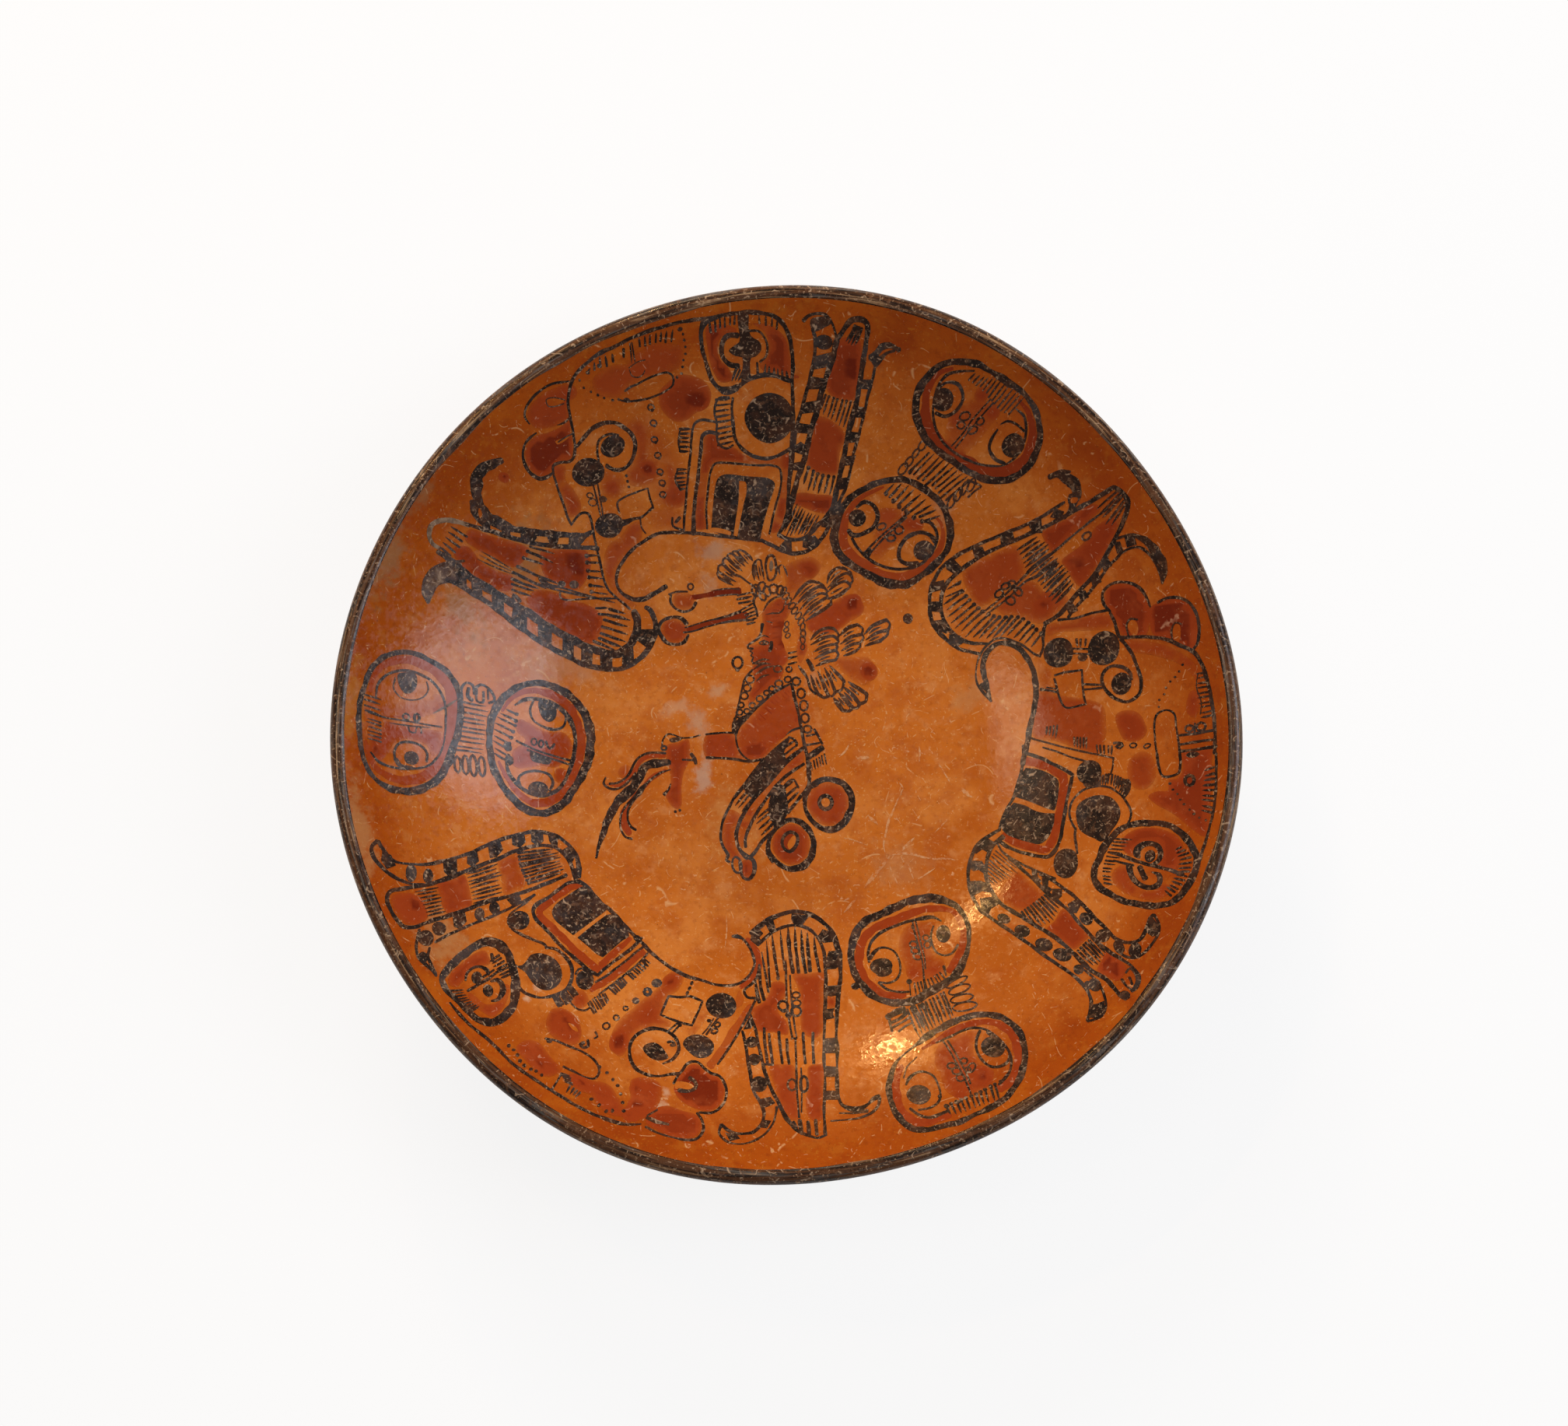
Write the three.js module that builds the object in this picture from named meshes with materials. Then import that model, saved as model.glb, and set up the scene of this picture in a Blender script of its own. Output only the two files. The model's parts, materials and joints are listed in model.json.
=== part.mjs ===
// Round-sided pottery plate: one hand-built clay body, slipped and fired.
// Millimetres, +Z up, origin at the centre of the flat base, which is the face that the plate rests on.

import * as THREE from "three";

// Driving dimensions
const rimDiameter = 330; // outside the lip
const plateHeight = 60; // base to the top of the lip
const baseDiameter = 124; // the level middle, under which the base is flat
const floorThickness = 8; // clay under the level middle
const lipThickness = 6.2; // the wall at its rounded edge
const wallSweep = 1.7; // 1 is a straight flaring wall, 2 a bowl that steepens all the way

// How far a hand-built rim strays from a true circle and from a level edge
const rimOutOfRound = [
  { lobes: 3, swing: 0.7, turn: -20 },
  { lobes: 4, swing: 0.7, turn: -17 },
  { lobes: 6, swing: 0.3, turn: 8 },
];
const rimOutOfLevel = [
  { lobes: 2, swing: 0.5, turn: 35 },
  { lobes: 5, swing: 0.2, turn: 10 },
];

// How finely the curves are cut
const stepsRound = 96;
const wallSteps = 14;
const lipSteps = 6;
const baseSteps = 2;

const baseRadius = baseDiameter / 2;
const rimRadius = rimDiameter / 2;
const lipRadius = lipThickness / 2;
const lipCentre = { r: rimRadius - lipRadius, z: plateHeight - lipRadius };
const wallRun = lipCentre.r - baseRadius;
const wallRise = lipCentre.z - floorThickness / 2;

const sumOfWaves = (waves, angle) =>
  waves.reduce(
    (sum, wave) => sum + wave.swing * Math.cos(wave.lobes * (angle - THREE.MathUtils.degToRad(wave.turn))),
    0,
  );

// The line midway between the two faces of the clay, from the edge of the level middle out to the lip:
// its place, the direction square to it, and half the clay's thickness there.
function middleOfWall(share) {
  const place = new THREE.Vector2(
    baseRadius + wallRun * share,
    floorThickness / 2 + wallRise * share ** wallSweep,
  );
  const slope = (wallRise * wallSweep * share ** (wallSweep - 1)) / wallRun;
  const inward = new THREE.Vector2(-slope, 1).normalize();
  const halfThickness = THREE.MathUtils.lerp(floorThickness, lipThickness, share) / 2;
  return { place, inward, halfThickness };
}

// The section from the middle of the base, out under the wall, over the lip and back along the inside.
function plateSection() {
  const underside = [];
  const inside = [];
  for (let i = 0; i <= wallSteps; i += 1) {
    const { place, inward, halfThickness } = middleOfWall(i / wallSteps);
    underside.push(place.clone().addScaledVector(inward, -halfThickness));
    inside.unshift(place.clone().addScaledVector(inward, halfThickness));
  }
  const lip = [];
  const { inward } = middleOfWall(1);
  const firstAngle = Math.atan2(-inward.y, -inward.x);
  for (let i = 1; i < lipSteps; i += 1) {
    const angle = firstAngle + (Math.PI * i) / lipSteps;
    lip.push(new THREE.Vector2(lipCentre.r + lipRadius * Math.cos(angle), lipCentre.z + lipRadius * Math.sin(angle)));
  }
  const base = [];
  const floor = [];
  for (let i = 0; i < baseSteps; i += 1) {
    const radius = (baseRadius * i) / baseSteps;
    base.push(new THREE.Vector2(radius, 0));
    floor.unshift(new THREE.Vector2(radius, floorThickness));
  }
  return [...base, ...underside, ...lip, ...inside, ...floor];
}

// A hand-built rim: the wall strays from round and level more and more towards the lip.
function strayByHand(geometry) {
  const position = geometry.getAttribute("position");
  const point = new THREE.Vector3();
  for (let i = 0; i < position.count; i += 1) {
    point.fromBufferAttribute(position, i);
    const radius = Math.hypot(point.x, point.y);
    const share = Math.max(0, (radius - baseRadius) / wallRun) ** 2;
    if (share > 0) {
      const angle = Math.atan2(point.y, point.x);
      const grown = 1 + (share * sumOfWaves(rimOutOfRound, angle)) / radius;
      position.setXYZ(
        i,
        point.x * grown,
        point.y * grown,
        point.z + share * sumOfWaves(rimOutOfLevel, angle),
      );
    }
  }
  geometry.computeVertexNormals();
  return geometry;
}

// The whole plate is one fired body. LatheGeometry turns its section about Y, so it is stood up on Z.
function firedClayBody() {
  const geometry = new THREE.LatheGeometry(plateSection(), stepsRound);
  geometry.rotateX(Math.PI / 2);
  const slipped = new THREE.MeshStandardMaterial({ color: 0xb8601c, roughness: 0.38, metalness: 0 });
  const body = new THREE.Mesh(strayByHand(geometry), slipped);
  body.name = "fired_clay_plate";
  return body;
}

const plate = new THREE.Group();
plate.add(firedClayBody());

export default plate;
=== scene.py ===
import json
import math
import random

import bpy
import numpy as np
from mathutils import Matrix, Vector
from mathutils.geometry import delaunay_2d_cdt

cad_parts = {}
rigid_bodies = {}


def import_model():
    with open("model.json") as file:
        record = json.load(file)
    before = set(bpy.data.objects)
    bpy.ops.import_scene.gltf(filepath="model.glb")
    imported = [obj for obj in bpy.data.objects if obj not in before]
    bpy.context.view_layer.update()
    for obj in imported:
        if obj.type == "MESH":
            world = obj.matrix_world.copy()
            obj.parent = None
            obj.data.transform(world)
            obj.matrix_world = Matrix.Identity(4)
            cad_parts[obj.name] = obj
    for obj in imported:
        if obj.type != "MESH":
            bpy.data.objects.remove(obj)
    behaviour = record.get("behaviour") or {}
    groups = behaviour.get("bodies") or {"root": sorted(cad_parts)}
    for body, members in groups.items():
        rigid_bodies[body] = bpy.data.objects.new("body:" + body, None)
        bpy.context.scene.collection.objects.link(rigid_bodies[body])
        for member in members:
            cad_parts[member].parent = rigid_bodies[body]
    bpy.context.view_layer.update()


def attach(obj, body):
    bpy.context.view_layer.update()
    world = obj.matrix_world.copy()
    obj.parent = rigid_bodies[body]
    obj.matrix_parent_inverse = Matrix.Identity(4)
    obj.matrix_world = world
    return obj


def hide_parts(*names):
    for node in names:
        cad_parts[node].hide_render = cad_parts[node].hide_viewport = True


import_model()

mm = 0.001
chance = random.Random(11)  # one seed, so that the brush wanders the same way each run


# Clay form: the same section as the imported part, in mm, cut finer

plate = {
    "rimDiameter": 330,
    "height": 60,
    "baseDiameter": 124,
    "floorThickness": 8,
    "lipThickness": 6.2,
    "wallSweep": 1.7,
    "rimOutOfRound": ((3, 0.7, -20), (4, 0.7, -17), (6, 0.3, 8)),  # lobes, swing in mm, turn in degrees
    "rimOutOfLevel": ((2, 0.5, 35), (5, 0.2, 10)),
    "stepsRound": 288,
    "wallSteps": 44,
    "lipSteps": 16,
    "floorSteps": 16,
}
baseRadius = plate["baseDiameter"] / 2
lipRadius = plate["lipThickness"] / 2
lipCentre = np.array((plate["rimDiameter"] / 2 - lipRadius, plate["height"] - lipRadius))
wallRun = lipCentre[0] - baseRadius
wallRise = lipCentre[1] - plate["floorThickness"] / 2


def faceOfWall(share, side):  # side 1 is the inside of the clay, -1 the underside
    sweep = plate["wallSweep"]
    slope = wallRise * sweep * share ** (sweep - 1) / wallRun
    half = (plate["floorThickness"] + (plate["lipThickness"] - plate["floorThickness"]) * share) / 2
    reach = side * half / np.hypot(slope, 1)
    radius = baseRadius + wallRun * share - slope * reach
    height = plate["floorThickness"] / 2 + wallRise * share**sweep + reach
    return radius, height


def waves(kinds, angle):
    return sum(swing * np.cos(lobes * (angle - math.radians(turn))) for lobes, swing, turn in kinds)


def waverShare(radius):  # a hand-built wall strays more and more towards the lip
    return np.clip((radius - baseRadius) / wallRun, 0, None) ** 2


insideRadii, insideHeights = faceOfWall(np.linspace(0, 1, 600), 1)


def insideHeight(x, y):  # height of the painted face above the base, in mm
    radius, angle = np.hypot(x, y), np.arctan2(y, x)
    even = radius
    for _ in range(3):
        even = radius - waverShare(even) * waves(plate["rimOutOfRound"], angle)
    height = np.interp(even, insideRadii, insideHeights, left=plate["floorThickness"])
    return height + waverShare(even) * waves(plate["rimOutOfLevel"], angle)


def insideNormal(x, y):
    step = 0.4
    dx = (insideHeight(x + step, y) - insideHeight(x - step, y)) / (2 * step)
    dy = (insideHeight(x, y + step) - insideHeight(x, y - step)) / (2 * step)
    normal = np.stack((-dx, -dy, np.ones_like(dx)), axis=-1)
    return normal / np.linalg.norm(normal, axis=-1, keepdims=True)


def addPiece(name, points, faces, material, attributes, uvs, normals=None):
    mesh = bpy.data.meshes.new(name)
    mesh.from_pydata([Vector(p) * mm for p in points], [], faces)
    mesh.update(calc_edges=True)
    for key, values in attributes.items():
        values = np.asarray(values, dtype=np.float32)
        kind, field = ("FLOAT", "value") if values.ndim == 1 else ("FLOAT_VECTOR", "vector")
        mesh.attributes.new(key, kind, "POINT").data.foreach_set(field, values.ravel())
    flat = np.asarray(uvs, dtype=np.float32)  # one for each corner of a face, or one for each point
    if len(flat) != len(mesh.loops):
        corner = np.empty(len(mesh.loops), dtype=np.int32)
        mesh.loops.foreach_get("vertex_index", corner)
        flat = flat[corner]
    mesh.uv_layers.new(name="OFBake").data.foreach_set("uv", flat.ravel())
    mesh.shade_smooth()
    if normals is not None:
        mesh.normals_split_custom_set_from_vertices([Vector(n) for n in normals])
    mesh.materials.append(material)
    piece = bpy.data.objects.new(name, mesh)
    bpy.context.collection.objects.link(piece)
    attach(piece, "root")
    return piece


# Painting: strokes in mm on the plan of the plate, merged into thin films of slip that lie on the clay

brush = {
    "station": 1.3,  # mm between the cross lines of a stroke
    "wander": 0.05,  # how far its width and its path drift, as a share of the width
    "tipWidth": 0.25,  # of a stroke that ends in a point, as a share of its width
    "tipLong": 0.4,  # how much of the stroke narrows towards the point
    "capWidth": 0.55,  # of the rounded end, as a share of the width there
    "capLong": 0.3,
    "filmUnder": 0.25,  # mm that a film reaches into the clay
    "redLift": 0.05,
    "blackLift": 0.1,
    "fineGrid": 2.2,  # mm between the extra points inside a wide area, close enough to follow the round wall
    "coarseGrid": 4.5,
    "gridShift": 0.137,  # keeps those points off the strokes' own
    "touch": 0.01,  # mm within which a point counts as on an edge
    "weld": 0.002,  # mm within which two points become one
    "washEdge": 0.52,  # how thick a wash still is at its very edge, as a share
}


def spots(text, width=1.0):  # "x,y x,y,width ..." in mm
    values = [[float(v) for v in part.split(",")] for part in text.split()]
    return [tuple(v) if len(v) == 3 else (*v, width) for v in values]


def curve(points, closed=False):  # smooth through the points, and a doubled point is a corner
    runs, run = [], []
    for point in points:
        if run and point[:2] == run[-1][:2]:
            runs.append(run)
            run = []
        run.append(point)
    runs.append(run)
    endless = closed and len(runs) == 1
    if endless:
        runs = [[run[-1]] + run + run[:2]]
    elif closed:
        runs[-1].append(points[0])
    stations = []
    for run in runs:
        if len(run) < 2:
            continue
        p = np.array(run)
        if not endless:
            p = np.vstack((2 * p[0] - p[1], p, 2 * p[-1] - p[-2]))
        gaps = np.sqrt(np.maximum(np.hypot(*np.diff(p[:, :2], axis=0).T), 1e-6))
        for i in range(1, len(p) - 2):
            chord = p[i + 1] - p[i]
            before, here, after = gaps[i - 1 : i + 2]
            leave = here * ((p[i] - p[i - 1]) / before - (p[i + 1] - p[i - 1]) / (before + here)) + chord
            arrive = here * ((p[i + 2] - p[i + 1]) / after - (p[i + 2] - p[i]) / (here + after)) + chord
            count = max(1, math.ceil(math.hypot(chord[0], chord[1]) / brush["station"]))
            t = np.arange(count)[:, None] / count
            stations.append(p[i] * (2 * t**3 - 3 * t**2 + 1) + leave * (t**3 - 2 * t**2 + t)
                            + p[i + 1] * (3 * t**2 - 2 * t**3) + arrive * (t**3 - t**2))
    if not closed:
        stations.append(np.array(runs[-1][-1:]))
    return np.vstack(stations)


def drift(along, size):  # the slow wander of a hand-held brush
    return size * sum(np.sin(along / wave * 6.28 + chance.uniform(0, 6.28)) for wave in (5, 9, 17)) / 1.7


def layStrip(film, p, tips, tone, closed):
    along = np.concatenate(([0], np.cumsum(np.hypot(*np.diff(p[:, :2], axis=0).T))))
    p = p.copy()
    if not closed:
        for end, away in (("start", along), ("end", along[-1] - along)):
            if tips in (end, "both"):
                p[:, 2] *= np.clip(brush["tipWidth"] + away / (brush["tipLong"] * along[-1] + 0.01), 0, 1)
        first, last = p[0] - p[1], p[-1] - p[-2]
        cap = p[0] + first / max(np.hypot(*first[:2]), 1e-6) * p[0, 2] * brush["capLong"]
        tail = p[-1] + last / max(np.hypot(*last[:2]), 1e-6) * p[-1, 2] * brush["capLong"]
        cap[2], tail[2] = p[0, 2] * brush["capWidth"], p[-1, 2] * brush["capWidth"]
        p = np.vstack((cap, p, tail))
        along = np.concatenate(([0], np.cumsum(np.hypot(*np.diff(p[:, :2], axis=0).T))))
        ahead = np.gradient(p[:, :2], axis=0)
        soft = 1.0
    else:
        ahead = (np.roll(p[:, :2], -1, axis=0) - np.roll(p[:, :2], 1, axis=0)) / 2
        soft = np.clip(np.minimum(along, along[-1] - along) / 4, 0, 1)
    side = np.stack((-ahead[:, 1], ahead[:, 0]), axis=1) / np.maximum(np.hypot(*ahead.T), 1e-6)[:, None]
    half = p[:, 2] / 2 * (1 + soft * drift(along, 2 * brush["wander"]))
    middle = p[:, :2] + side * (soft * drift(along, brush["wander"]) * p[:, 2])[:, None]
    left, right = middle + side * half[:, None], middle - side * half[:, None]
    count = len(p)
    for i in range(count - (not closed)):  # on the inside of a tight turn the edge waits for the brush
        j = (i + 1) % count
        for edge in (left, right):
            if np.dot(edge[j] - edge[i], middle[j] - middle[i]) < 0:
                edge[j] = edge[i]
    faces = []
    for i in range(count - (not closed)):
        j = (i + 1) % count
        face = [count + i, count + j, j, i]
        if np.array_equal(left[i], left[j]):
            face = [count + i, count + j, j]
        elif np.array_equal(right[i], right[j]):
            face = [count + i, j, i]
        faces.append(face)
    film.append({"points": np.vstack((left, right)), "faces": faces, "kind": "slip", "tone": tone})


def line(film, path, width=1.2, tips="", tone=1.0, closed=False):
    points = spots(path, width) if isinstance(path, str) else path
    layStrip(film, curve(points, closed), tips, tone, closed)


def fill(film, path, kind="slip", tone=1.0, fade=0.0):
    points = spots(path) if isinstance(path, str) else path
    edge = curve(points, True)[:, :2]
    turned = np.sum(edge[:, 0] * np.roll(edge[:, 1], -1) - edge[:, 1] * np.roll(edge[:, 0], -1))
    edge = edge if turned > 0 else edge[::-1]
    film.append({"points": edge, "faces": [list(range(len(edge)))], "kind": kind, "tone": tone, "fade": fade})


def blackBlocks(film, *outlines, tone=1.0):  # blocks with corners as crisp as a loaded brush leaves them
    for outline in outlines:
        fill(film, " ".join(f"{corner} {corner}" for corner in outline.split()), tone=tone)


def ovalPoints(x, y, across, tall, turn=0, width=1.0):
    points = []
    for i in range(8):
        angle = math.radians(45 * i)
        a = across * math.cos(angle) * chance.uniform(0.96, 1.04)
        b = tall * math.sin(angle) * chance.uniform(0.96, 1.04)
        c, s = math.cos(math.radians(turn)), math.sin(math.radians(turn))
        points.append((x + a * c - b * s, y + a * s + b * c, width))
    return points


def disc(film, x, y, across, tall=None, turn=0, tone=1.0, fade=0.0):
    fill(film, ovalPoints(x, y, across, tall or across, turn), tone=tone, fade=fade)


def ring(film, x, y, across, tall=None, turn=0, width=1.2, tone=1.0):
    line(film, ovalPoints(x, y, across, tall or across, turn, width), closed=True, tone=tone)


def alongCurve(path, shares):  # points at given shares of the length of a path
    p = curve(spots(path) if isinstance(path, str) else path)[:, :2]
    length = np.concatenate(([0], np.cumsum(np.hypot(*np.diff(p, axis=0).T))))
    at = np.asarray(shares) * length[-1]
    return np.stack((np.interp(at, length, p[:, 0]), np.interp(at, length, p[:, 1])), axis=1)


def comb(film, start, end, count, width=0.9, tips="end", bead=0.0, bow=0.0, tone=1.0):
    # strokes side by side, each from one guide line to the other, some with a bead where the brush was set
    shares = [(i + chance.uniform(-0.12, 0.12)) / max(count - 1, 1) for i in range(count)]
    shares = np.clip(shares, 0, 1)
    for a, b in zip(alongCurve(start, shares), alongCurve(end, shares)):
        reach = b - a
        b = a + reach * chance.uniform(0.9, 1.06)
        middle = (a + b) / 2 + np.array((-reach[1], reach[0])) * (bow + chance.uniform(-0.02, 0.02))
        wide = width * chance.uniform(0.85, 1.15)
        line(film, [(*a, wide), (*middle, wide), (*b, wide)], tips=tips, tone=tone)
        if bead:
            disc(film, *a, bead * chance.uniform(0.85, 1.1), bead * chance.uniform(0.8, 1.0), tone=tone)


def plumes(film, *quills, width=1.2, tone=0.6):
    # feathers side by side: a stroke between two feathers, a thin one down each, and a rounded tip
    for path in quills:
        line(film, path, width * chance.uniform(0.85, 1.15), "start", tone=tone)
    for left, right in zip(quills, quills[1:]):
        middle = (alongCurve(left, (0.2, 0.5, 0.75)) + alongCurve(right, (0.2, 0.5, 0.75))) / 2
        line(film, [(x, y, width * 0.65) for x, y in middle], tips="both", tone=tone * 0.85)
        a, b = np.array(spots(left)[-1][:2]), np.array(spots(right)[-1][:2])
        ahead = (a + b) / 2 - middle[-1]
        tip = (a + b) / 2 + ahead / np.hypot(*ahead) * np.hypot(*(b - a)) * 0.3
        line(film, [(*a, width * 0.9), (*tip, width * 0.7), (*b, width * 0.9)], tone=tone)


def dots(film, path, count, size):
    for x, y in alongCurve(path, np.linspace(0, 1, count)):
        x, y = x + chance.uniform(-0.3, 0.3), y + chance.uniform(-0.3, 0.3)
        disc(film, x, y, size * chance.uniform(0.8, 1.15), size * chance.uniform(0.8, 1.1))


def awayFromEdge(points, edge):  # distance of each point to a closed outline
    a, b = edge, np.roll(edge, -1, axis=0)
    run = b - a
    share = np.einsum("pes,es->pe", points[:, None] - a, run)
    share /= np.maximum(np.einsum("es,es->e", run, run), 1e-9)
    nearest = a + np.clip(share, 0, 1)[..., None] * run
    return np.min(np.linalg.norm(points[:, None] - nearest, axis=2), axis=1)


def insideEdge(points, edge):
    x, y = points[:, :1], points[:, 1:]
    a, b = edge, np.roll(edge, -1, axis=0)
    rise = np.where(np.abs(b[:, 1] - a[:, 1]) < 1e-9, 1e-9, b[:, 1] - a[:, 1])
    crossed = ((a[:, 1] > y) != (b[:, 1] > y)) & (x < (b[:, 0] - a[:, 0]) * (y - a[:, 1]) / rise + a[:, 0])
    return np.sum(crossed, axis=1) % 2 == 1


def layFilm(name, film, material, lift, gridStep):
    # one merged mesh of all strokes: what was painted last wins, a gap takes the slip off again
    points, faces, owners = [], [], []
    for index, stroke in enumerate(film):
        first = len(points)
        points += [Vector(p) for p in stroke["points"]]
        faces += [[first + i for i in face] for face in stroke["faces"]]
        owners += [index] * len(stroke["faces"])
    wide = [stroke for stroke in film if len(stroke["faces"]) == 1 and stroke["kind"] != "gap"]
    for stroke in wide:  # extra points inside wide areas, so that they follow the round wall
        low, high = stroke["points"].min(axis=0), stroke["points"].max(axis=0)
        acrossSteps, tallSteps = np.arange(low[0], high[0], gridStep), np.arange(low[1], high[1], gridStep)
        grid = np.stack(np.meshgrid(acrossSteps, tallSteps), -1).reshape(-1, 2) + brush["gridShift"]
        grid = grid[insideEdge(grid, stroke["points"])] if len(grid) else grid
        if len(grid):
            grid = grid[awayFromEdge(grid, stroke["points"]) > gridStep / 2]
            points += [Vector(p) for p in grid]
    verts, _, tris, _, _, sources = delaunay_2d_cdt(points, [], faces, 0, brush["weld"], True)
    plan = np.array([tuple(v) for v in verts])
    kept, tones = [], []
    corners = [np.array([tuple(points[i]) for i in face]) for face in faces]
    lows = np.array([c.min(axis=0) for c in corners]) - brush["touch"]
    highs = np.array([c.max(axis=0) for c in corners]) + brush["touch"]
    for tri, source in zip(tris, sources):
        middle = plan[list(tri)].mean(axis=0)
        # a folded face may leak past its own corners
        source = [i for i in source if np.all(middle > lows[i]) and np.all(middle < highs[i])]
        stack = sorted({owners[i] for i in source})
        if not stack or film[stack[-1]]["kind"] == "gap" or len(tri) < 3:
            continue
        kept.append(list(tri))
        painted = [film[i] for i in stack if film[i]["kind"] != "gap"]
        tones.append(max([s["tone"] for s in painted if not s.get("fade")] or [0]))
    used = sorted({i for tri in kept for i in tri})
    place = {old: new for new, old in enumerate(used)}
    plan = plan[used]
    kept = [[place[i] for i in tri] for tri in kept]
    tone, shares = np.zeros(len(plan)), np.zeros(len(plan))
    for tri, value in zip(kept, tones):
        for i in tri:
            tone[i] += value
            shares[i] += 1
    tone /= np.maximum(shares, 1)
    for stroke in wide:  # a wash thins out towards its edge
        if stroke["fade"]:
            away = awayFromEdge(plan, stroke["points"])
            near = insideEdge(plan, stroke["points"]) | (away < brush["touch"])
            thick = brush["washEdge"] + (1 - brush["washEdge"]) * np.clip(away[near] / stroke["fade"], 0, 1)
            tone[near] = np.maximum(tone[near], stroke["tone"] * thick)
    sides = {}
    for tri in kept:
        for a, b in zip(tri, tri[1:] + tri[:1]):
            sides[(a, b)] = sides.get((a, b), 0) + 1
    rims = [(a, b) for a, b in sides if (b, a) not in sides]
    height, normal = insideHeight(*plan.T), insideNormal(*plan.T)
    surface = np.column_stack((plan, height))
    count = len(plan)
    mesh = kept + [[count + i for i in tri[::-1]] for tri in kept]
    mesh += [[a, count + a, count + b, b] for a, b in rims]
    span = np.max(plan.max(axis=0) - plan.min(axis=0))
    flat = (plan - plan.min(axis=0)) / span
    upper, lower = flat * 0.88 + 0.01, flat * 0.08 + 0.91  # the face that shows gets most of the picture
    uvs = [upper[i] for tri in kept for i in tri] + [lower[i] for tri in kept for i in tri[::-1]]
    uvs += [upper[i] for a, b in rims for i in (a, a, b, b)]
    shell = np.vstack((surface + normal * lift, surface - normal * brush["filmUnder"]))
    addPiece(name, shell, mesh, material, {"slip": np.tile(tone, 2)}, uvs, np.tile(normal, (2, 1)))
    print(name + ":", len(film), "strokes,", len(mesh), "faces")


# Materials

def linear(hexColour):
    parts = [int(hexColour[i : i + 2], 16) / 255 for i in (1, 3, 5)]
    return [c / 12.92 if c <= 0.04045 else ((c + 0.055) / 1.055) ** 2.4 for c in parts] + [1]


def addNode(tree, kind, settings=None, inputs=None):
    # an input may be a value, a socket, or a node, whose output in use is then taken
    node = tree.nodes.new(kind)
    for key, value in (settings or {}).items():
        setattr(node, key, value)
    for key, value in (inputs or {}).items():
        if isinstance(value, bpy.types.Node):
            value = next(socket for socket in value.outputs if socket.enabled)
        if isinstance(value, bpy.types.NodeSocket):
            tree.links.new(value, node.inputs[key])
        else:
            node.inputs[key].default_value = value
    return node


def newMaterial(name):
    material = bpy.data.materials.new(name)
    material.use_nodes = True
    material.node_tree.nodes.clear()
    return material, material.node_tree


def clouds(tree, coords, size, detail, low, high, strength, shift):
    # soft patches about size mm across, from none where the noise is low to full where it is high
    place = addNode(tree, "ShaderNodeMapping", inputs={
        "Vector": coords, "Location": (0.37 * shift + 0.1, 0.21 * shift, 0)})
    noise = addNode(tree, "ShaderNodeTexNoise", inputs={
        "Vector": place, "Scale": 1000 / size, "Detail": detail, "Roughness": 0.6})
    return addNode(tree, "ShaderNodeMapRange", {"interpolation_type": "SMOOTHSTEP"}, {
        0: noise, 1: low, 2: high, 4: strength})


def mottle(tree, coords, colour, layers):
    # patches of another colour, each layer: colour, size in mm, detail, noise value where it starts and where
    # it is full, strength
    for index, (patch, *shape) in enumerate(layers):
        amount = clouds(tree, coords, *shape, index)
        colour = addNode(tree, "ShaderNodeMix", {"data_type": "RGBA"}, {
            0: amount, 6: colour, 7: linear(patch)})
    return colour


def scratch(tree, coords, colour, fibres):
    # short curved scratches, drawn where a smooth noise passes its middle value, inside patches only
    for index, (pale, size, wide, patch, low, high, strength) in enumerate(fibres):
        place = addNode(tree, "ShaderNodeMapping", inputs={
            "Vector": coords, "Location": (0.7, 0.4 * index + 0.2, 0)})
        noise = addNode(tree, "ShaderNodeTexNoise", inputs={
            "Vector": place, "Scale": 1000 / size, "Detail": 0.6, "Roughness": 0.5})
        away = addNode(tree, "ShaderNodeMath", {"operation": "ABSOLUTE"}, {
            0: addNode(tree, "ShaderNodeMath", {"operation": "SUBTRACT"}, {0: noise, 1: 0.5})})
        thread = addNode(tree, "ShaderNodeMapRange", inputs={0: away, 1: 0.0, 2: wide, 3: strength, 4: 0.0})
        there = clouds(tree, coords, patch, 2, low, high, 1.0, index + 7)
        amount = addNode(tree, "ShaderNodeMath", {"operation": "MULTIPLY"}, {0: thread, 1: there})
        colour = addNode(tree, "ShaderNodeMix", {"data_type": "RGBA"}, {
            0: amount, 6: colour, 7: linear(pale)})
    return colour


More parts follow.
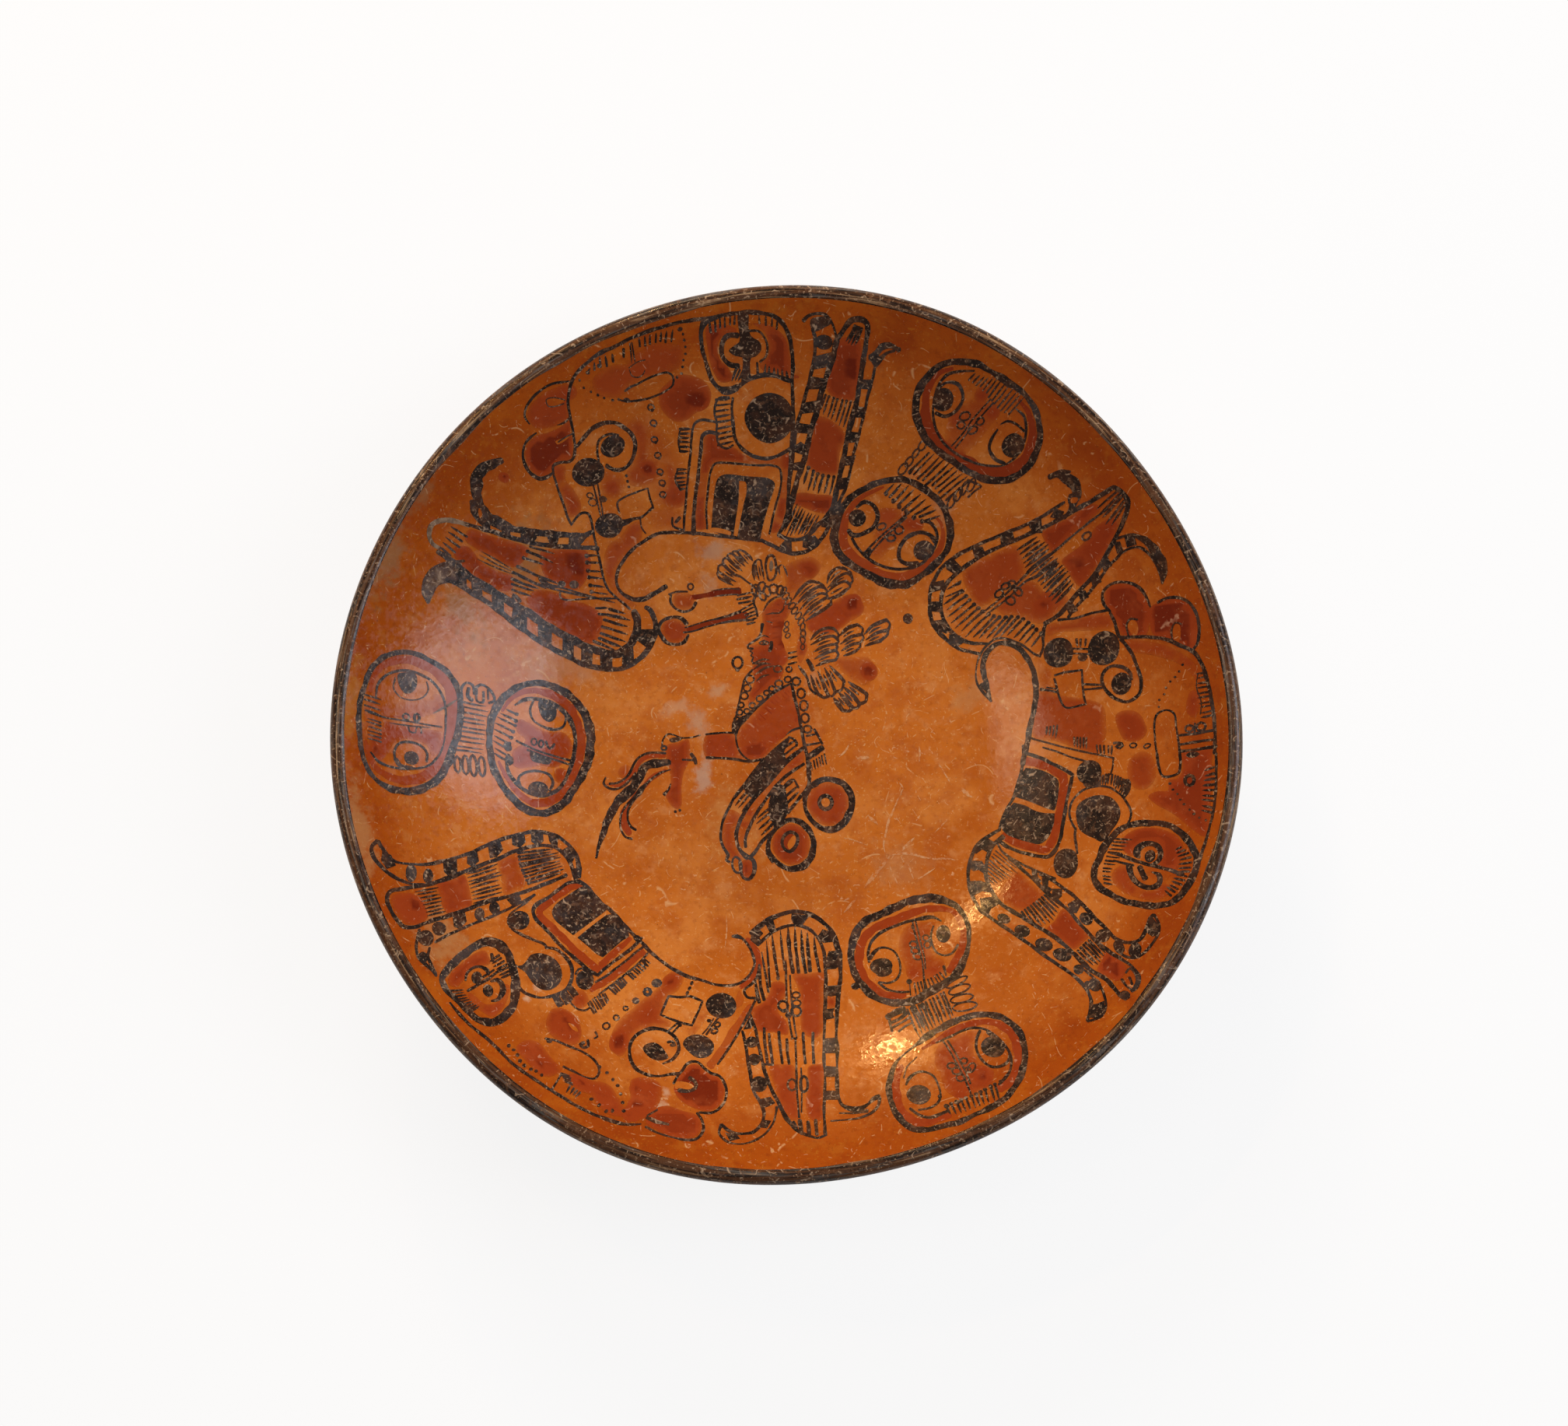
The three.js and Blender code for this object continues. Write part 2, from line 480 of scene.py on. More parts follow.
def burnishedSurface(tree, coords, colour, finish, bare=None):
    # rubbed with a pebble while leather hard: slow hollows that break up a glint, and fine grain between them
    hollows = addNode(tree, "ShaderNodeTexNoise", inputs={
        "Vector": coords, "Scale": 1000 / finish["hollowSize"], "Detail": 2, "Roughness": 0.5})
    grain = addNode(tree, "ShaderNodeTexNoise", inputs={
        "Vector": coords, "Scale": 1000 / finish["grainSize"], "Detail": 4, "Roughness": 0.6})
    smooth, dull = finish["roughness"]  # between two values of the grain noise it goes from smooth to dull
    rough = addNode(tree, "ShaderNodeMapRange", inputs={0: grain, 1: 0.42, 2: 0.60, 3: smooth, 4: dull})
    if bare:
        rough = addNode(tree, "ShaderNodeMix", {"data_type": "FLOAT"}, {
            0: bare, 2: rough, 3: bareClay["roughness"]})
    slow = addNode(tree, "ShaderNodeBump", inputs={
        "Strength": 1.0, "Distance": finish["hollowDepth"] * mm, "Height": hollows})
    fine = addNode(tree, "ShaderNodeBump", inputs={
        "Strength": 1.0, "Distance": finish["grainDepth"] * mm, "Height": grain, "Normal": slow})
    shader = addNode(tree, "ShaderNodeBsdfPrincipled", inputs={
        "Base Color": colour, "Roughness": rough, "IOR": 1.48, "Specular IOR Level": finish["shine"],
        "Normal": fine})
    addNode(tree, "ShaderNodeOutputMaterial", inputs={0: shader})


# Iron-rich orange slip over a pale clay. The eye gets a warm orange that clouds to brown where the slip
# pooled and to tan where it is thin, with pinhole pits painted as dark spots of shade, and short pale
# scratches.
# Pits and grain are drawn at 1 to 2.4 mm, coarser than real, to show.
orangeSlip = {
    "body": "#BD681F",
    # deeper orange towards the lip, multiplied in: mm from the middle where it starts, where it is full,
    # strength
    "nearLip": ("#DAB85A", 130, 160, 1.0),
    "mottling": (
        ("#A4500C", 62, 3, 0.44, 0.64, 0.60),  # slip pooled
        ("#C97B34", 30, 4, 0.48, 0.66, 0.70),  # slip thin
        ("#A64E12", 13, 5, 0.50, 0.66, 0.50),
        ("#C8854C", 7, 5, 0.53, 0.70, 0.50),
        ("#9A4C12", 2.6, 4, 0.50, 0.70, 0.40),
        ("#D39C5E", 1.2, 3, 0.58, 0.74, 0.55),  # pale grit through the slip
        ("#5E3216", 1.1, 3, 0.66, 0.76, 0.60),  # pits: painted shade in small hollows
    ),
    # colour, bend in mm, width as noise, patch in mm, noise value where it starts, where it is full, strength
    "scratches": (
        ("#D9AC78", 26, 0.006, 5, 0.53, 0.60, 0.58),
        ("#D6A874", 13, 0.008, 3, 0.55, 0.62, 0.62),
        ("#DAB084", 7, 0.012, 1.8, 0.56, 0.64, 0.58),
    ),
    "roughness": (0.05, 0.24),
    "shine": 0.36,
    "hollowSize": 9,
    "hollowDepth": 0.10,
    "grainSize": 2.4,
    "grainDepth": 0.055,
}

# Buff clay where the slip ran out or wore off, under the base and towards the foot. The eye gets a dry, pale,
# matt face.
bareClay = {
    "body": "#B98A5E",
    "mottling": (
        ("#8E623C", 16, 3, 0.46, 0.70, 0.60),
        ("#6E4A2E", 2, 3, 0.62, 0.76, 0.50),
        ("#D6B48C", 3, 2, 0.58, 0.72, 0.40),
    ),
    "roughness": 0.72,
    "edgePatch": 14,  # mm, how ragged the slip's edge is
    "underBase": 0.75,  # how bare the clay is under the base, before the ragged edge is added
    "slipStarts": 6,  # mm inside the foot
    "slipFull": 0.45,  # share of the wall over which it thickens
}


def orangeCoat(tree, coords):
    deep, start, full, strength = orangeSlip["nearLip"]
    away = addNode(tree, "ShaderNodeVectorMath", {"operation": "LENGTH"}, {0: coords}).outputs["Value"]
    share = addNode(tree, "ShaderNodeMapRange", inputs={0: away, 1: start * mm, 2: full * mm, 4: strength})
    slip = mottle(tree, coords, linear(orangeSlip["body"]), orangeSlip["mottling"])
    slip = addNode(tree, "ShaderNodeMix", {"data_type": "RGBA", "blend_type": "MULTIPLY"}, {
        0: share, 6: slip, 7: linear(deep)})
    return scratch(tree, coords, slip, orangeSlip["scratches"])


def orangeSlipMaterial():
    material, tree = newMaterial("earthenware, orange slip, burnished")
    coords = addNode(tree, "ShaderNodeTexCoord").outputs["Object"]
    foot = addNode(tree, "ShaderNodeAttribute", {"attribute_name": "bare"}).outputs["Fac"]
    edge = addNode(tree, "ShaderNodeTexNoise", inputs={
        "Vector": coords, "Scale": 1000 / bareClay["edgePatch"], "Detail": 4, "Roughness": 0.6})
    worn = addNode(tree, "ShaderNodeMath", {"operation": "ADD"}, {0: foot, 1: edge})
    bare = addNode(tree, "ShaderNodeMapRange", {"interpolation_type": "SMOOTHSTEP"}, {
        0: worn, 1: 0.88, 2: 1.12})
    clay = mottle(tree, coords, linear(bareClay["body"]), bareClay["mottling"])
    slip = stain(tree, coords, orangeCoat(tree, coords))
    colour = addNode(tree, "ShaderNodeMix", {"data_type": "RGBA"}, {0: bare, 6: slip, 7: clay})
    burnishedSurface(tree, coords, colour, orangeSlip, bare)
    return material


# Lime crust and rubbed patches on the orange, where the plate lay in the ground. The eye gets dull grey-tan
# smudges.
smudgeEdge = 5  # mm, how ragged they are
smudges = (  # middle in mm, half width, half height, turn in degrees, colour, strength
    (-32, 8, 7, 11, 20, "#B3937A", 0.55),
    (-30, -10, 6, 13, -10, "#B39A86", 0.60),
    (-27, 75, 11, 8, 10, "#A98A74", 0.55),
    (-29, 62, 6, 8, 0, "#B08F74", 0.50),
    (44, -44, 20, 16, -20, "#B88A5E", 0.25),
    (-42, 15, 11, 4, 25, "#C09C7C", 0.45),
    (-25, 22, 6, 4, 20, "#B99878", 0.50),
    (-57, -16, 5, 9, -30, "#B58E68", 0.40),
    (-146, 60, 8, 24, -22, "#8E6C48", 0.60),
    (-136, 88, 10, 14, -30, "#8A6844", 0.55),
    (-154, -36, 8, 34, 14, "#AE7C4C", 0.60),
    (-157, 10, 6, 26, -4, "#B57C38", 0.50),
    (-124, -76, 15, 19, 30, "#AC8658", 0.45),
    (10, 26, 7, 4, 10, "#B08C6C", 0.40),
    (-98, 70, 18, 26, -30, "#94683E", 0.60),
    (-120, 48, 12, 20, 25, "#99714C", 0.55),
    (-84, 30, 26, 18, 10, "#B98A68", 0.40),
    (60, 88, 6, 9, 10, "#A8836A", 0.40),
    (-20, -30, 16, 22, 15, "#C08A4E", 0.40),
    (70, 20, 14, 9, 30, "#B4885C", 0.35),
    (-90, -92, 3.4, 2.8, 0, "#CDAE90", 0.85),
    (-94, -97, 2.6, 2.6, 0, "#CDAE90", 0.85),
    (-46, -136, 5, 3, 20, "#C2A184", 0.65),
    (-43, -131, 3, 3, 0, "#C2A184", 0.60),
    (-77, -104, 2.4, 3.4, 30, "#D0B69C", 0.85),
)


def stain(tree, coords, colour):
    ragged = addNode(tree, "ShaderNodeTexNoise", inputs={
        "Vector": coords, "Scale": 1000 / smudgeEdge, "Detail": 4, "Roughness": 0.65})
    for x, y, wide, tall, turn, patch, strength in smudges:
        place = addNode(tree, "ShaderNodeMapping", {"vector_type": "TEXTURE"}, {
            "Vector": coords, "Location": (x * mm, y * mm, 0), "Rotation": (0, 0, math.radians(turn)),
            "Scale": (wide * mm, tall * mm, 1)})
        near = addNode(tree, "ShaderNodeTexGradient", {"gradient_type": "SPHERICAL"}, {"Vector": place})
        near = near.outputs["Fac"]
        broken = addNode(tree, "ShaderNodeMath", {"operation": "MULTIPLY_ADD"}, {0: near, 1: 0.5, 2: ragged})
        amount = addNode(tree, "ShaderNodeMapRange", {"interpolation_type": "SMOOTHSTEP"}, {
            0: broken, 1: 0.60, 2: 0.95, 4: strength})
        inside = addNode(tree, "ShaderNodeMath", {"operation": "GREATER_THAN"}, {0: near, 1: 0.0})
        amount = addNode(tree, "ShaderNodeMath", {"operation": "MULTIPLY"}, {0: amount, 1: inside})
        colour = addNode(tree, "ShaderNodeMix", {"data_type": "RGBA"}, {
            0: amount, 6: colour, 7: linear(patch)})
    return colour


# Lime that rootlets left on the face. The eye gets thin, broken, pale tan lines that branch.
rootCrust = {
    "colour": "#CFA67C",
    "crumbs": (1.6, 4, 0.36, 0.60, 0.75, 0),  # as in clouds()
}


def rootMarkMaterial():
    material, tree = newMaterial("lime crust, etched by rootlets")
    coords = addNode(tree, "ShaderNodeTexCoord").outputs["Object"]
    crust = addNode(tree, "ShaderNodeAttribute", {"attribute_name": "slip"}).outputs["Fac"]
    crumbs = clouds(tree, coords, *rootCrust["crumbs"])
    cover = addNode(tree, "ShaderNodeMath", {"operation": "MULTIPLY"}, {0: crust, 1: crumbs})
    colour = addNode(tree, "ShaderNodeMix", {"data_type": "RGBA"}, {
        0: cover, 6: orangeCoat(tree, coords), 7: linear(rootCrust["colour"])})
    burnishedSurface(tree, coords, colour, orangeSlip)
    return material


# Red iron-oxide slip, one thin wash over the orange. The eye gets a brick red that lets the orange through at
# its edges and where it was brushed thin, and goes dark where the brush was lifted.
redSlip = {
    "full": "#93380F",
    "pooled": "#6A1E04",
    "mottling": (
        ("#A44A20", 12, 3, 0.50, 0.72, 0.50),
        ("#7C2C0C", 3.5, 4, 0.50, 0.72, 0.45),
        ("#B77A54", 1.3, 2, 0.66, 0.78, 0.45),  # rubbed through to the orange and the clay
    ),
    "scratches": (
        ("#D8A888", 16, 0.009, 4, 0.54, 0.61, 0.50),
        ("#D8A888", 7, 0.012, 2, 0.56, 0.63, 0.45),
    ),
    "roughness": (0.05, 0.24),
    "shine": 0.36,
    "hollowSize": 9,
    "hollowDepth": 0.10,
    "grainSize": 2.4,
    "grainDepth": 0.055,
}


def redSlipMaterial():
    material, tree = newMaterial("iron-red slip, brushed thin, burnished")
    coords = addNode(tree, "ShaderNodeTexCoord").outputs["Object"]
    slip = addNode(tree, "ShaderNodeAttribute", {"attribute_name": "slip"}).outputs["Fac"]
    pooled = addNode(tree, "ShaderNodeMapRange", {"interpolation_type": "SMOOTHSTEP"}, {
        0: slip, 1: 0.75, 2: 1.0})
    red = addNode(tree, "ShaderNodeMix", {"data_type": "RGBA"}, {
        0: pooled, 6: linear(redSlip["full"]), 7: linear(redSlip["pooled"])})
    red = scratch(tree, coords, mottle(tree, coords, red, redSlip["mottling"]), redSlip["scratches"])
    cover = addNode(tree, "ShaderNodeMapRange", {"interpolation_type": "SMOOTHSTEP"}, {
        0: slip, 1: 0.0, 2: 0.75})
    colour = addNode(tree, "ShaderNodeMix", {"data_type": "RGBA"}, {
        0: cover, 6: orangeCoat(tree, coords), 7: red})
    burnishedSurface(tree, coords, colour, redSlip)
    return material


# Brown-black slip of iron and manganese, the last coat and the first to wear. The eye gets a charcoal that
# goes brown in patches and grey in others, where a sheen is painted in, with clusters of short tan scratches
# and flakes, drawn coarser than real.
blackSlip = {
    "full": "#21150F",
    "thin": "#4E2E1A",
    "gone": "#A48A6E",
    "mottling": (
        ("#45291A", 8, 4, 0.44, 0.64, 0.80),
        ("#4A4341", 14, 4, 0.50, 0.68, 0.60),  # painted grey sheen, in patches
        ("#6E4C34", 2.2, 5, 0.52, 0.68, 0.65),
        ("#A88A6C", 1.2, 4, 0.59, 0.67, 0.70),  # flaked specks
    ),
    "scratches": (
        ("#B2967A", 5, 0.028, 2.4, 0.53, 0.59, 0.85),
        ("#8B735E", 3, 0.045, 3.4, 0.50, 0.60, 0.60),
    ),
    "roughness": (0.18, 0.38),
    "shine": 0.42,
    "hollowSize": 9,
    "hollowDepth": 0.10,
    "grainSize": 2.4,
    "grainDepth": 0.05,
}


def blackSlipMaterial():
    material, tree = newMaterial("brown-black slip, brushed, worn")
    coords = addNode(tree, "ShaderNodeTexCoord").outputs["Object"]
    slip = addNode(tree, "ShaderNodeAttribute", {"attribute_name": "slip"}).outputs["Fac"]
    thick = addNode(tree, "ShaderNodeMapRange", inputs={0: slip, 1: 0.35, 2: 0.9})
    black = addNode(tree, "ShaderNodeMix", {"data_type": "RGBA"}, {
        0: thick, 6: linear(blackSlip["thin"]), 7: linear(blackSlip["full"])})
    gone = addNode(tree, "ShaderNodeMapRange", inputs={0: slip, 1: 0.4, 2: 0.0, 3: 0.0, 4: 1.0})
    black = addNode(tree, "ShaderNodeMix", {"data_type": "RGBA"}, {
        0: gone, 6: black, 7: linear(blackSlip["gone"])})
    colour = scratch(tree, coords, mottle(tree, coords, black, blackSlip["mottling"]), blackSlip["scratches"])
    burnishedSurface(tree, coords, colour, blackSlip)
    return material


# The same slip laid round the lip with a full brush, handled and chipped. The eye gets strands of brown and
# buff that run along the edge, and grey strands, a painted reflection of the lamps on the glossy lip.
rimSlip = {
    "strands": (  # colour, detail, noise value where it starts, where it is full, strength
        ("#5A3820", 2, 0.40, 0.58, 0.80),
        ("#66635F", 3, 0.53, 0.67, 0.60),  # painted grey reflection along the glossy lip
        ("#A98763", 4, 0.56, 0.69, 0.75),  # rubbed to the clay
    ),
}


def rimSlipMaterial():
    material, tree = newMaterial("brown-black slip, brushed along the lip, rubbed")
    coords = addNode(tree, "ShaderNodeTexCoord").outputs["Object"]
    along = addNode(tree, "ShaderNodeAttribute", {"attribute_name": "strand"}).outputs["Vector"]
    colour = linear(blackSlip["full"])
    for index, (patch, detail, low, high, strength) in enumerate(rimSlip["strands"]):
        amount = clouds(tree, along, 1000, detail, low, high, strength, 3 * index)
        colour = addNode(tree, "ShaderNodeMix", {"data_type": "RGBA"}, {
            0: amount, 6: colour, 7: linear(patch)})
    colour = mottle(tree, coords, colour, blackSlip["mottling"][2:])
    colour = scratch(tree, coords, colour, blackSlip["scratches"][:1])
    burnishedSurface(tree, coords, colour, blackSlip)
    return material


# Body

def buildBody(material):
    inX, inZ = faceOfWall(np.linspace(1, 0, plate["wallSteps"] + 1), 1)
    outX, outZ = faceOfWall(np.linspace(0, 1, plate["wallSteps"] + 1), -1)
    start = math.atan2(outZ[-1] - lipCentre[1], outX[-1] - lipCentre[0])
    turns = start + np.linspace(0, math.pi, plate["lipSteps"] + 1)[1:-1]
    lipX, lipZ = lipCentre[0] + lipRadius * np.cos(turns), lipCentre[1] + lipRadius * np.sin(turns)
    flat = np.linspace(0, baseRadius, plate["floorSteps"] + 1)
    radii = np.concatenate((flat[1:-1], outX, lipX, inX, flat[-2:0:-1]))
    heights = np.concatenate((flat[1:-1] * 0, outZ, lipZ, inZ, flat[-2:0:-1] * 0 + plate["floorThickness"]))
    lip = len(flat) - 2 + len(outX) + len(lipX) // 2  # the ring along the top of the lip
    count, rings = plate["stepsRound"], len(radii)
    angle = np.arange(count) * 2 * math.pi / count
    points = [(0, 0, 0), (0, 0, plate["floorThickness"])]
    for radius, height in zip(radii, heights):
        share = waverShare(radius)
        wide = radius + share * waves(plate["rimOutOfRound"], angle)
        tall = height + share * waves(plate["rimOutOfLevel"], angle)
        points += list(zip(wide * np.cos(angle), wide * np.sin(angle), tall))
    faces, inside, top = [], [], 2 + (rings - 1) * count
    for step in range(count):
        nextStep = (step + 1) % count
        faces += [(0, 2 + nextStep, 2 + step), (1, top + step, top + nextStep)]
        inside += [False, True]
        for ring in range(rings - 1):
            a, b = 2 + ring * count, 2 + (ring + 1) * count
            faces.append((a + step, a + nextStep, b + nextStep, b + step))
            inside.append(ring >= lip)
    points = np.array(points)
    plan = points[:, :2] / plate["rimDiameter"]
    uvs = []  # the painted face gets most of the picture, the underside a small disc in the corner
    for face, up in zip(faces, inside):
        uvs += [plan[i] * 0.74 + 0.38 if up else plan[i] * 0.38 + 0.795 for i in face]
    # slip ran out under the base and thins towards the foot
    under = np.repeat(np.arange(rings) < lip, count)
    share = (radii - baseRadius + bareClay["slipStarts"]) / (wallRun * bareClay["slipFull"])
    share = np.repeat(np.clip(share, 0, 1), count)
    bare = np.concatenate(([bareClay["underBase"], 0], np.where(under, bareClay["underBase"] - share, 0)))
    body = addPiece("fired_clay_body", points, faces, material, {"bare": bare}, uvs)
    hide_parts("fired_clay_plate")
    print("body:", len(points), "points")


# Top group of the border: open jaw at the left, the creature's head, box with disc and face, second jaw

def topJawAndHead(black, red):
    # lower border of the jaw, two rails with blocks between them, and the curl at its tip
    outer = ("-125.4,58.1,1.6 -122.4,57.2,1.8 -117,54.8 -111,51.5 -105,47.6 -99,43.4 -93,39.5 -87,36.5 "
             "-81,33.5 -75,31.1 -69,30.2 -63,29.9,1.9 -57,32.6,1.9 -52.2,37.1,2.1 -49.2,42.8,2 "
             "-49.2,48.2,1.8 -51,52.4 -52.8,53.6,1.4")
    inner = ("-128.1,67.4,1.6 -125.4,65.9,2 -122.4,63.8 -119.4,61.4 -115.2,59 -111,56.6 -106.2,54.2 "
             "-101.4,51.8 -96,48.8 -90,45.2 -84,42.2 -78,39.2 -72,37.1 -67.2,35.9 -63,35.6 -60,38 -57.6,41 "
             "-56.1,44.6 -55.8,48.2 -57,52,2.2")
    line(black, outer, 2.0)
    line(black, inner, 3.0)
    fill(black, "-120,64.4 -124,64 -129,61.8 -132,58.4 -133.4,53.1 -131.7,48.9 -130.1,52.8 -128.3,55.8 "
                "-125.4,57.1 -121,57.6", tone=0)
    line(black, "-119,65.4 -123.9,64.1 -129.1,61.8 -132,58.4 -133.4,53.1,1.4 -131.7,48.9,1", 1.1, tone=0.5)
    line(black, "-131.7,48.9 -130.1,52.8 -128.3,55.8 -125.4,57.1 -121,57.4", 0.9, tone=0.4)
    for x, y, size in ((-129.4, 57.6, 1.5), (-125.4, 60.8, 1.8), (-131.6, 52.4, 0.9), (-121.6, 61.2, 1.6)):
        disc(black, x, y, size, size * 0.8, 30, tone=0.75)
    blackBlocks(black, "-121.9,62 -121.9,57.4 -118.2,55.2 -118.2,60.4",
                       "-116.6,59.5 -116.4,54.3 -112.7,52.2 -112.7,57",
                       "-109.4,55.6 -109.2,50.6 -105,47.8 -105,53.6",
                       "-101.6,51.5 -102.4,45.8 -96.8,41.6 -96.6,49",
                       "-92.8,46 -92.6,39.4 -87.8,36.6 -87.6,43", "-83.6,41.6 -83.8,34.8 -79.6,33 -79.6,39",
                       "-76.8,38.6 -76.8,32 -72.8,31 -72.4,37", "-70,36.6 -69.6,30.4 -65.2,30.2 -65.2,35.6",
                       "-61.4,37 -61.6,30.8 -57,32.8 -57.4,38.6",
                       "-55.6,45.2 -56,41 -51.4,37.6 -49.8,41 -49.6,45.4")
    # upper border with its hooked curl
    line(black, "-105,101.6,2.4 -108.6,100.1,3.2 -111.6,98,3.8 -113.7,95.2,4 -114,91 -113.9,87.4,3.6 "
                "-112.6,84 -109.4,81.4 -105.6,79.8 -101.4,78.6,2.6 -93,78.2,2.4 -84,78.2,2.2 -76.2,78.4,2 "
                "-72.6,80,1.4", 4)
    line(black, "-115.6,86.4 -115.2,83 -113,80 -110.4,79", 2)
    fill(black, "-113.3,84.6 -112.5,83.6 -112.3,81.6 -113,80.9 -113.7,82.4", "gap")
    line(black, "-127.4,68.8 -130,70 -131,72.4 -130.4,75.8 -127.4,78.2,1.8 -123,78.9,1.8 -117,78.2", 1.5,
                tone=0.12)
    line(black, "-118,78.4,0.8 -111,77.2 -105,76 -99,75 -93,74.1 -84,74 -78,74.2 -70.4,74.2", 1.7)
    blackBlocks(black, "-112.4,79.6 -112.6,76.4 -109.6,76.2 -109.4,80",
                       "-105.4,80 -105.6,75.6 -102.6,75 -102.2,79",
                       "-98.8,79 -98.6,74.6 -94.4,74 -92.8,76.4 -93.8,79",
                       "-89.8,78.6 -88,74.2 -85.6,74.2 -84.6,77.6",
                       "-81,78.6 -81.4,74.2 -77.6,74.2 -74.6,77.8")
    # hatching inside the jaw
    comb(black, "-123.4,76.8 -127.2,69.2", "-117.8,74 -123.6,66.2", 5, 0.9, "start")
    comb(black, "-112.8,69.4 -114.4,66.6", "-101.8,64.2 -102.6,62.8", 3, 0.6, "both", tone=0.6)
    comb(black, "-96.2,71.2 -97.8,68.6", "-86.6,67.8 -90,66.8", 2, 0.9, bead=0.8)
    line(black, "-95.4,73 -86.6,71.2", 0.8, "end", tone=0.8)
    comb(black, "-99.8,65.4 -101.6,63 -102,60.8", "-84.8,60.4 -88,58 -92.4,58.2", 3, 1.0, bead=0.7)
    line(black, "-101.4,63 -91,59.4 -78,57 -66,55.6", 0.8, "both")
    comb(black, "-102.2,59 -102,57", "-93.4,57 -95.2,55.2", 2, 0.9)
    line(black, "-91.8,62,1.6 -89.8,60,1.8 -84,59.2,0.8 -75,57 -64.2,54.8", 0.9, "end")
    line(black, "-84.6,57.4 -84.4,55.4 -82,54.8 -79,55.2 -72,56 -64,56.4", 0.7)
    disc(black, -84, 60.4, 1.6, 1.3, 20, tone=0.8)
    disc(black, -79.4, 60.6, 1.9, 1.5, 10, tone=0.4)
    comb(black, "-74.7,71.3 -74.2,66 -73,58.4", "-70.3,71.7 -69,65.6 -67,57.8", 6, 0.8, bead=0.9)
    comb(black, "-71.4,52.5 -70.4,50.4", "-67,52.8 -66.8,50.2", 2, 0.9)
    comb(black, "-66.2,52.4 -66.8,50.6 -68.4,47.9 -69,45.5 -69.2,43.7 -70,41.4 -72.2,40.1",
         "-60,50.8 -58.2,47.8 -59.6,44.2 -58.8,42 -60,40.2 -61.4,38.2 -63.8,36.8", 7, 1.2, bead=0.7)
    line(black, "-101.6,53.2 -101.4,55.2 -99.2,53", 1.4)
    # red washes in the jaw
    for wash in ("-117,76.6 -108,75 -101.4,74.2 -95.6,72 -97.4,68 -101.4,65 -108,67.4 -114,69.8 -118.4,72.8",
                 "-123,69 -117.6,70.6 -112.8,65.8 -108,63.4 -101.8,61.8 -101.8,57.6 -104.6,56 -111,58 "
                 "-117,61.2 -121.4,65.2",
                 "-91.2,71.8 -84,73 -74.6,73 -73,69.2 -74.6,63.2 -78.4,58.8 -84,59.6 -89.4,62 -91.8,68",
                 "-93.4,57.4 -84,56.8 -81,54.8 -75,53.8 -69.4,50.2 -69.4,44.6 -72.4,39.4 -77.4,40 -84,43.6 "
                 "-93,49 -97,53.4"):
        fill(red, wash, tone=0.85, fade=1.4)
    fill(red, "-82,72.4 -75,72.6 -73.2,69 -75,64 -80,64 -83,68", tone=1, fade=1.5)

    # head: lobed brow, nose and profile line
    line(black, "-79.9,127.3 -79.4,129.4 -77.3,133.1 -73.5,136.6 -68.7,140.3,1.3 -63.4,142.7 -58.1,145.4 "
                "-51.7,148.2,1.2 -45.3,150.2 -38.3,152.1 -31.4,153.3 -25,153.9,0.9", 1.1)
    line(black, "-79.9,130.4,0.5 -82.6,129.9 -86.3,128.9 -90.6,126.2 -93.8,123 -95.9,119.8 -96.2,117.1 "
                "-94.6,115,0.5", 0.8)
    line(black, "-79.9,118.7 -82,116.8 -84.7,115.6", 0.7, "end", tone=0.6)
    line(black, "-92.2,112.3,0.5 -94.9,110.2 -96.7,107.5 -97.3,104.3,0.9 -96.5,101.1,1.2 -94.6,98.5,1.3 "
                "-91.7,96.9,1.4 -88.5,97.9,1.2 -86.6,99.5", 0.8)
    line(black, "-79.9,127.3 -80.5,124.1 -79.9,118.7 -79,114.5 -78.6,111.3 -78.3,108.6 -78.9,105.4 "
                "-80.5,103.8 -83.7,103.3 -86.4,101.7 -86.4,99", 1.0)
    line(black, "-86.3,98.4 -84.7,93.7 -83.1,89.4 -81.5,84.6 -80.2,81.9 -80.2,81.9 -78.3,84.6 -76.2,86.5 "
                "-74.1,86.5 -73,84.6 -72.2,80.3 -71.1,75 -69.6,69 -68.6,64 -66.8,59.6 -64,57 -60.6,54.4 "
                "-58.6,52.6", 0.9)
    line(black, "-81.6,124.2 -85.4,124.6 -88.4,123.6 -87.8,121.6 -85,121.8 -82,123", 0.4, tone=0.5)
    line(black, "-79.4,113.2 -82.2,111.6 -84.4,110", 0.5, tone=0.6)
    fill(red, "-79.9,129.6 -83.7,128.4 -87.9,126.4 -91.7,123.6 -94.5,120.3 -95.1,116.6 -92.2,113.9 "
              "-87.4,114.5 -82.6,116.6 -80.2,118.2 -80.7,123 -77.3,126 -77.6,128.7", tone=0.75, fade=1.5)
    fill(red, "-79.9,117.7 -83.7,115 -87.9,112.9 -92.2,111.3 -95.1,108.6 -96.4,105.4 -96.1,102.2 -93.9,99 "
              "-91.1,97.8 -87.9,99 -86.3,101.1 -83.7,103.5 -80.3,104.5 -79.2,107 -79.2,110.7 -79.9,113.9",
              tone=0.95, fade=1.5)
    fill(red, "-81.8,124 -85.4,124.4 -88.2,123.4 -87.6,121.9 -84.6,122.2", "gap")
    fill(red, "-79.9,112.8 -83,111.4 -85.6,110 -84.8,109.2 -82,110.6", "gap")
    fill(red, "-86.4,101.3 -82.1,102.2 -82,97.4 -79.4,94.7 -76.5,89.4 -77,86.5 -79.4,84.7 -81,84.7 "
              "-82.6,89.4 -84.2,93.7 -85.8,97.4", tone=0.7, fade=1.6)
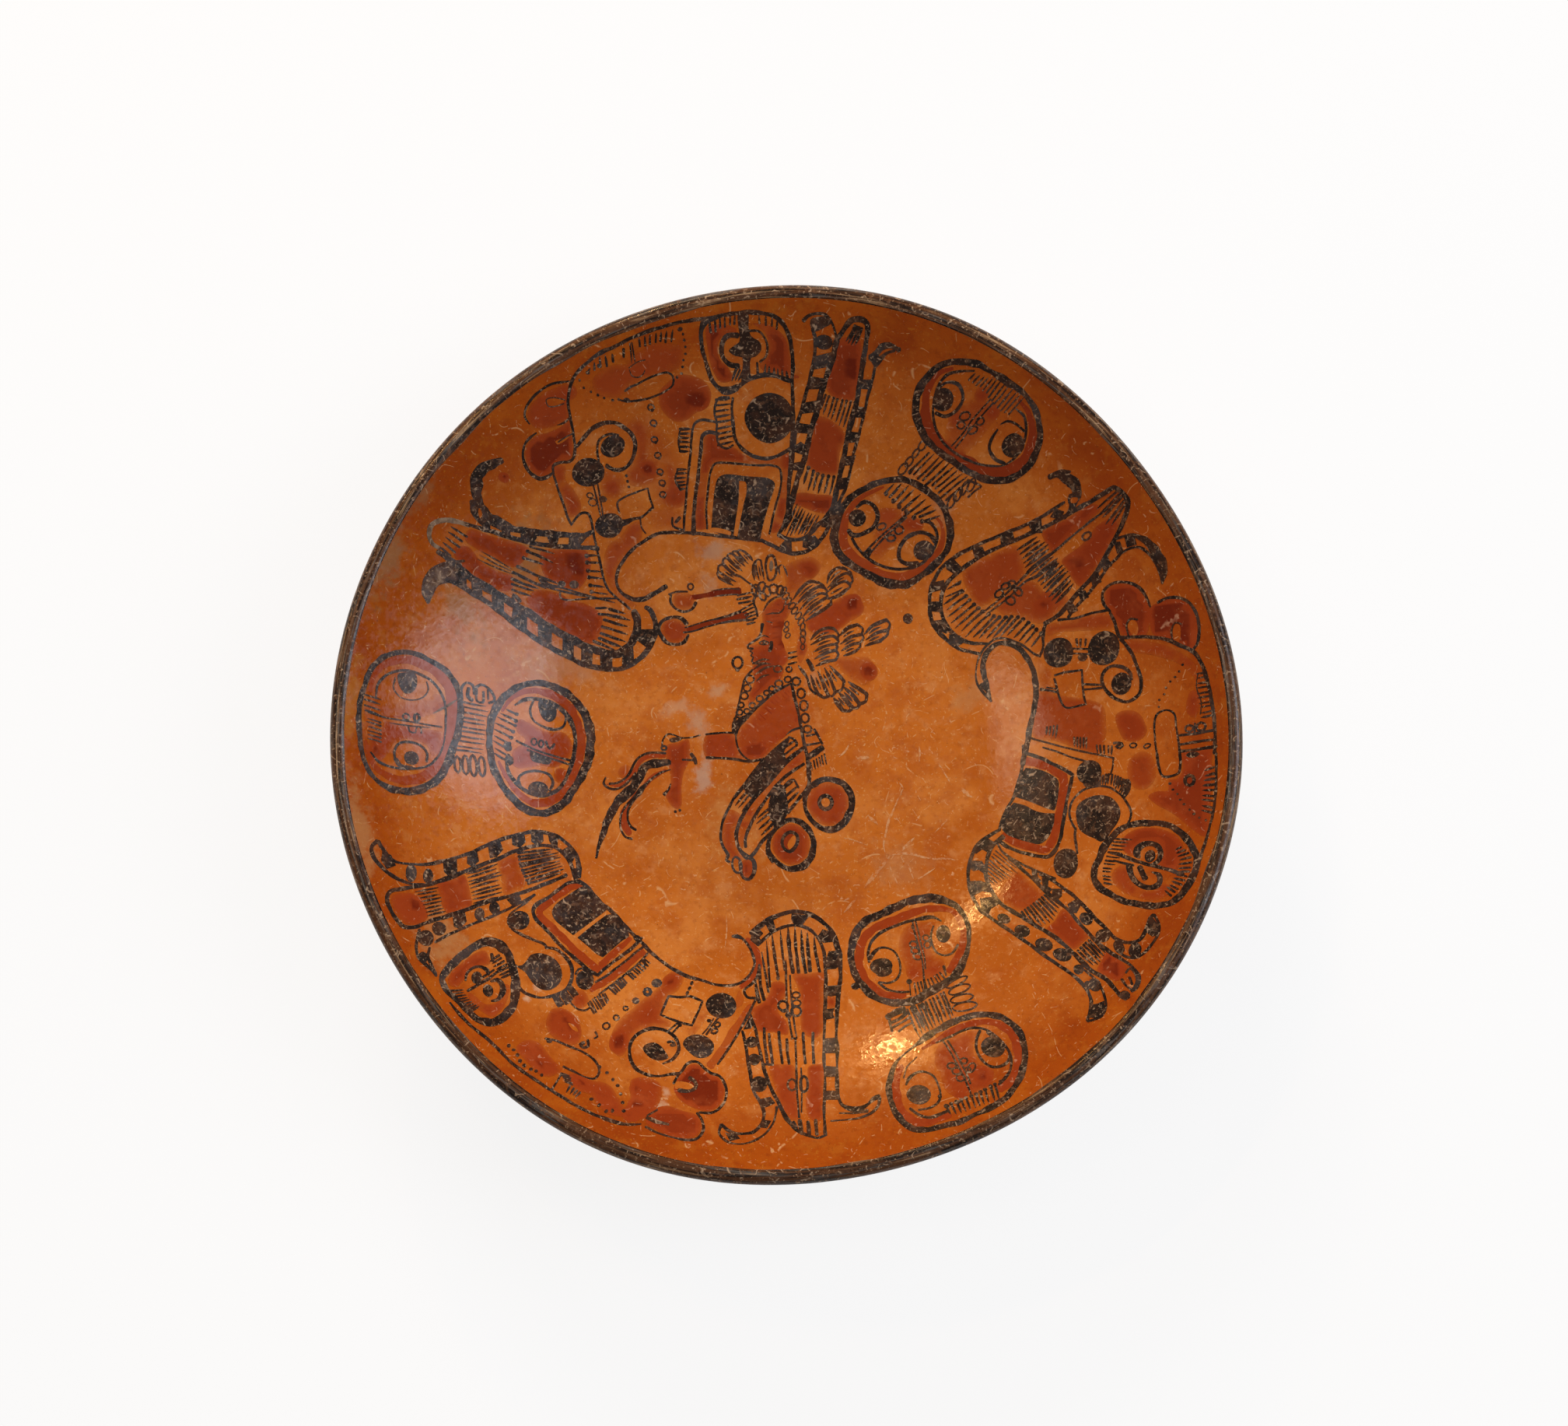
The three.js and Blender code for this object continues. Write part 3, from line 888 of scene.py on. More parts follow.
    # eyes, the bar between them and the tilted box
    line(black, "-77.8,109.1,1 -75.1,112.3 -71.9,115.5 -68.7,117.4 -63.9,118.2 -59.7,116.6,1.6 "
                "-56.7,113.4,1.6 -56.2,110.2 -57.3,106.5 -59.7,103.3,1.2 -63.4,102.2 -66.9,103.5", 1.4)
    line(black, "-69.5,103.8 -70.2,108.1 -69.8,111.3 -67.7,113.4 -64.5,114.4 -62.3,114.2", 0.8)
    disc(black, -64.5, 110.2, 4.7, 3.5, 30)
    disc(black, -73.6, 100.7, 6.2, 4.9, 20)
    disc(black, -66.2, 82.7, 5.3, 4.3, 20)
    line(black, "-62.6,83.6,3.6 -60.8,84,2.4 -57,85.6,1.1 -54,86.4,0.9 -49.8,90", 1)
    line(black, "-72,96.6 -70.6,91.4 -69.4,86", 0.6, tone=0.8)
    line(black, "-70.3,96.8 -69.2,91 -68.5,86", 0.6, tone=0.8)
    ring(black, -72.2, 90.4, 1.5, 1.3, width=0.5, tone=0.6)
    ring(black, -73.2, 92.8, 1.2, 0.9, width=0.5, tone=0.6)
    disc(black, -68.4, 91.8, 1.5, 1.2, tone=0.35)
    line(black, "-62.4,87.4 -63.1,90.8 -60.7,92.9 -55.9,95 -51.7,96.6 -51.7,96.6 -50.9,93.1 -49.8,90.2", 0.7)
    line(black, "-54.6,86.2 -54.2,82.6 -52.6,80.6", 0.6, tone=0.6)
    dots(black, "-59.7,100.3 -59.4,99 -58.6,96.9", 3, 0.6)
    for x, y, tone in ((-50.1, 124.1, 0.8), (-49.3, 119, 0.7), (-49, 113.4, 0.9), (-47.8, 108.1, 1),
                       (-47.1, 102.5, 1), (-46.3, 98.7, 0.5), (-46.1, 94.7, 1)):
        ring(black, x, y, 1.2, 1.0, width=0.65, tone=tone)
        disc(black, x + 0.4, y - 0.9, 0.6, tone=tone)
    # mouth with its dotted lips and hanging strokes
    line(black, "-59.7,128.9 -57.5,130.4 -54.9,131.5 -49.5,134.2 -43.7,135.8 -41.8,134.7 -41.8,132.1 "
                "-45.3,129.4 -51.1,127 -55.9,125.9 -59.1,125.5 -61.5,125.9", 0.7)
    line(black, "-57.8,135.8 -57,134 -54.6,133.6 -52.8,134.8 -52.2,136", 0.4, tone=0.6)
    line(black, "-58,136.4 -54.8,138.6 -52,139.4", 0.4, tone=0.5)
    disc(black, -59, 125.9, 1.3, 0.8)
    dots(black, "-75.9,131.3 -74.9,129.4 -72.6,127.7 -69.9,126.7 -67,125.8 -61.8,125.9", 7, 0.5)
    dots(black, "-37.9,148.3 -37.2,145.9 -37.1,144 -37.6,140.1 -38.2,137.7 -38.5,135.8 -40.2,134.5", 8, 0.5)
    disc(black, -38.9, 149.8, 1.0, 0.7, 20)
    comb(black, "-72.2,135.3 -69.4,138.5 -66.9,139.8 -64,140.6",
                "-73.2,133.9 -71,134.5 -68.7,136.1 -65.8,136.3 -63.7,137.9", 5, 0.8, "start")
    dots(black, "-73.2,134 -68.8,136.3", 2, 0.8)
    line(black, "-59.8,142.4 -59.8,139.8", 0.9)
    comb(black, "-57.5,144.3 -56.7,144.6", "-56.9,137.6 -55.4,137.9", 2, 0.6)
    comb(black, "-54.1,146.2 -48,148.1 -41.6,149.5", "-53.8,143.3 -48.2,145.1 -42.3,145.7", 7, 0.75, "start")
    # washes round the eyes and mouth
    fill(red, "-71.4,131.5 -67.7,135.3 -63.4,137.1 -58.1,137.9 -54.9,141.1 -49.5,144.3 -43.7,145.1 "
              "-38.9,144.3 -37.8,141.1 -39.4,137.4 -43.7,136.3 -49.5,134.6 -55.4,131.9 -59.3,129.3 "
              "-61.3,126.9 -66.6,126.4 -70.3,127.5", tone=0.6, fade=2.4)
    fill(red, "-56,136.6 -50,137 -44,138.4 -41.4,136.6 -46,135.6 -52,134 -56,134", tone=0.75, fade=1.4)
    fill(red, "-59.1,117.7 -54.9,119.8 -51.7,117.7 -51.1,112.3 -51.1,107 -46.9,102.7 -49,98.5 -53.8,96.9 "
              "-58.1,97.4 -59.7,101.1 -57,105.4 -55.7,109.7 -56.7,113.9", tone=0.6, fade=2)
    fill(red, "-57.9,119.3 -52.2,121.8 -44.9,115.6 -37.6,105.3 -36.5,94.6 -43.5,88.9 -50.1,92.5 -55.8,99.9 "
              "-58.1,108.9", tone=0.34, fade=4)
    disc(red, -51.6, 103.4, 3.4, 3, tone=1, fade=2)
    fill(red, "-67.7,101.7 -62.3,101.7 -60,97.4 -61.5,93.5 -65,92.3 -68.2,93.5 -69,97.4", tone=0.45, fade=2)
    disc(red, -65, 96.2, 2.8, 2.8, tone=0.85, fade=2)
    fill(red, "-45.3,105.4 -42.1,104.9 -40.4,99 -37.5,96.9 -37.5,92.1 -41,90 -45.3,91 -47,94 -44.4,99",
              tone=0.7, fade=2)
    fill(red, "-51.7,86.2 -47.4,90.5 -42.1,90.8 -39,88.3 -41,83 -46.3,82.3 -50.1,83.3", tone=0.35, fade=2.4)
    fill(red, "-46.9,129.4 -43.7,132.6 -39.9,135.3 -35.7,135.3 -30.3,133.7 -27.7,129.9 -28.7,125.7 -33.5,123 "
              "-37.3,120.3 -41,119.8 -44.7,121.9 -46.9,125.1", tone=0.85, fade=2.6)
    fill(red, "-38,129 -33,130.4 -28.4,129 -28.6,125.6 -32.6,123.4 -37,125", tone=1, fade=1.6)
    fill(red, "-64,66 -62,70 -58,74.6 -54.4,78.4 -54.4,84.6 -58.4,83.6 -62,79 -66.6,75.4 -68.4,69 -66.8,62 "
              "-63.6,57.6 -59,53.8 -56,54 -60.6,57.4 -63.6,61.6", tone=0.6, fade=1.5)
    disc(red, -104.3, 96, 2.0, 1.8, tone=1, fade=0.8)
    # the curved cheek line that ends in a fang
    line(black, "-30,81 -36,81.4 -42,81.4 -47.6,80.8 -53,78 -58,74.2 -61.4,69.8 -63.6,65 -63.4,61 -61,58 "
                "-57,56.4,1.8 -53,56.8,1.9 -49,59,1.9 -45,61.6,1.6", 1.2)


def topBoxAndSecondJaw(black, red):
    # round face under the lip
    line(black, "-18,131.8,2.4 -22,130.6,2.8 -25.5,132 -28,135.5 -29.5,139.5 -30.8,144 -31.2,149 "
                "-29.8,152.4,2.2 -24,154.5,1.4 -18,155.5,1.2 -12,155.9 -6,155.3,1.3 -2,153.5,1.5 0.5,150.5 "
                "2.2,146 2.8,140 2.6,134,1.2 3,125 2.8,118 2.2,110 1.8,104 1.3,97", 1.5)
    line(black, "-18,131.8 -14,134.4 -8,136 -3,135.8 1,134.4 2.4,134.2", 1.5)
    fill(black, "-17.4,155.2 -13.8,155.4 -13.6,151 -12.6,148.4 -9.4,146.6 -8.9,144.2 -11,142 -12.8,141.4 "
                "-13,136.6 -12.6,134.6 -16.2,134.2 -15.8,138.6 -16,141.6 -18.4,142 -21,143.6 -18.8,145.4 "
                "-17,146.6 -17.2,150.4", tone=0.8)
    line(black, "-17.6,148.6 -21.2,148.4 -23.5,145.6 -23.3,141.8 -21,139.4 -17.4,138.6", 1.7)
    line(black, "-13.4,150 -10,150.1 -7.6,148 -6.6,145 -7.2,142 -9.4,140.4", 0.8, tone=0.8)
    line(black, "-10.4,140 -10.2,135.8", 0.8)
    comb(black, "-28,153.2 -23,154.4 -18.6,155", "-27.6,149 -22.6,151 -18.8,152", 6, 0.8, "start")
    comb(black, "-9.8,155 -6,154.8 -3,153.4", "-9.6,152.6 -5.6,151.6 -3.2,150.8", 4, 0.7, "start", bead=0)
    comb(black, "-18.2,138 -14.4,137", "-20,133.8 -16.4,134", 4, 0.8)
    comb(black, "-7.8,136 1,134.6", "-7.4,139.6 0.4,137.6", 6, 0.8)
    fill(red, "-29,151 -18,150.6 -18,149.4 -22,149 -24.8,146 -24.4,141 -21,138 -19.5,134.5 -24,133.4 -27,137 "
              "-28.6,143", tone=0.95, fade=1)
    fill(red, "-12,152.4 -5,151.6 0,148 1.8,142 1.8,135.4 -2,136.8 -8,137.2 -9.6,139.6 -6.5,142 -6,146 "
              "-8,150", tone=0.9, fade=1.2)
    line(red, "2.6,135.6,1.4 5,135.4,0.8", 1.2, tone=0.6)
    # black disc in its ring, and the looped fringe beside it
    disc(black, -6, 122, 9.1, 8.6)
    line(black, "2.6,112 0,110.4 -5,108.5 -10,108.4 -15,110.5 -18.4,114 -19.6,120 -20,125,0.9 "
                "-19.6,128.4,0.9", 1.3)
    comb(black, "-26,127.6 -26.2,122 -25.4,112.4", "-20.4,128.2 -20.4,122 -19,114", 9, 0.8, "end")
    line(black, "-21,128.6 -24.6,128.2 -26.2,126 -26.4,122.6 -25.6,120 -25.8,116 -24.8,112.6 -22,111.4 "
                "-19.6,112.6", 0.8)
    # nested frames of the box
    line(black, "-26.4,120.3 -31,120.8 -34,119.5 -35,116 -35.5,110 -36.3,104 -37,98 -37.5,92 -38.2,86 "
                "-38.3,82", 0.9)
    line(black, "-25,116.2 -28.5,116.8 -31,115.5 -31.6,112 -32.3,106 -33,100 -34,94 -34.5,88,1.5 "
                "-34.7,81,1.7", 1.3)
    line(black, "-29.5,83 -29.8,90 -29,98 -28,103.5 -26.5,106 -22,106.5 -12,105.8 -5,105.8 -2.3,105 "
                "-1.5,102.5 -2,97 -3.5,92 -5,86 -6,81.5", 0.8)
    fill(black, "-28,82.4 -28,82.4 -27.4,90 -26.6,97 -25.4,101 -23,102.4 -14,101.9 -6,101.2 -3.9,99.5 "
                "-4.6,96.5 -6.5,91 -8.3,85 -9.6,79 -9.6,79 -16,79.2 -21,79.8 -21,79.8")
    fill(black, "-17.4,100.3 -15,100 -14.5,97 -15.7,92 -17,86 -18.1,80.4 -18.1,80.4 -19.6,80.8 -19.6,80.8 "
                "-18.8,86 -17.7,93", "gap")
    fill(black, "-28.2,82.2 -28.2,82.2 -20.6,80.8 -20.6,80.8 -20.4,82 -28,83.4", "gap")
    line(black, "-45,81.3 -38,81.3 -30,81 -20.5,80 -9,79", 1.1, tone=0.8)
    comb(black, "-39.6,117.4 -40,113 -39.6,110", "-35.4,117.6 -35.8,113.4 -36.2,110", 6, 0.9)
    line(black, "-39.4,117.2 -40,113.4 -39.6,110", 0.7)
    comb(black, "-40.6,103.6 -41.4,100 -39.6,96.6", "-36.8,103.8 -37.2,100 -37.4,97", 6, 1.0)
    line(black, "-40.4,103.6 -41.4,100 -39.4,96.4", 0.8)
    line(black, "-42.6,86.6 -42.4,83.6 -39,82.4", 0.9)
    line(black, "-41.4,85 -39.8,86.8", 1.2)
    fill(red, "-29.8,115.7 -26,115.7 -24,112 -19.5,111.8 -16,109.7 -10,107.6 -2,109 1.6,110 1.4,100 0.6,92 "
              "-1.5,84 -3,82 -5.4,82 -3.8,88 -2,95 -0.9,102 -1.5,105 -4,106.2 -12,106.4 -22,107 -26.4,106.6 "
              "-28.8,103.6 -29.8,98 -30.5,90 -30.2,83 -34,83 -33.8,90 -32.4,100 -31,108", tone=0.85,
              fade=0.7)
    # second jaw: rails, blocks, curls
    line(black, "10.2,150.6 11.2,147.5 11,143 9.5,136 7.5,129 5.5,123 4.2,118.5 3.5,114 2.6,107,1.5 1.7,101 "
                "1.3,96 0.8,90 -0.5,84.6 -2.6,81.2", 1.3)
    line(black, "19.2,147 17.5,141 15.5,135.5 13.5,130 11.5,123 9.5,117 8,111 6,104.5 4.5,100.5 3,95 1.2,89 "
                "-0.2,84.4", 2.1)
    line(black, "19,147.4,1.8 20.8,149 22.6,151.4 25,153.3 28,153.3 30.4,151.8 30.6,149 30,146 29,140 28,134 "
                "27,128 25.5,122 24,117 22.8,112 21.5,106 20.3,100.5 19,95,2.2 18,90.4,2.4 15,86.6 12,84.4",
                1.9)
    line(black, "33.6,138.6 32.5,134 31,129 30,124.5 28.5,119 27,113.5 25.5,108.5 24.5,103.5 23.3,99 "
                "21.4,94.6 20,92", 1.1)
    line(black, "-2.6,81.2 0,79.9 4,79.4 8,80.3 10.5,82.6 13,85.4", 1.5)
    line(black, "-9,79.2 -5,77.2 -1,75.3 3,74.3 7,74.8 11,76.6 14,80 16.6,84.2 18.6,88.4", 1.5)
    line(black, "6.8,153.4,1.6 8.4,154.8,1.1 12,155.6 15,155 17,153 18.6,149.6 19.2,146.6", 0.9)
    fill(black, "9.4,153.6 13,154.6 16.8,154.2 17,152.4 14.2,151 11.8,150 10,150.2", tone=0.6)
    disc(black, 14.4, 146.5, 3.3, 2.4, -8, tone=0.85)
    blackBlocks(black, "11.6,142.2 17.6,143.4 16,138.6 10.6,137.8",
                       "9.8,135.6 15.4,134.8 13.6,131.4 8.8,131.4", "6.8,127 12.4,127.8 10.8,123.8 5.6,123.2",
                       "4.6,120.4 9.8,119.6 9,116.6 4,117", "3.4,112.4 5.8,114 8.4,112.2 7.2,109.2 3,110.6",
                       "2.6,106.6 6.2,107.2 5.2,104 2.2,104.2")
    line(black, "32.4,140.8,3.4 34,142.6,2.6 36,144.3,2.2 38.8,144.7,1.8 41,143.8,1.2 42.4,143.2,1.8", 2)
    line(black, "33.4,139.4,3 35.6,140.8,2 38,142.4,0.9 40.6,143", 1, tone=0.8)
    blackBlocks(black, "28.8,134.2 32.8,134 31.6,130.8 28,131.2", "25.8,125.4 30.6,125 29.4,121.6 25.2,121.8",
                       "23.6,117.2 28.2,116.6 26.8,113.4 23.2,113.2",
                       "21.8,108.6 26.6,109 25.6,105.6 21.2,105.4", "20,101 24.6,101.6 23,97.4 19.6,97",
                       "18.6,92.8 21.4,93 19.4,89.4 17.2,89.6", "0,79.4 2.4,79 2.6,74.8 -0.4,75.4 -2.2,77",
                       "6.8,80 11.2,81 12.8,79 9.4,75.8 6.6,76.6", "14.2,86.4 17,87.2 15.8,83.6 13.6,84")
    # hatching and washes of the second jaw
    comb(black, "25.8,151.6 28.4,150.6", "22.2,146.2 25.8,145", 4, 0.9, "end", bow=0.03)
    comb(black, "15,129.4 20,127.8 26.2,126.8", "13,124.2 17,121.4 23,116.8", 8, 0.75, "end", bead=0.6)
    comb(black, "8.8,105 12.6,102.6 18.4,101.6", "6.8,98.8 11,96 16.8,95.4", 6, 0.9, "end", bead=0.8)
    comb(black, "4.6,92.4 8,89.6 12.8,88", "-0.8,81.4 3.4,80.6 8.6,81.2", 8, 0.9, "both")
    fill(red, "19,146.6 24,148 27.6,147 28.4,142 27.2,133 26,127.6 22,127.6 17,129.4 15,133 17,140",
              tone=0.85, fade=1.2)
    fill(red, "11,122.4 16,121.6 22.6,116 20.6,110 19.5,102.6 15,102.2 9,104.4 7.6,107 9,114 10,119",
              tone=0.75, fade=1.2)
    fill(red, "4.4,96 12,95.6 18,94.6 16.8,89 11,89.5 7,91 3,92.6", tone=0.9, fade=1)
    fill(red, "22,142 27,142 27.4,134 25.4,132.4 22,135", tone=1, fade=1.6)


# Pair of round faces joined by a fringe, upper right

def upperFacePair(black, red):
    line(black, "58,137.4,2.2 64,138,1.9 70,137 76,133.8,1.6 82,130 88,125.5,1.7 92.5,119.5,2 94.3,112,2.2 "
                "93.3,106,2.5 90.3,101 86,98.2,2.7 80,97.2 74,98.5,2.5 68,101.7,2.3 62,105.7,2.3 "
                "56,110.2,2.4 51.7,115,2.6 49.1,121,2.8 49,127,3 52,133,2.8", 2.5, closed=True)
    line(red, "62,136 57,134.6 53.2,130 52.2,124 53.6,117.5 57,112.5 62,108.2 68,104.3 74,101 80,99.9 "
              "86,101.2 90.3,106 91.6,113 90,119 86.5,123.4", 4.4, "both", tone=0.85)
    line(black, "70,134.6,0.6 65,134.8 60,134,1 56.8,130.5 55.3,125 55.6,119 57.3,114.5 60,110.9 65,107.1 "
                "71,104 77,102.5,0.8 81.5,102.4,0.6 85.6,104.6 88.4,108.6,0.9 89.3,113 88.4,118 "
                "85.5,120.8,0.5", 0.9)
    line(black, "56.4,129.6 60,131.6,0.9 64,130.8 65.9,128 65.8,125 63.5,122 60,120.5 56.2,121.8", 1.2)
    disc(black, 58.8, 126, 3.9, 3.9)
    line(black, "79,114.6,0.6 76.8,111.5 76.2,108.5 78,105 81.8,102.8", 1.2)
    line(black, "80,116.2,0.4 82.5,117 86,115.5 88.8,113", 0.8)
    disc(black, 84.8, 108.7, 4.1, 4.0)
    line(black, "76.2,124.8 70,119 66.5,114.6 62.3,110.4", 0.6)
    line(black, "77.2,123.6 72,118.6 68,114.3 63.6,109.6", 0.6)
    for x, y, across, tall, turn in ((67, 120, 2.0, 1.4, 10), (65.6, 117.2, 1.5, 1.3, 0),
                                     (69.9, 115.2, 1.8, 1.2, 20), (72.6, 117.9, 1.5, 1.3, 0)):
        ring(black, x, y, across, tall, turn, 0.7, tone=0.8)
    comb(black, "70.4,133.8 75,131.9 80,131.3 84.4,127.8 88.2,124.2",
                "68.2,131.8 72,129 75,125.6 79.4,121.4 82.4,118.8", 13, 0.6, "start", tone=0.9)
    fill(red, "71,129 75,128 74.6,124 78,122.8 79.2,119.5 76,115.6 71,110 66,106.8 62.5,108.2 60,112 "
              "60.5,118 63,121 67,124 70.5,126", tone=0.45, fade=2.4)
    disc(red, 72.8, 126.4, 2.6, 2.4, tone=0.8, fade=1.8)
    disc(red, 77, 120.4, 2.8, 2.6, tone=0.8, fade=1.8)
    disc(red, 63.6, 119.4, 2.8, 3, tone=0.7, fade=1.8)
    # fringe
    comb(black, "54,108.8 58.6,107 62.6,104 66,101 70,98.6", "47.2,102.8 50.6,99.4 55,97 57.8,94.6 60.2,91.8",
                10, 0.8, "start")
    line(black, "46.8,102.2,1.8 48.4,104 54,108.6", 0.8)
    for x, y, across, tall in ((51.4, 111.2, 1.9, 1.2), (49, 108.7, 1.8, 0.9), (46.6, 106, 2.0, 1.1),
                               (44.3, 103.6, 2.4, 1.3)):
        ring(black, x, y, across, tall, 52, 0.7, tone=0.55)
    for x, y, across, tall in ((69.8, 96.6, 2.6, 1.1), (67.2, 95.6, 2.9, 1.0), (64.9, 93.6, 2.9, 1.1),
                               (62.6, 91.4, 2.7, 1.2)):
        ring(black, x, y, across, tall, 62, 0.7, tone=0.6)
    line(black, "68.4,98.4 71.4,97 73.4,95.8 71,94.4 68.6,92.4", 0.8, tone=0.7)
    # inner face
    line(black, "40,100 46,99.5,2.3 52,96.5,2.5 57.5,92 61,86.5,2.6 62.3,80,2.8 61,74.5 57,69.5,3 51.5,65.3 "
                "45,62.2,3.4 38,63,3.4 31,66.5,3 24,70.5,2.8 19.6,75.5,3.2 18.6,82,3.4 20,88,3.2 24,93.5,2.6 "
                "31,97.8,2.2", 2.2, closed=True)
    line(red, "37,97.6 29.5,94.6 24,89.5 22,83 22.6,77.5 26,72.8 32,68.7 39,65.4 46,65.2 52,68 57,72.7 "
              "59.4,78 59,83 56.6,86.4", 3.4, "both", tone=0.65)
    line(black, "25.3,79.6 27.5,76 31,72.5 36,69.5 42,68 47,68.2 52,70 55.5,74 57.3,78 56.8,81.5 54.5,84.4 "
                "52.6,84.9", 1.1)
    line(black, "27,90.8,1 30,92.6 33.5,91 35,87.6 33.5,83.6 29.5,81.3 25.2,81,2 24,82.6", 1.6)
    disc(black, 27.2, 87, 3.4, 3.1)
    line(black, "50,69.6,2 46,69.8,1.8 43.2,71.8 43.2,75.4 46,79.4 50,81 54,80.2 56.8,77.6,2", 1.5)
    disc(black, 52.3, 74.4, 4.0, 3.6)
    line(black, "46.6,88.2 40,83.2 34,78.2 30,74.2", 0.8)
    line(black, "45.8,86.6 41,82.6 35.4,77.6 31.6,73.4", 0.8)
    line(black, "32,75.4,1.6 31.4,73 30,74.4", 1.4)
    ring(black, 43, 82.2, 1.7, 1.5, width=0.8)
    ring(black, 40, 79.4, 1.7, 1.2, width=0.9)
    ring(black, 36.4, 83.6, 1.8, 1.1, 20, width=0.8, tone=0.5)
    comb(black, "41,98.6 45.6,98.2 49.6,95.6 53.6,92 56.6,89 58.4,86.6",
                "37.6,95.4 40.8,92.4 44.2,89.6 47,87.4 50,86.6 51.8,84.8", 9, 0.9, "start")
    dots(black, "37.8,95.2 40.8,92.6 44,89.6 46.4,87.6 51.6,85", 6, 0.95)
    fill(red, "36,90 44,89.4 47,87.6 52,84 50,81.6 45,79.2 41,76.5 35,71.6 31.6,73.4 33,78 34,81.6 36,84 "
              "35.4,87.4", tone=0.5, fade=2)
    fill(red, "44.8,86.4 52,85 51.6,82 47,81.6 44.4,83.6", tone=0.8, fade=1.6)
    fill(red, "35.6,89.6 42.6,89.4 41.6,86.4 38,84.8 36,85.4", tone=0.8, fade=1.6)


# Dancing figure in the level middle, with feathers, rattles and two rosettes

def dancer(black, red):
    # rattles and their sticks
    line(black, "-44,58.6 -41,59.6 -37,59.7", 0.8, tone=0.7)
    line(black, "-43.2,58.4,0.8 -43.4,56 -41.5,53.2 -38.5,52.1 -35.4,53 -33.8,55.6,1.3", 1.0, tone=0.85)
    ring(black, -35.8, 61.6, 1.1, 1.2, width=0.7, tone=0.5)
    line(red, "-35.6,57.6,1.8 -30,58.4,1.8 -24,59.6,2.4 -17.4,60.2,2.6", 2.2, tone=1)
    line(black, "-28,60.2 -22,61 -17.4,60.8", 0.6, "start", tone=0.5)
    line(black, "-27,58 -22,58.6 -18,58.8", 0.6, "start", tone=0.4)
    fill(red, "-42.8,56 -41,59.2 -37,59.4 -34.6,57.4 -34.4,55 -36,53 -39,52.4 -41.6,53.6", tone=0.6, fade=1.2)
    line(black, "-37.3,47.4,1.7 -38.9,49.3,1.5 -43,50,1.2 -46.5,48.5 -47.9,45.8,1.5 -46.6,42.4 -44.5,40.2 "
                "-41,39.5,1.1 -38,40.5 -36.6,43.2,1", 1.4)
    fill(red, "-46.8,46 -45,49 -42,49.6 -39.4,48.4 -37.4,46.4 -37.2,43.4 -38.6,41 -41.4,40 -44.6,41 "
              "-46.6,43.6", tone=0.75, fade=1)
    line(black, "-37.8,46 -30,48.4 -22,50.4,1 -17,52.2,1.4", 0.6)
    line(black, "-38.4,44.2 -35,44.6 -30,46.2 -24,47.8 -18,48.8,1.1 -12,48.9,0.6", 0.7)
    line(red, "-37.4,45.2 -30,47.2 -24,49 -18,50.2,2.6 -14.6,50.8,2.6", 2, tone=0.9)
    # feathers of the headdress, left and top
    plumes(black, "-19.6,62.2 -22.4,63.6 -25,65.1", "-18.6,63.6 -22,65.4 -25.4,67.5",
                  "-17.5,65.4 -20.6,67.4 -23.6,70.2", "-16.2,67.6 -19.2,70 -22,72.7",
                  "-15.1,69.4 -17.6,71.8 -20.1,74.2", "-13.9,70.3 -16.2,72.6 -18.2,74.9",
                  "-12.3,71.5 -13.6,73.2 -15.2,74.8", width=1.1, tone=0.48)
    line(black, "-20.4,66.6 -17.6,66 -15.4,64.4 -13.2,62.8 -11.6,61.8", 0.8, tone=0.6)
    plumes(black, "-11.6,64.2 -12.2,67.2 -12,70", "-9.8,64.3 -10.8,68 -11.2,71.4",
                  "-7.9,64.2 -8.6,68 -9.2,71.7", width=0.9, tone=0.6)
    line(black, "-6.8,66.4,0.7 -7.4,70 -6.4,73.2 -4.8,73.6 -3.6,71 -3.4,67.4 -4.6,64.6,0.8 -6.2,64.2", 1.0,
                closed=True, tone=0.7)
    line(black, "-5.2,71.6 -5.4,67.6", 1.6, "both", tone=0.2)
    line(black, "-2,66.3,0.7 -2.4,69.4 -1.2,70.2", 0.8, "both", tone=0.5)
    line(black, "0.9,65.6,0.6 0.2,68 -0.8,69.9", 0.8, "both", tone=0.4)
    # hand and wrist ties
    comb(black, "-18,58.4 -18.2,56.6 -17.6,55.4", "-12,59.8 -12.2,58.2 -12.4,56.4", 3, 0.9)
    comb(black, "-16.8,52.8 -15,50.4 -14.4,47.4", "-11.2,56 -10.4,52.4 -10.8,48.2", 6, 0.7)
    line(black, "-12.4,61.8 -11,61 -11.2,58.6 -12,56 -11,53 -10.4,50.4", 0.9, tone=0.8)
    for x, y, across, tall, turn in ((-11, 60.4, 1.5, 2.3, 8), (-9, 61.6, 1.3, 2.2, -20),
                                     (-6.9, 60, 1.2, 2.1, 12), (-4.4, 61, 1.6, 1.8, 0),
                                     (-2, 60.4, 1.3, 1.8, -14), (-8.4, 58, 1.1, 1.6, 20)):
        ring(black, x, y, across, tall, turn, width=0.85, tone=0.62)
    line(black, "-8.2,52.4 -6.6,55.4 -3.8,57.6 -1,58.4", 0.8, "start", tone=0.6)  # hair
    line(black, "-7.4,51 -4.6,51.6 -2.4,51.6 -0.6,53.2 -0.4,55.4", 0.7, "both", tone=0.5)
    line(black, "-7.2,48.6 -4.6,47.8", 0.6, "both", tone=0.5)
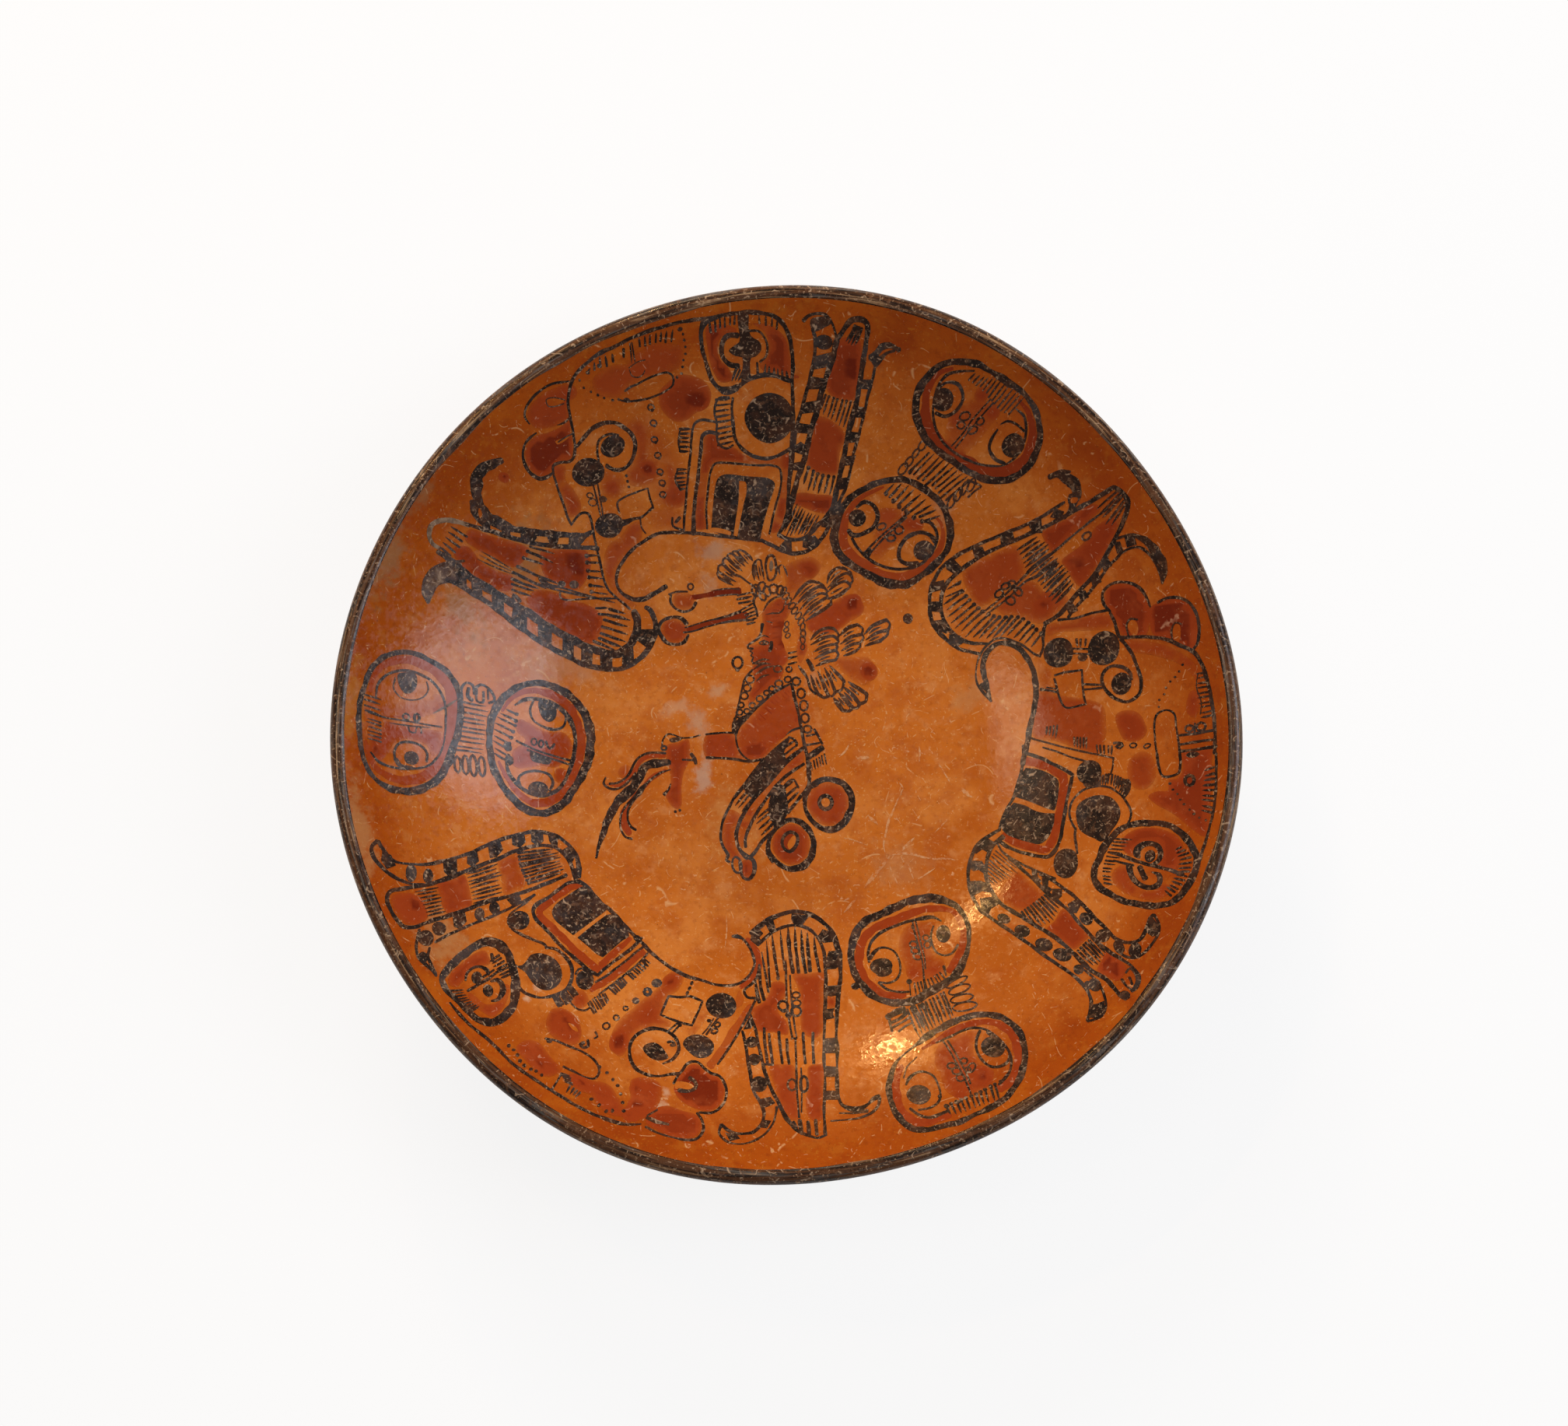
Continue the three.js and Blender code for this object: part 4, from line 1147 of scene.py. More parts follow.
    # head in profile: a plain stylised face
    line(black, "-8.6,47.4,1.3 -9,44.6 -9.9,42.2 -12.4,40.4 -14.2,39.2 -14,38.2 -12.2,37.9", 0.9)
    line(black, "-12.4,37.9 -13.2,37 -12.2,36.3 -13,35.4 -12,34.6 -12.6,33.2 -11.4,32.2 -8,32.4", 0.7)
    line(black, "-9.8,40.2 -8,41 -6.2,40.2", 0.6)
    line(black, "-9.6,39.8 -8,39.4 -6.4,39.9", 0.5)
    disc(black, -8, 40, 0.7)
    line(black, "-10,42.4 -8,43 -6,42.2", 0.7, "both")
    line(black, "-5.2,40.6,1 -5.4,38.2,1.6 -6,37", 1.1)
    ring(black, -18, 32.6, 1.9, 2.3, width=0.9)
    disc(black, -18, 30, 0.9)
    # beaded collar and chains
    for x, y, size in ((-13.3, 26.2, 1.6), (-14.3, 22.9, 1.4), (-15.4, 19.9, 1.4), (-16.6, 16.4, 1.1),
                       (-17.2, 13.6, 1.2), (-18.2, 10.8, 1.1)):
        ring(black, x, y, size, size * 0.95, width=0.7)
    line(black, "-12.4,29.8 -14.8,27 -16.4,22 -17.6,16 -18.9,10.4 -19.4,6", 0.8)
    for x, y, size in ((1, 26.2, 1.3), (-2.4, 24.6, 1.5), (-5, 22.6, 1.2), (-7, 21, 1.1), (-9.6, 18.8, 1.3),
                       (-12.4, 16.2, 1.2), (-14.4, 14, 1.1)):
        ring(black, x, y, size, size * 0.9, width=0.7, tone=0.85)
    line(black, "2.2,24.6,0.7 -3,22 -7,18.8 -11,15.2,1.2 -15,11.4,1.5 -17.6,8,1.4 -18.6,5", 1.1)
    fill(black, "-16.2,12.2 -13.8,12.6 -13.6,11.4 -16.4,10.2 -18.4,7 -19,9.4", tone=1)
    line(black, "-18.9,10 -19.1,6", 2.0)
    for x, y, across, tall in ((4.2, 25.4, 1.5, 1.6), (6, 20.8, 1.5, 1.9), (7, 16.2, 1.5, 2.0),
                               (7.5, 11.4, 1.5, 1.8), (8.4, 7.2, 1.6, 1.4)):
        ring(black, x, y, across, tall, width=0.8, tone=0.85)
    for x, y, turn in ((-0.6, 60.2, 60), (0.2, 58.2, 40), (1.2, 56.2, 50), (2.6, 54.4, 40), (3.6, 52.6, 50),
                       (5, 50.6, 55), (6, 48.4, 60), (6.6, 46.2, 80), (6.8, 43.8, 95), (6.6, 41.4, 95)):
        ring(black, x, y, 1.6, 0.9, turn, width=0.6, tone=0.5)
    for x, y in ((0.6, 47.4), (0.4, 45.2), (1, 43), (6.6, 38.6)):
        ring(black, x, y, 1.1, 0.8, chance.uniform(0, 80), width=0.5, tone=0.4)
    comb(black, "1.2,36.2 1.2,31.8", "4.6,37 4.8,32.8", 3, 0.8)
    ring(black, 1.4, 30, 1.1, 1.0, width=0.7, tone=0.8)
    ring(black, -2.8, 30.2, 1.6, 1.3, width=0.7, tone=0.4)
    # body and skirt
    line(black, "2.4,24.4 3.6,19 5,13 6,8 7,2.4 8.4,-4.4,1.6 9,-10,1.7 8.7,-14.4 5.4,-18.8,1.3 1,-24.6", 1.2)
    line(black, "-18.6,5 -18.2,1.4 -16.6,-2 -14,-4.3 -11,-4.9 -8.6,-4.2", 0.7)
    line(black, "0.4,5 2.4,6.6 5.8,7.8", 0.8, "start")
    comb(black, "8,4.6 8,1.2", "12,5.4 13.6,2.2", 2, 0.9)
    line(black, "11,7.2 12.4,4.6 14,1.6", 0.9, tone=0.8)
    line(black, "8.6,-3.4,2.4 11,-1.8,2.6 14,0,2.2", 2.6)
    comb(black, "9.6,-5.4 14.8,-2.2", "10.2,-8.4 15.6,-6.4", 6, 0.6, "end")
    # raised leg
    line(black, "-19.4,5.8 -24,5.8 -29.8,5.2", 0.8)
    line(black, "-32,5 -35,4.1 -39,3.9 -41.6,4.9 -44.2,5.3 -46,3.2 -46.4,0.6", 0.6, tone=0.8)
    ring(black, -45.6, 0, 1.0, 0.8, width=0.8)
    line(black, "-9,-4.4 -14,-5 -20,-4.1 -29.6,-3.6", 1.0, tone=0.8)
    line(black, "-33.8,-4.6 -38.6,-4.4", 0.8)
    fill(black, "-43.6,3.4 -40.4,4.2 -38.6,3.6 -40.6,2.4 -43,2.2", tone=0.5)
    line(black, "-35.4,-2.2,1.2 -34,-4.2,1.4 -33.6,-6", 1)
    line(black, "-43,-13.6,0.4 -43.6,-15.4,0.8 -45.4,-17.6,1.4", 0.8)
    dots(black, "-41.4,-23.9 -39.7,-23.7", 2, 0.6)
    fill(red, "-19.2,5.4 -29.8,4.9 -29.9,-3.4 -20,-3.9 -15,-4.6 -17.4,-1 -18.6,3", tone=0.75, fade=1)
    fill(red, "-36.6,3.4 -40,2.2 -44.6,1 -44.8,-3 -43.6,-8 -43,-13 -45,-17.4 -43.4,-21 -41,-23 -39.2,-22.4 "
              "-38.9,-14 -38,-9 -36,-4.4", tone=0.85, fade=1)
    # streaming ties behind the raised leg
    line(black, "-45,-2 -48,-1.7 -52,-2 -54.6,-3.3 -56.6,-5.6 -58.2,-9 -60,-11.4 -63,-13.2 -66,-13.6", 0.9)
    line(black, "-56.2,-9.4,0.8 -57.8,-11.6 -61,-14.5 -64,-15.6,0.9 -67,-14.9 -68.2,-13.4 -67.4,-11.2,0.6",
                0.9, tone=0.8)
    line(red, "-45.4,-3 -50,-3 -54,-4.6 -56.6,-8.6 -59.6,-12.4 -63,-14.4 -67,-13.8", 1.6, "end", tone=0.7)
    disc(red, -60.2, -9, 2.8, 2.4, 40, tone=0.6, fade=1.6)
    line(black, "-43.6,-5.6,2.4 -48,-5.7,3 -52.5,-6.9,3.2 -54.6,-10.5,3.4 -57,-15,3.6 -60.6,-18,3.6 "
                "-63.6,-21.6,3.2 -66.2,-27,3 -68,-32,2.2 -69.6,-37,1.4 -70.6,-42,0.8", 3)
    line(black, "-43.2,-8.2,0.5 -47.6,-9.8,0.9 -52,-13.4,1.1 -54.8,-16.8,2 -57.2,-20,1.4 -59,-24,0.9 "
                "-59,-27.4 -57.6,-30 -56,-31", 0.9)
    line(black, "-53.6,-14.6 -57,-19 -60.4,-22.8 -61.8,-26.6 -61.6,-30.6 -60,-33.6 -57.4,-34.4", 0.8)
    line(red, "-45,-8.4,1.4 -50,-11.4,2 -54,-15.6,1.6 -58.2,-20.6,2 -60.4,-24.6,2.6 -60.4,-29,2.6 "
              "-58.4,-32.4,2.2", 2.2, tone=0.75)
    # standing leg, striped cloth and foot
    fill(black, "1.6,4.2 -3.4,0.6 -8.4,-4.4 -12.2,-9.8 -15.6,-14.6 -13.4,-18.4 -11,-19 -7,-14.4 -2.6,-8.8 "
                "0.4,-5 -0.4,-1.6 1,1.6", tone=0.75)
    comb(black, "-1.4,-0.2 -0.6,-2.6 0.4,-4.6", "3.6,3 4.2,1 5,-0.6", 3, 0.9)
    line(black, "1.4,4.2 3.2,3.4 4.4,1.8 4.2,0.8", 0.9, tone=0.8)
    comb(black, "-15.6,-15 -13.6,-17.4 -12,-19", "-20,-20.4 -18.8,-22.4 -16.2,-24", 4, 0.8, tone=0.7)
    line(black, "-8,-4 -13.6,-11.4 -18.8,-18.4 -21.8,-24 -23.5,-28,1 -24.2,-33,1 -23.4,-37 -21.4,-40.6,1.3 "
                "-22,-42.4 -20.8,-43", 1.0)
    line(black, "6.6,0 0,-6 -6,-13 -11.8,-19.4 -15.6,-25 -17.8,-30 -18.2,-35 -16.8,-39,1.6 -14,-41.4,2", 1.4)
    line(black, "7,-6 3,-8.6 -2,-12.8 -6,-17.7 -10,-23.6 -13,-29 -15,-34.6 -14.8,-37.4", 1.2)
    line(black, "-3.4,-30.4 -8,-34.6 -11.8,-40 -13,-41.2", 1.3)
    fill(black, "-3.6,-13.6 -0.2,-14.6 0.4,-17.6 1,-20.6 1,-24.4 -0.6,-27.4 -3.6,-30.6 -5,-28 -6.2,-25 "
                "-6.2,-21 -5.2,-17.4", tone=0.9)
    comb(black, "-0.8,-15.4 0,-18 0.8,-21.2", "3.4,-12 4.6,-14 5,-17", 3, 1.0)
    line(black, "-0.4,-14.4 1.6,-12.4 3.2,-12 4.2,-13.6 5,-15", 0.8)
    comb(black, "-5.8,-22.6 -5.4,-25.4 -4.4,-28.4", "-10.2,-26.4 -10.6,-29.4 -8.8,-32.8", 4, 0.9)
    ring(black, -18.1, -44.2, 1.7, 3.0, 12, width=0.9)
    line(black, "-17,-43 -16.6,-46.6 -15.6,-49 -13.6,-49.6 -11.9,-47.6,1.4 -11.4,-44.6,1.6 -12.4,-42,1.6 "
                "-14,-41.2", 1.2)
    fill(red, "6.6,-0.6 0,-6.6 -6,-13.6 -11.6,-19.8 -15.2,-25.2 -17.4,-30 -17.6,-35 -16,-38 -15.4,-34 "
              "-13.2,-28.8 -10.4,-23.4 -6.4,-17.5 -2,-12.4 3,-8.2 6.8,-5.6", tone=0.7, fade=0.8)
    fill(red, "-20.6,-23.4 -16.4,-25.8 -18.6,-30 -18.8,-35 -17.6,-39 -15,-41.6 -20,-42 -22.8,-38 -23.7,-33 "
              "-22.8,-27.6", tone=0.65, fade=1)
    disc(red, -14.2, -45.6, 2.8, 3.6, 10, tone=0.9, fade=0.8)
    disc(red, -18.2, -43, 1.2, 1.8, tone=0.35, fade=0.8)
    # rosettes
    line(black, "16.3,-11.8,2 21,-13.2,2.4 24.4,-17,2.4 25,-22,2.6 22.6,-27.4,2.8 17.4,-31,2.4 12,-29.4,2 "
                "8.4,-25,1.6 7.4,-20,1.4 9,-15.2,2 12.4,-12.6,2.2", 2.4, closed=True)
    fill(red, "16.3,-13 21,-14.6 23.6,-18 23.8,-22.6 21.6,-27 17,-29.6 12.6,-28.2 9.4,-24.6 8.4,-20 10,-16 "
              "13,-13.8", tone=0.75, fade=1)
    line(black, "7.2,-20 8.6,-15.6 12,-13.6", 1.6)
    fill(red, "15.2,-18.4 16.8,-19.6 17,-21.6 15.4,-22.6 13.6,-21.8 13.4,-19.6", "gap")
    ring(black, 15.1, -20.6, 2.4, 2.6, width=1.5)
    line(black, "1.6,-27.2,1.8 6,-28.4,2.2 9.6,-32,2.2 10.6,-36.6,2.2 9.4,-41.6,2.6 5.6,-45.2,2.6 "
                "1,-45.6,2.2 -3.6,-42.6,1.6 -6.2,-38.6,1.6 -5.8,-34,1.4 -2.8,-29.8,2", 2, closed=True)
    fill(red, "2,-28.6 6,-30 8.6,-33 9.2,-37 7.8,-41.4 4.6,-43.8 1,-44 -2.8,-41.4 -4.8,-38 -4.6,-34 "
              "-1.8,-30.4", tone=0.85, fade=1)
    fill(red, "3.6,-32.8 4.4,-34.4 3.4,-37.4 1.6,-38.6 0.8,-36.6 1.8,-34.4", "gap")
    line(black, "4.4,-33 2,-31.8 -0.6,-33.6 -1.2,-36 -0.2,-38.4 1.6,-39.2 3.6,-37.6 4.6,-35.4", 1.3,
                closed=True)
    line(black, "-6.6,-36.4 -6.4,-40 -4.6,-43", 1.4, tone=0.8)
    # feather fans on the right
    plumes(black, "15.8,63 16.9,66.4 19.8,68.8 22.6,68.6", "16,61.2 19.8,65.1 23.2,66.8 25,65.9",
                  "15.2,59 19,62.3 22.8,63.8 24.4,62.6", "16,56.9 19.8,58.2 23.2,60.6", tone=0.6)
    plumes(black, "3,56.8 6.2,61.3 9.6,63.8 12.9,63.2", "4.3,55 8.5,59.2 12.6,61.8 14.6,61.5",
                  "5.5,52.7 9.2,56.8 13.4,59.2 15.4,58.9", "6.6,50.2 10,53.9 13.4,56.2 15.8,57.6",
                  "7.7,48.5 11.5,51.2 15.2,53.5 17.4,55.2", tone=0.5)
    plumes(black, "9.6,41.3 12.2,44.3 16.4,46 18.4,45.6", "9.6,39.4 14.5,42 18.2,42.8 19.7,41.8",
                  "10.7,36.7 15.2,39 19.2,39.7", "11.1,34 15.2,36.3 19,37.4", "11.5,31.3 15.2,32.9 19,33.6",
                  tone=0.58)
    plumes(black, "20.5,42.8 23.5,45.8 27.3,47.2", "20.9,39.7 25,42.6 29,43.4", "21.2,37.1 25,39.4 28.2,40.2",
                  "22,35.2 24.2,35.9 26.5,36.9", tone=0.6)
    plumes(black, "29.9,43.5 33.3,46.8 38.3,49", "30.4,41.3 34.8,44.1 38.7,45", "30.2,39 33.3,40.1 36.1,41.1",
                  width=1.3, tone=0.65)
    plumes(black, "9.6,27.9 10.7,24.5 12.2,20.7", "12.2,29.4 14.1,25.3 16.3,19.9",
                  "14.8,30.6 17.1,26 18.9,21.5", "16.7,31.5 19.7,28.3 22.2,25.6", width=1.4, tone=0.58)
    plumes(black, "18.2,19.2 19.7,16.9 21.9,14.3", "20.2,21.4 23.2,17.9 25.2,15.4",
                  "21.9,23.4 25.5,20.1 27.9,16.9", "23.8,25.3 27.2,23 30.7,20.6", width=1.6, tone=0.5)
    line(black, "5,31.4,0.6 6.6,29.4,1.3 8.4,26.6 9.4,22.8 11.4,20.6", 0.9)
    line(black, "8.4,33.6 9.6,31.6 10.4,29.8", 1.6, tone=0.9)
    fill(red, "0,69.6 5,72 10,73 13.6,70 12.4,66.6 8,63.4 4,60.2 1,59.4 0.2,63", tone=0.55, fade=2)
    fill(red, "5,70.6 10,71.6 12.8,68.6 10,64.6 6.4,66", tone=0.85, fade=1.8)
    fill(red, "7.8,48.6 12,52.4 17,55.2 21,57.6 25,59 27.4,58 29.8,54.4 29.2,51.4 24,48 19,44.2 13,43.4 9,45",
              tone=0.75, fade=1.2)
    disc(red, 25.6, 55.4, 4.0, 3.2, 60, tone=1, fade=1.6)
    fill(red, "18,33 22,35 27,34.8 31,34.6 33.6,32 35,28.5 33,26 29.5,24 26,25.6 22.4,28.4 19.5,31",
              tone=0.5, fade=1.4)
    disc(red, 31.4, 29.4, 3.4, 3.8, 30, tone=0.95, fade=1.8)
    # washes of head, body and skirt
    fill(red, "-8.5,53 -6.1,55.1 -2.7,57.2 0.7,56.9 2.1,53 0.7,49.5 -1.3,47.4 -2,41.9 0,37.7 1.4,34.2 "
              "-0.6,31.4 -11.4,31.4 -12.2,34 -13.4,38.6 -9.4,40.4 -8.5,46", tone=0.72, fade=0.7)
    line(red, "-2.4,56.4 -3.6,52 -3,47 -3,42 -0.6,37", 4.4, "both", tone=0.92)
    fill(red, "-12,36.6 -6.4,38.6 -1,36.6 -0.8,31.4 -11.4,31.6", tone=0.85, fade=1)
    fill(red, "-12.4,31.2 -0.8,31 -1.2,27.2 -5,23.6 -10,20 -13.6,16 -13.8,20 -11.8,24.6 -12,28", tone=0.88,
              fade=0.7)
    for path in ("-12.4,32 -8.6,33.8 -6,33.6", "-12.2,29.8 -8.4,32.2 -5.4,32", "-11.6,27.8 -7.4,30.6 -4,31.4",
                 "-11,25.4 -8.6,27.4 -6,28"):
        line(black, path, 0.9, "both", tone=0.5)  # folds of the neck, faint
    fill(red, "5.6,43 8.4,39 7.4,35 5.6,32.4 4.4,35 4.4,39", tone=0.75, fade=1)
    fill(red, "2,24.2 3.2,19 4.6,13 5.6,7.8 0.6,5.2 -3.6,1 -8,-3.6 -13,-4.6 -17.6,-0.8 -18.4,4.8 -14.4,10.6 "
              "-8,17.4 -3,21.8", tone=0.6, fade=0.8)
    line(red, "1.4,22 -3,18.6 -7.4,13 -12,8.4", 4.2, "end", tone=0.9)
    line(red, "5,12 0.4,6.4 -6,2.6 -12,1.4", 2.6, "both", tone=0.82)
    disc(red, -11.4, -1, 5.4, 3.4, 8, tone=0.9, fade=1.2)
    line(red, "3.4,17 5,9", 2.2, "both", tone=0.6)
    # small stray spot of slip beside the figure
    disc(black, 46.4, 49.4, 1.9, 2.0, tone=0.55)


# Pair of round faces at the left

def leftFacePair(black, red):
    line(black, "-138,30.2,1.8 -131,28,2 -125,24.5,2 -121.6,19,2.2 -120.4,12,2.2 -121,4,2.6 -122.6,-2,2.8 "
                "-124.2,-8,2.8 -127,-14,3 -132,-19,3 -138,-21.2,2.8 -144,-20.6,2.6 -149,-18,1.4 "
                "-152.4,-13,1.6 -154.3,-6,1.6 -155.1,2,1.8 -154.8,10,1.8 -153,17.5,1.6 -150.5,23.5,2 "
                "-145,28.6,1.8", 2, closed=True)
    line(red, "-151.4,14 -150.4,20 -146,25 -140,27.4 -133,26.4 -126.4,22.4 -123.4,15.4 -123.4,6 -125,-1 "
              "-127.2,-8.6 -131.4,-14 -137,-16.8 -144,-16.6 -149,-13.6 -151.8,-8 -152.6,-4", 4.2, "both",
              tone=0.62)
    line(black, "-149.5,12.4,0.6 -149,17 -146,21 -142,23 -137,23.3,1.1 -131,21 -127.5,17 -125.8,12 "
                "-125.6,5,0.7 -126.2,-2,0.5 -128,-7 -131,-10.6,0.8 -136,-12.4 -143,-12.8 -148,-11.4 "
                "-151,-8,0.6", 0.9, tone=0.9)
    fill(black, "-142.2,21.6 -140.4,22.6 -136.2,22.6 -135.6,19 -137,16 -139.4,15 -141.4,17", tone=0.85)
    line(black, "-143,20.4 -143.6,16.4 -141,13.4 -137,12.9 -133.5,14.4 -131.7,17.5 -132.3,20.2", 0.5,
                tone=0.55)
    line(black, "-142.8,-10 -143,-6.4 -141.4,-3.6 -138,-2.7 -134,-3.7 -131.8,-6.4 -132,-9.4", 0.9, tone=0.9)
    disc(black, -137.2, -8.6, 2.5, 2.6, tone=0.75)
    line(black, "-142.6,-9.6 -140.8,-12 -137,-12.2", 1.4, tone=0.6)
    line(black, "-152,6.6 -146,5.3 -140,5 -132,4.4 -127,4", 0.6)
    line(black, "-145,3.6 -138,3.3 -131,3.4", 0.6, "both")
    ring(black, -139.3, 6.5, 1.1, 1.2, width=0.7)
    ring(black, -135.6, 6.6, 0.9, 1.5, width=1.0)
    line(black, "-138.4,3.2 -138,1.2 -136,1 -135.6,3 -134.2,3 -134,1", 0.6, tone=0.8)
    comb(black, "-153,13 -153.4,10 -153,7.2", "-147.6,11.8 -147.6,8.4 -147.4,5.8", 4, 0.7, tone=0.85)
    comb(black, "-148,3.4 -147.8,-3.8", "-152.4,4.4 -152,-3", 6, 0.6, bead=0.5, tone=0.8)
    fill(red, "-150,8.6 -142,11.4 -134,13.4 -127,16.4 -126.6,12 -131,8 -138,6.6 -145,6.2", tone=0.42,
              fade=1.8)
    fill(red, "-146,4 -140,3.2 -133,2.6 -127.4,2 -127.4,-4 -130,-7 -132,-3.4 -138,-1.4 -143,-3.6 -145.4,-8 "
              "-148,-10.6 -151.4,-8 -151.4,-3 -148,0", tone=0.72, fade=1.8)
    # a smear of the brush
    line(red, "-146,5.7,1.4 -133.5,8.3,2 -126,12.6,2.4 -120.1,16.9,1.6", 2, "both", tone=0.6)
    line(black, "-130,8.8 -125,12.2 -121.4,15", 0.9, "both", tone=0.3)
    disc(red, -149, -7.6, 2.8, 3.4, 20, tone=1, fade=1.8)
    # fringe
    comb(black, "-121.2,14.4 -121,6 -122.4,-4", "-111.2,13.2 -111.4,4 -112,-4.6", 11, 0.7, tone=0.75)
    line(black, "-120,15 -120.2,19 -118.4,21.4 -116.2,20.6 -115.6,17.4", 1.0, tone=0.8)
    line(black, "-117.6,19.4 -117.8,16.4 -116.4,15", 1.4)
    line(black, "-115.4,19.6 -113.4,21.2 -111,20.4 -109,18 -108.4,15.6 -110.4,14.6", 1.0)
    line(black, "-114.8,19.4 -114.6,15 -112.6,14.6 -112.4,18.6", 0.9, tone=0.8)
    line(black, "-110.8,19.4 -110.6,16", 0.8, tone=0.7)
    for x, tall in ((-121.2, 3.0), (-118.4, 3.6), (-115.6, 4.0), (-112.6, 3.8)):
        ring(black, x, -9.4, 1.1, tall, 5, 0.9, tone=0.55)
    # inner face
    line(black, "-92,23.5,2.4 -85,21.5,2.8 -79,17.6,3 -75,11.6,3.2 -73.1,4,3.4 -73.6,-3,3.4 -76,-10,3 "
                "-79.8,-17,3 -84,-22.4,3 -89.5,-25.6,2.8 -94.5,-25.4,3 -100,-22,2.8 -105,-16.4,2.6 "
                "-108.4,-9.5 -110,-2,2.4 -109.8,6,2.4 -108,12.6,3 -104,18.2,2.8 -98.5,22,2.2", 2.6,
                closed=True)
    line(red, "-105.6,12 -103.4,15.6 -99,19.3 -92,20.4 -86,18.6 -81,14.4 -78,8.5 -76.7,2 -77.8,-5 -80.6,-12 "
              "-84.3,-18 -89,-21.6 -94,-21.8 -99.4,-18.5 -104,-12.5 -106.6,-7", 3.6, "both", tone=0.78)
    line(black, "-101,14.6,0.7 -97,17 -91,17.3 -86,15.4,1.7 -82.5,12.4,1.8 -79.8,8,1.8 -78.8,2 -79.8,-5,1.6 "
                "-81.6,-11,1.4 -85,-16.4 -90,-18.8,1.6 -95,-18.4,1.6 -99.5,-15.5 -103,-11 -104,-7,0.8", 1.4)
    fill(black, "-92.4,16.6 -92,12.6 -90.6,10 -88.4,9 -86.4,10.4 -85.8,13.4 -86.2,15.6 -89,17")
    line(black, "-94.4,16.6 -95.6,13 -94.4,9.5 -91,7.3 -87,6.3,1.2 -83.3,7.6 -82.4,10.6 -82.9,13.6", 0.8)
    line(black, "-98.6,-16.2 -99.5,-12.8 -97,-10.5 -92.5,-9.8 -88.5,-10.9 -86.9,-13.8 -88,-17", 1.0)
    disc(black, -92.3, -16.4, 3.7, 2.8)
    line(black, "-100.4,1.2 -94,-1.6 -86,-3.9 -80.6,-5.2", 0.8)
    line(black, "-96.4,-2 -89,-4.4 -80.4,-6.8", 0.8)
    ring(black, -94, 1.2, 1.0, 1.3, width=0.7)
    ring(black, -91.4, 0.6, 0.9, 1.4, width=0.8)
    line(black, "-89.6,1.6 -88.4,-1 -87.4,-0.6 -86.6,0.8", 0.9)
    fill(black, "-95.4,-2.8 -90,-4.2 -87.4,-5 -88.4,-7 -91.6,-6.8 -94.6,-6", tone=0.7)
    ring(black, -92.6, -5.2, 0.8, 0.6, width=0.5)
    comb(black, "-100.4,11.2 -101,6.6 -102.4,2 -103.2,-2 -103.4,-6.8",
                "-104.6,13 -107.6,9 -108.6,3 -108.4,-4", 9, 0.8, bead=0.8)
    fill(black, "-104.6,0.4 -102.4,-0.4 -102,-2.4 -103.8,-3 -105,-1.4")
    fill(black, "-104,-4.6 -101.8,-5 -101.4,-7.4 -103.4,-8.4 -104.4,-6.6")
    fill(red, "-97.4,8.6 -90,5.4 -83,5.2 -80.2,2 -80.2,-3 -86,-8 -91,-7.6 -96,-8.6 -100,-9 -101.8,-3 -97,1.6 "
              "-100.4,5", tone=0.78, fade=2)
    disc(red, -98.6, 7, 2.4, 2.4, tone=0.85, fade=1.6)
    disc(red, -99.6, -6, 2.6, 3, tone=0.85, fade=1.6)
    disc(red, -84, -11, 2.6, 3, tone=0.8, fade=1.4)


# Right group of the border: open jaw, hooked head, mouth under the lip

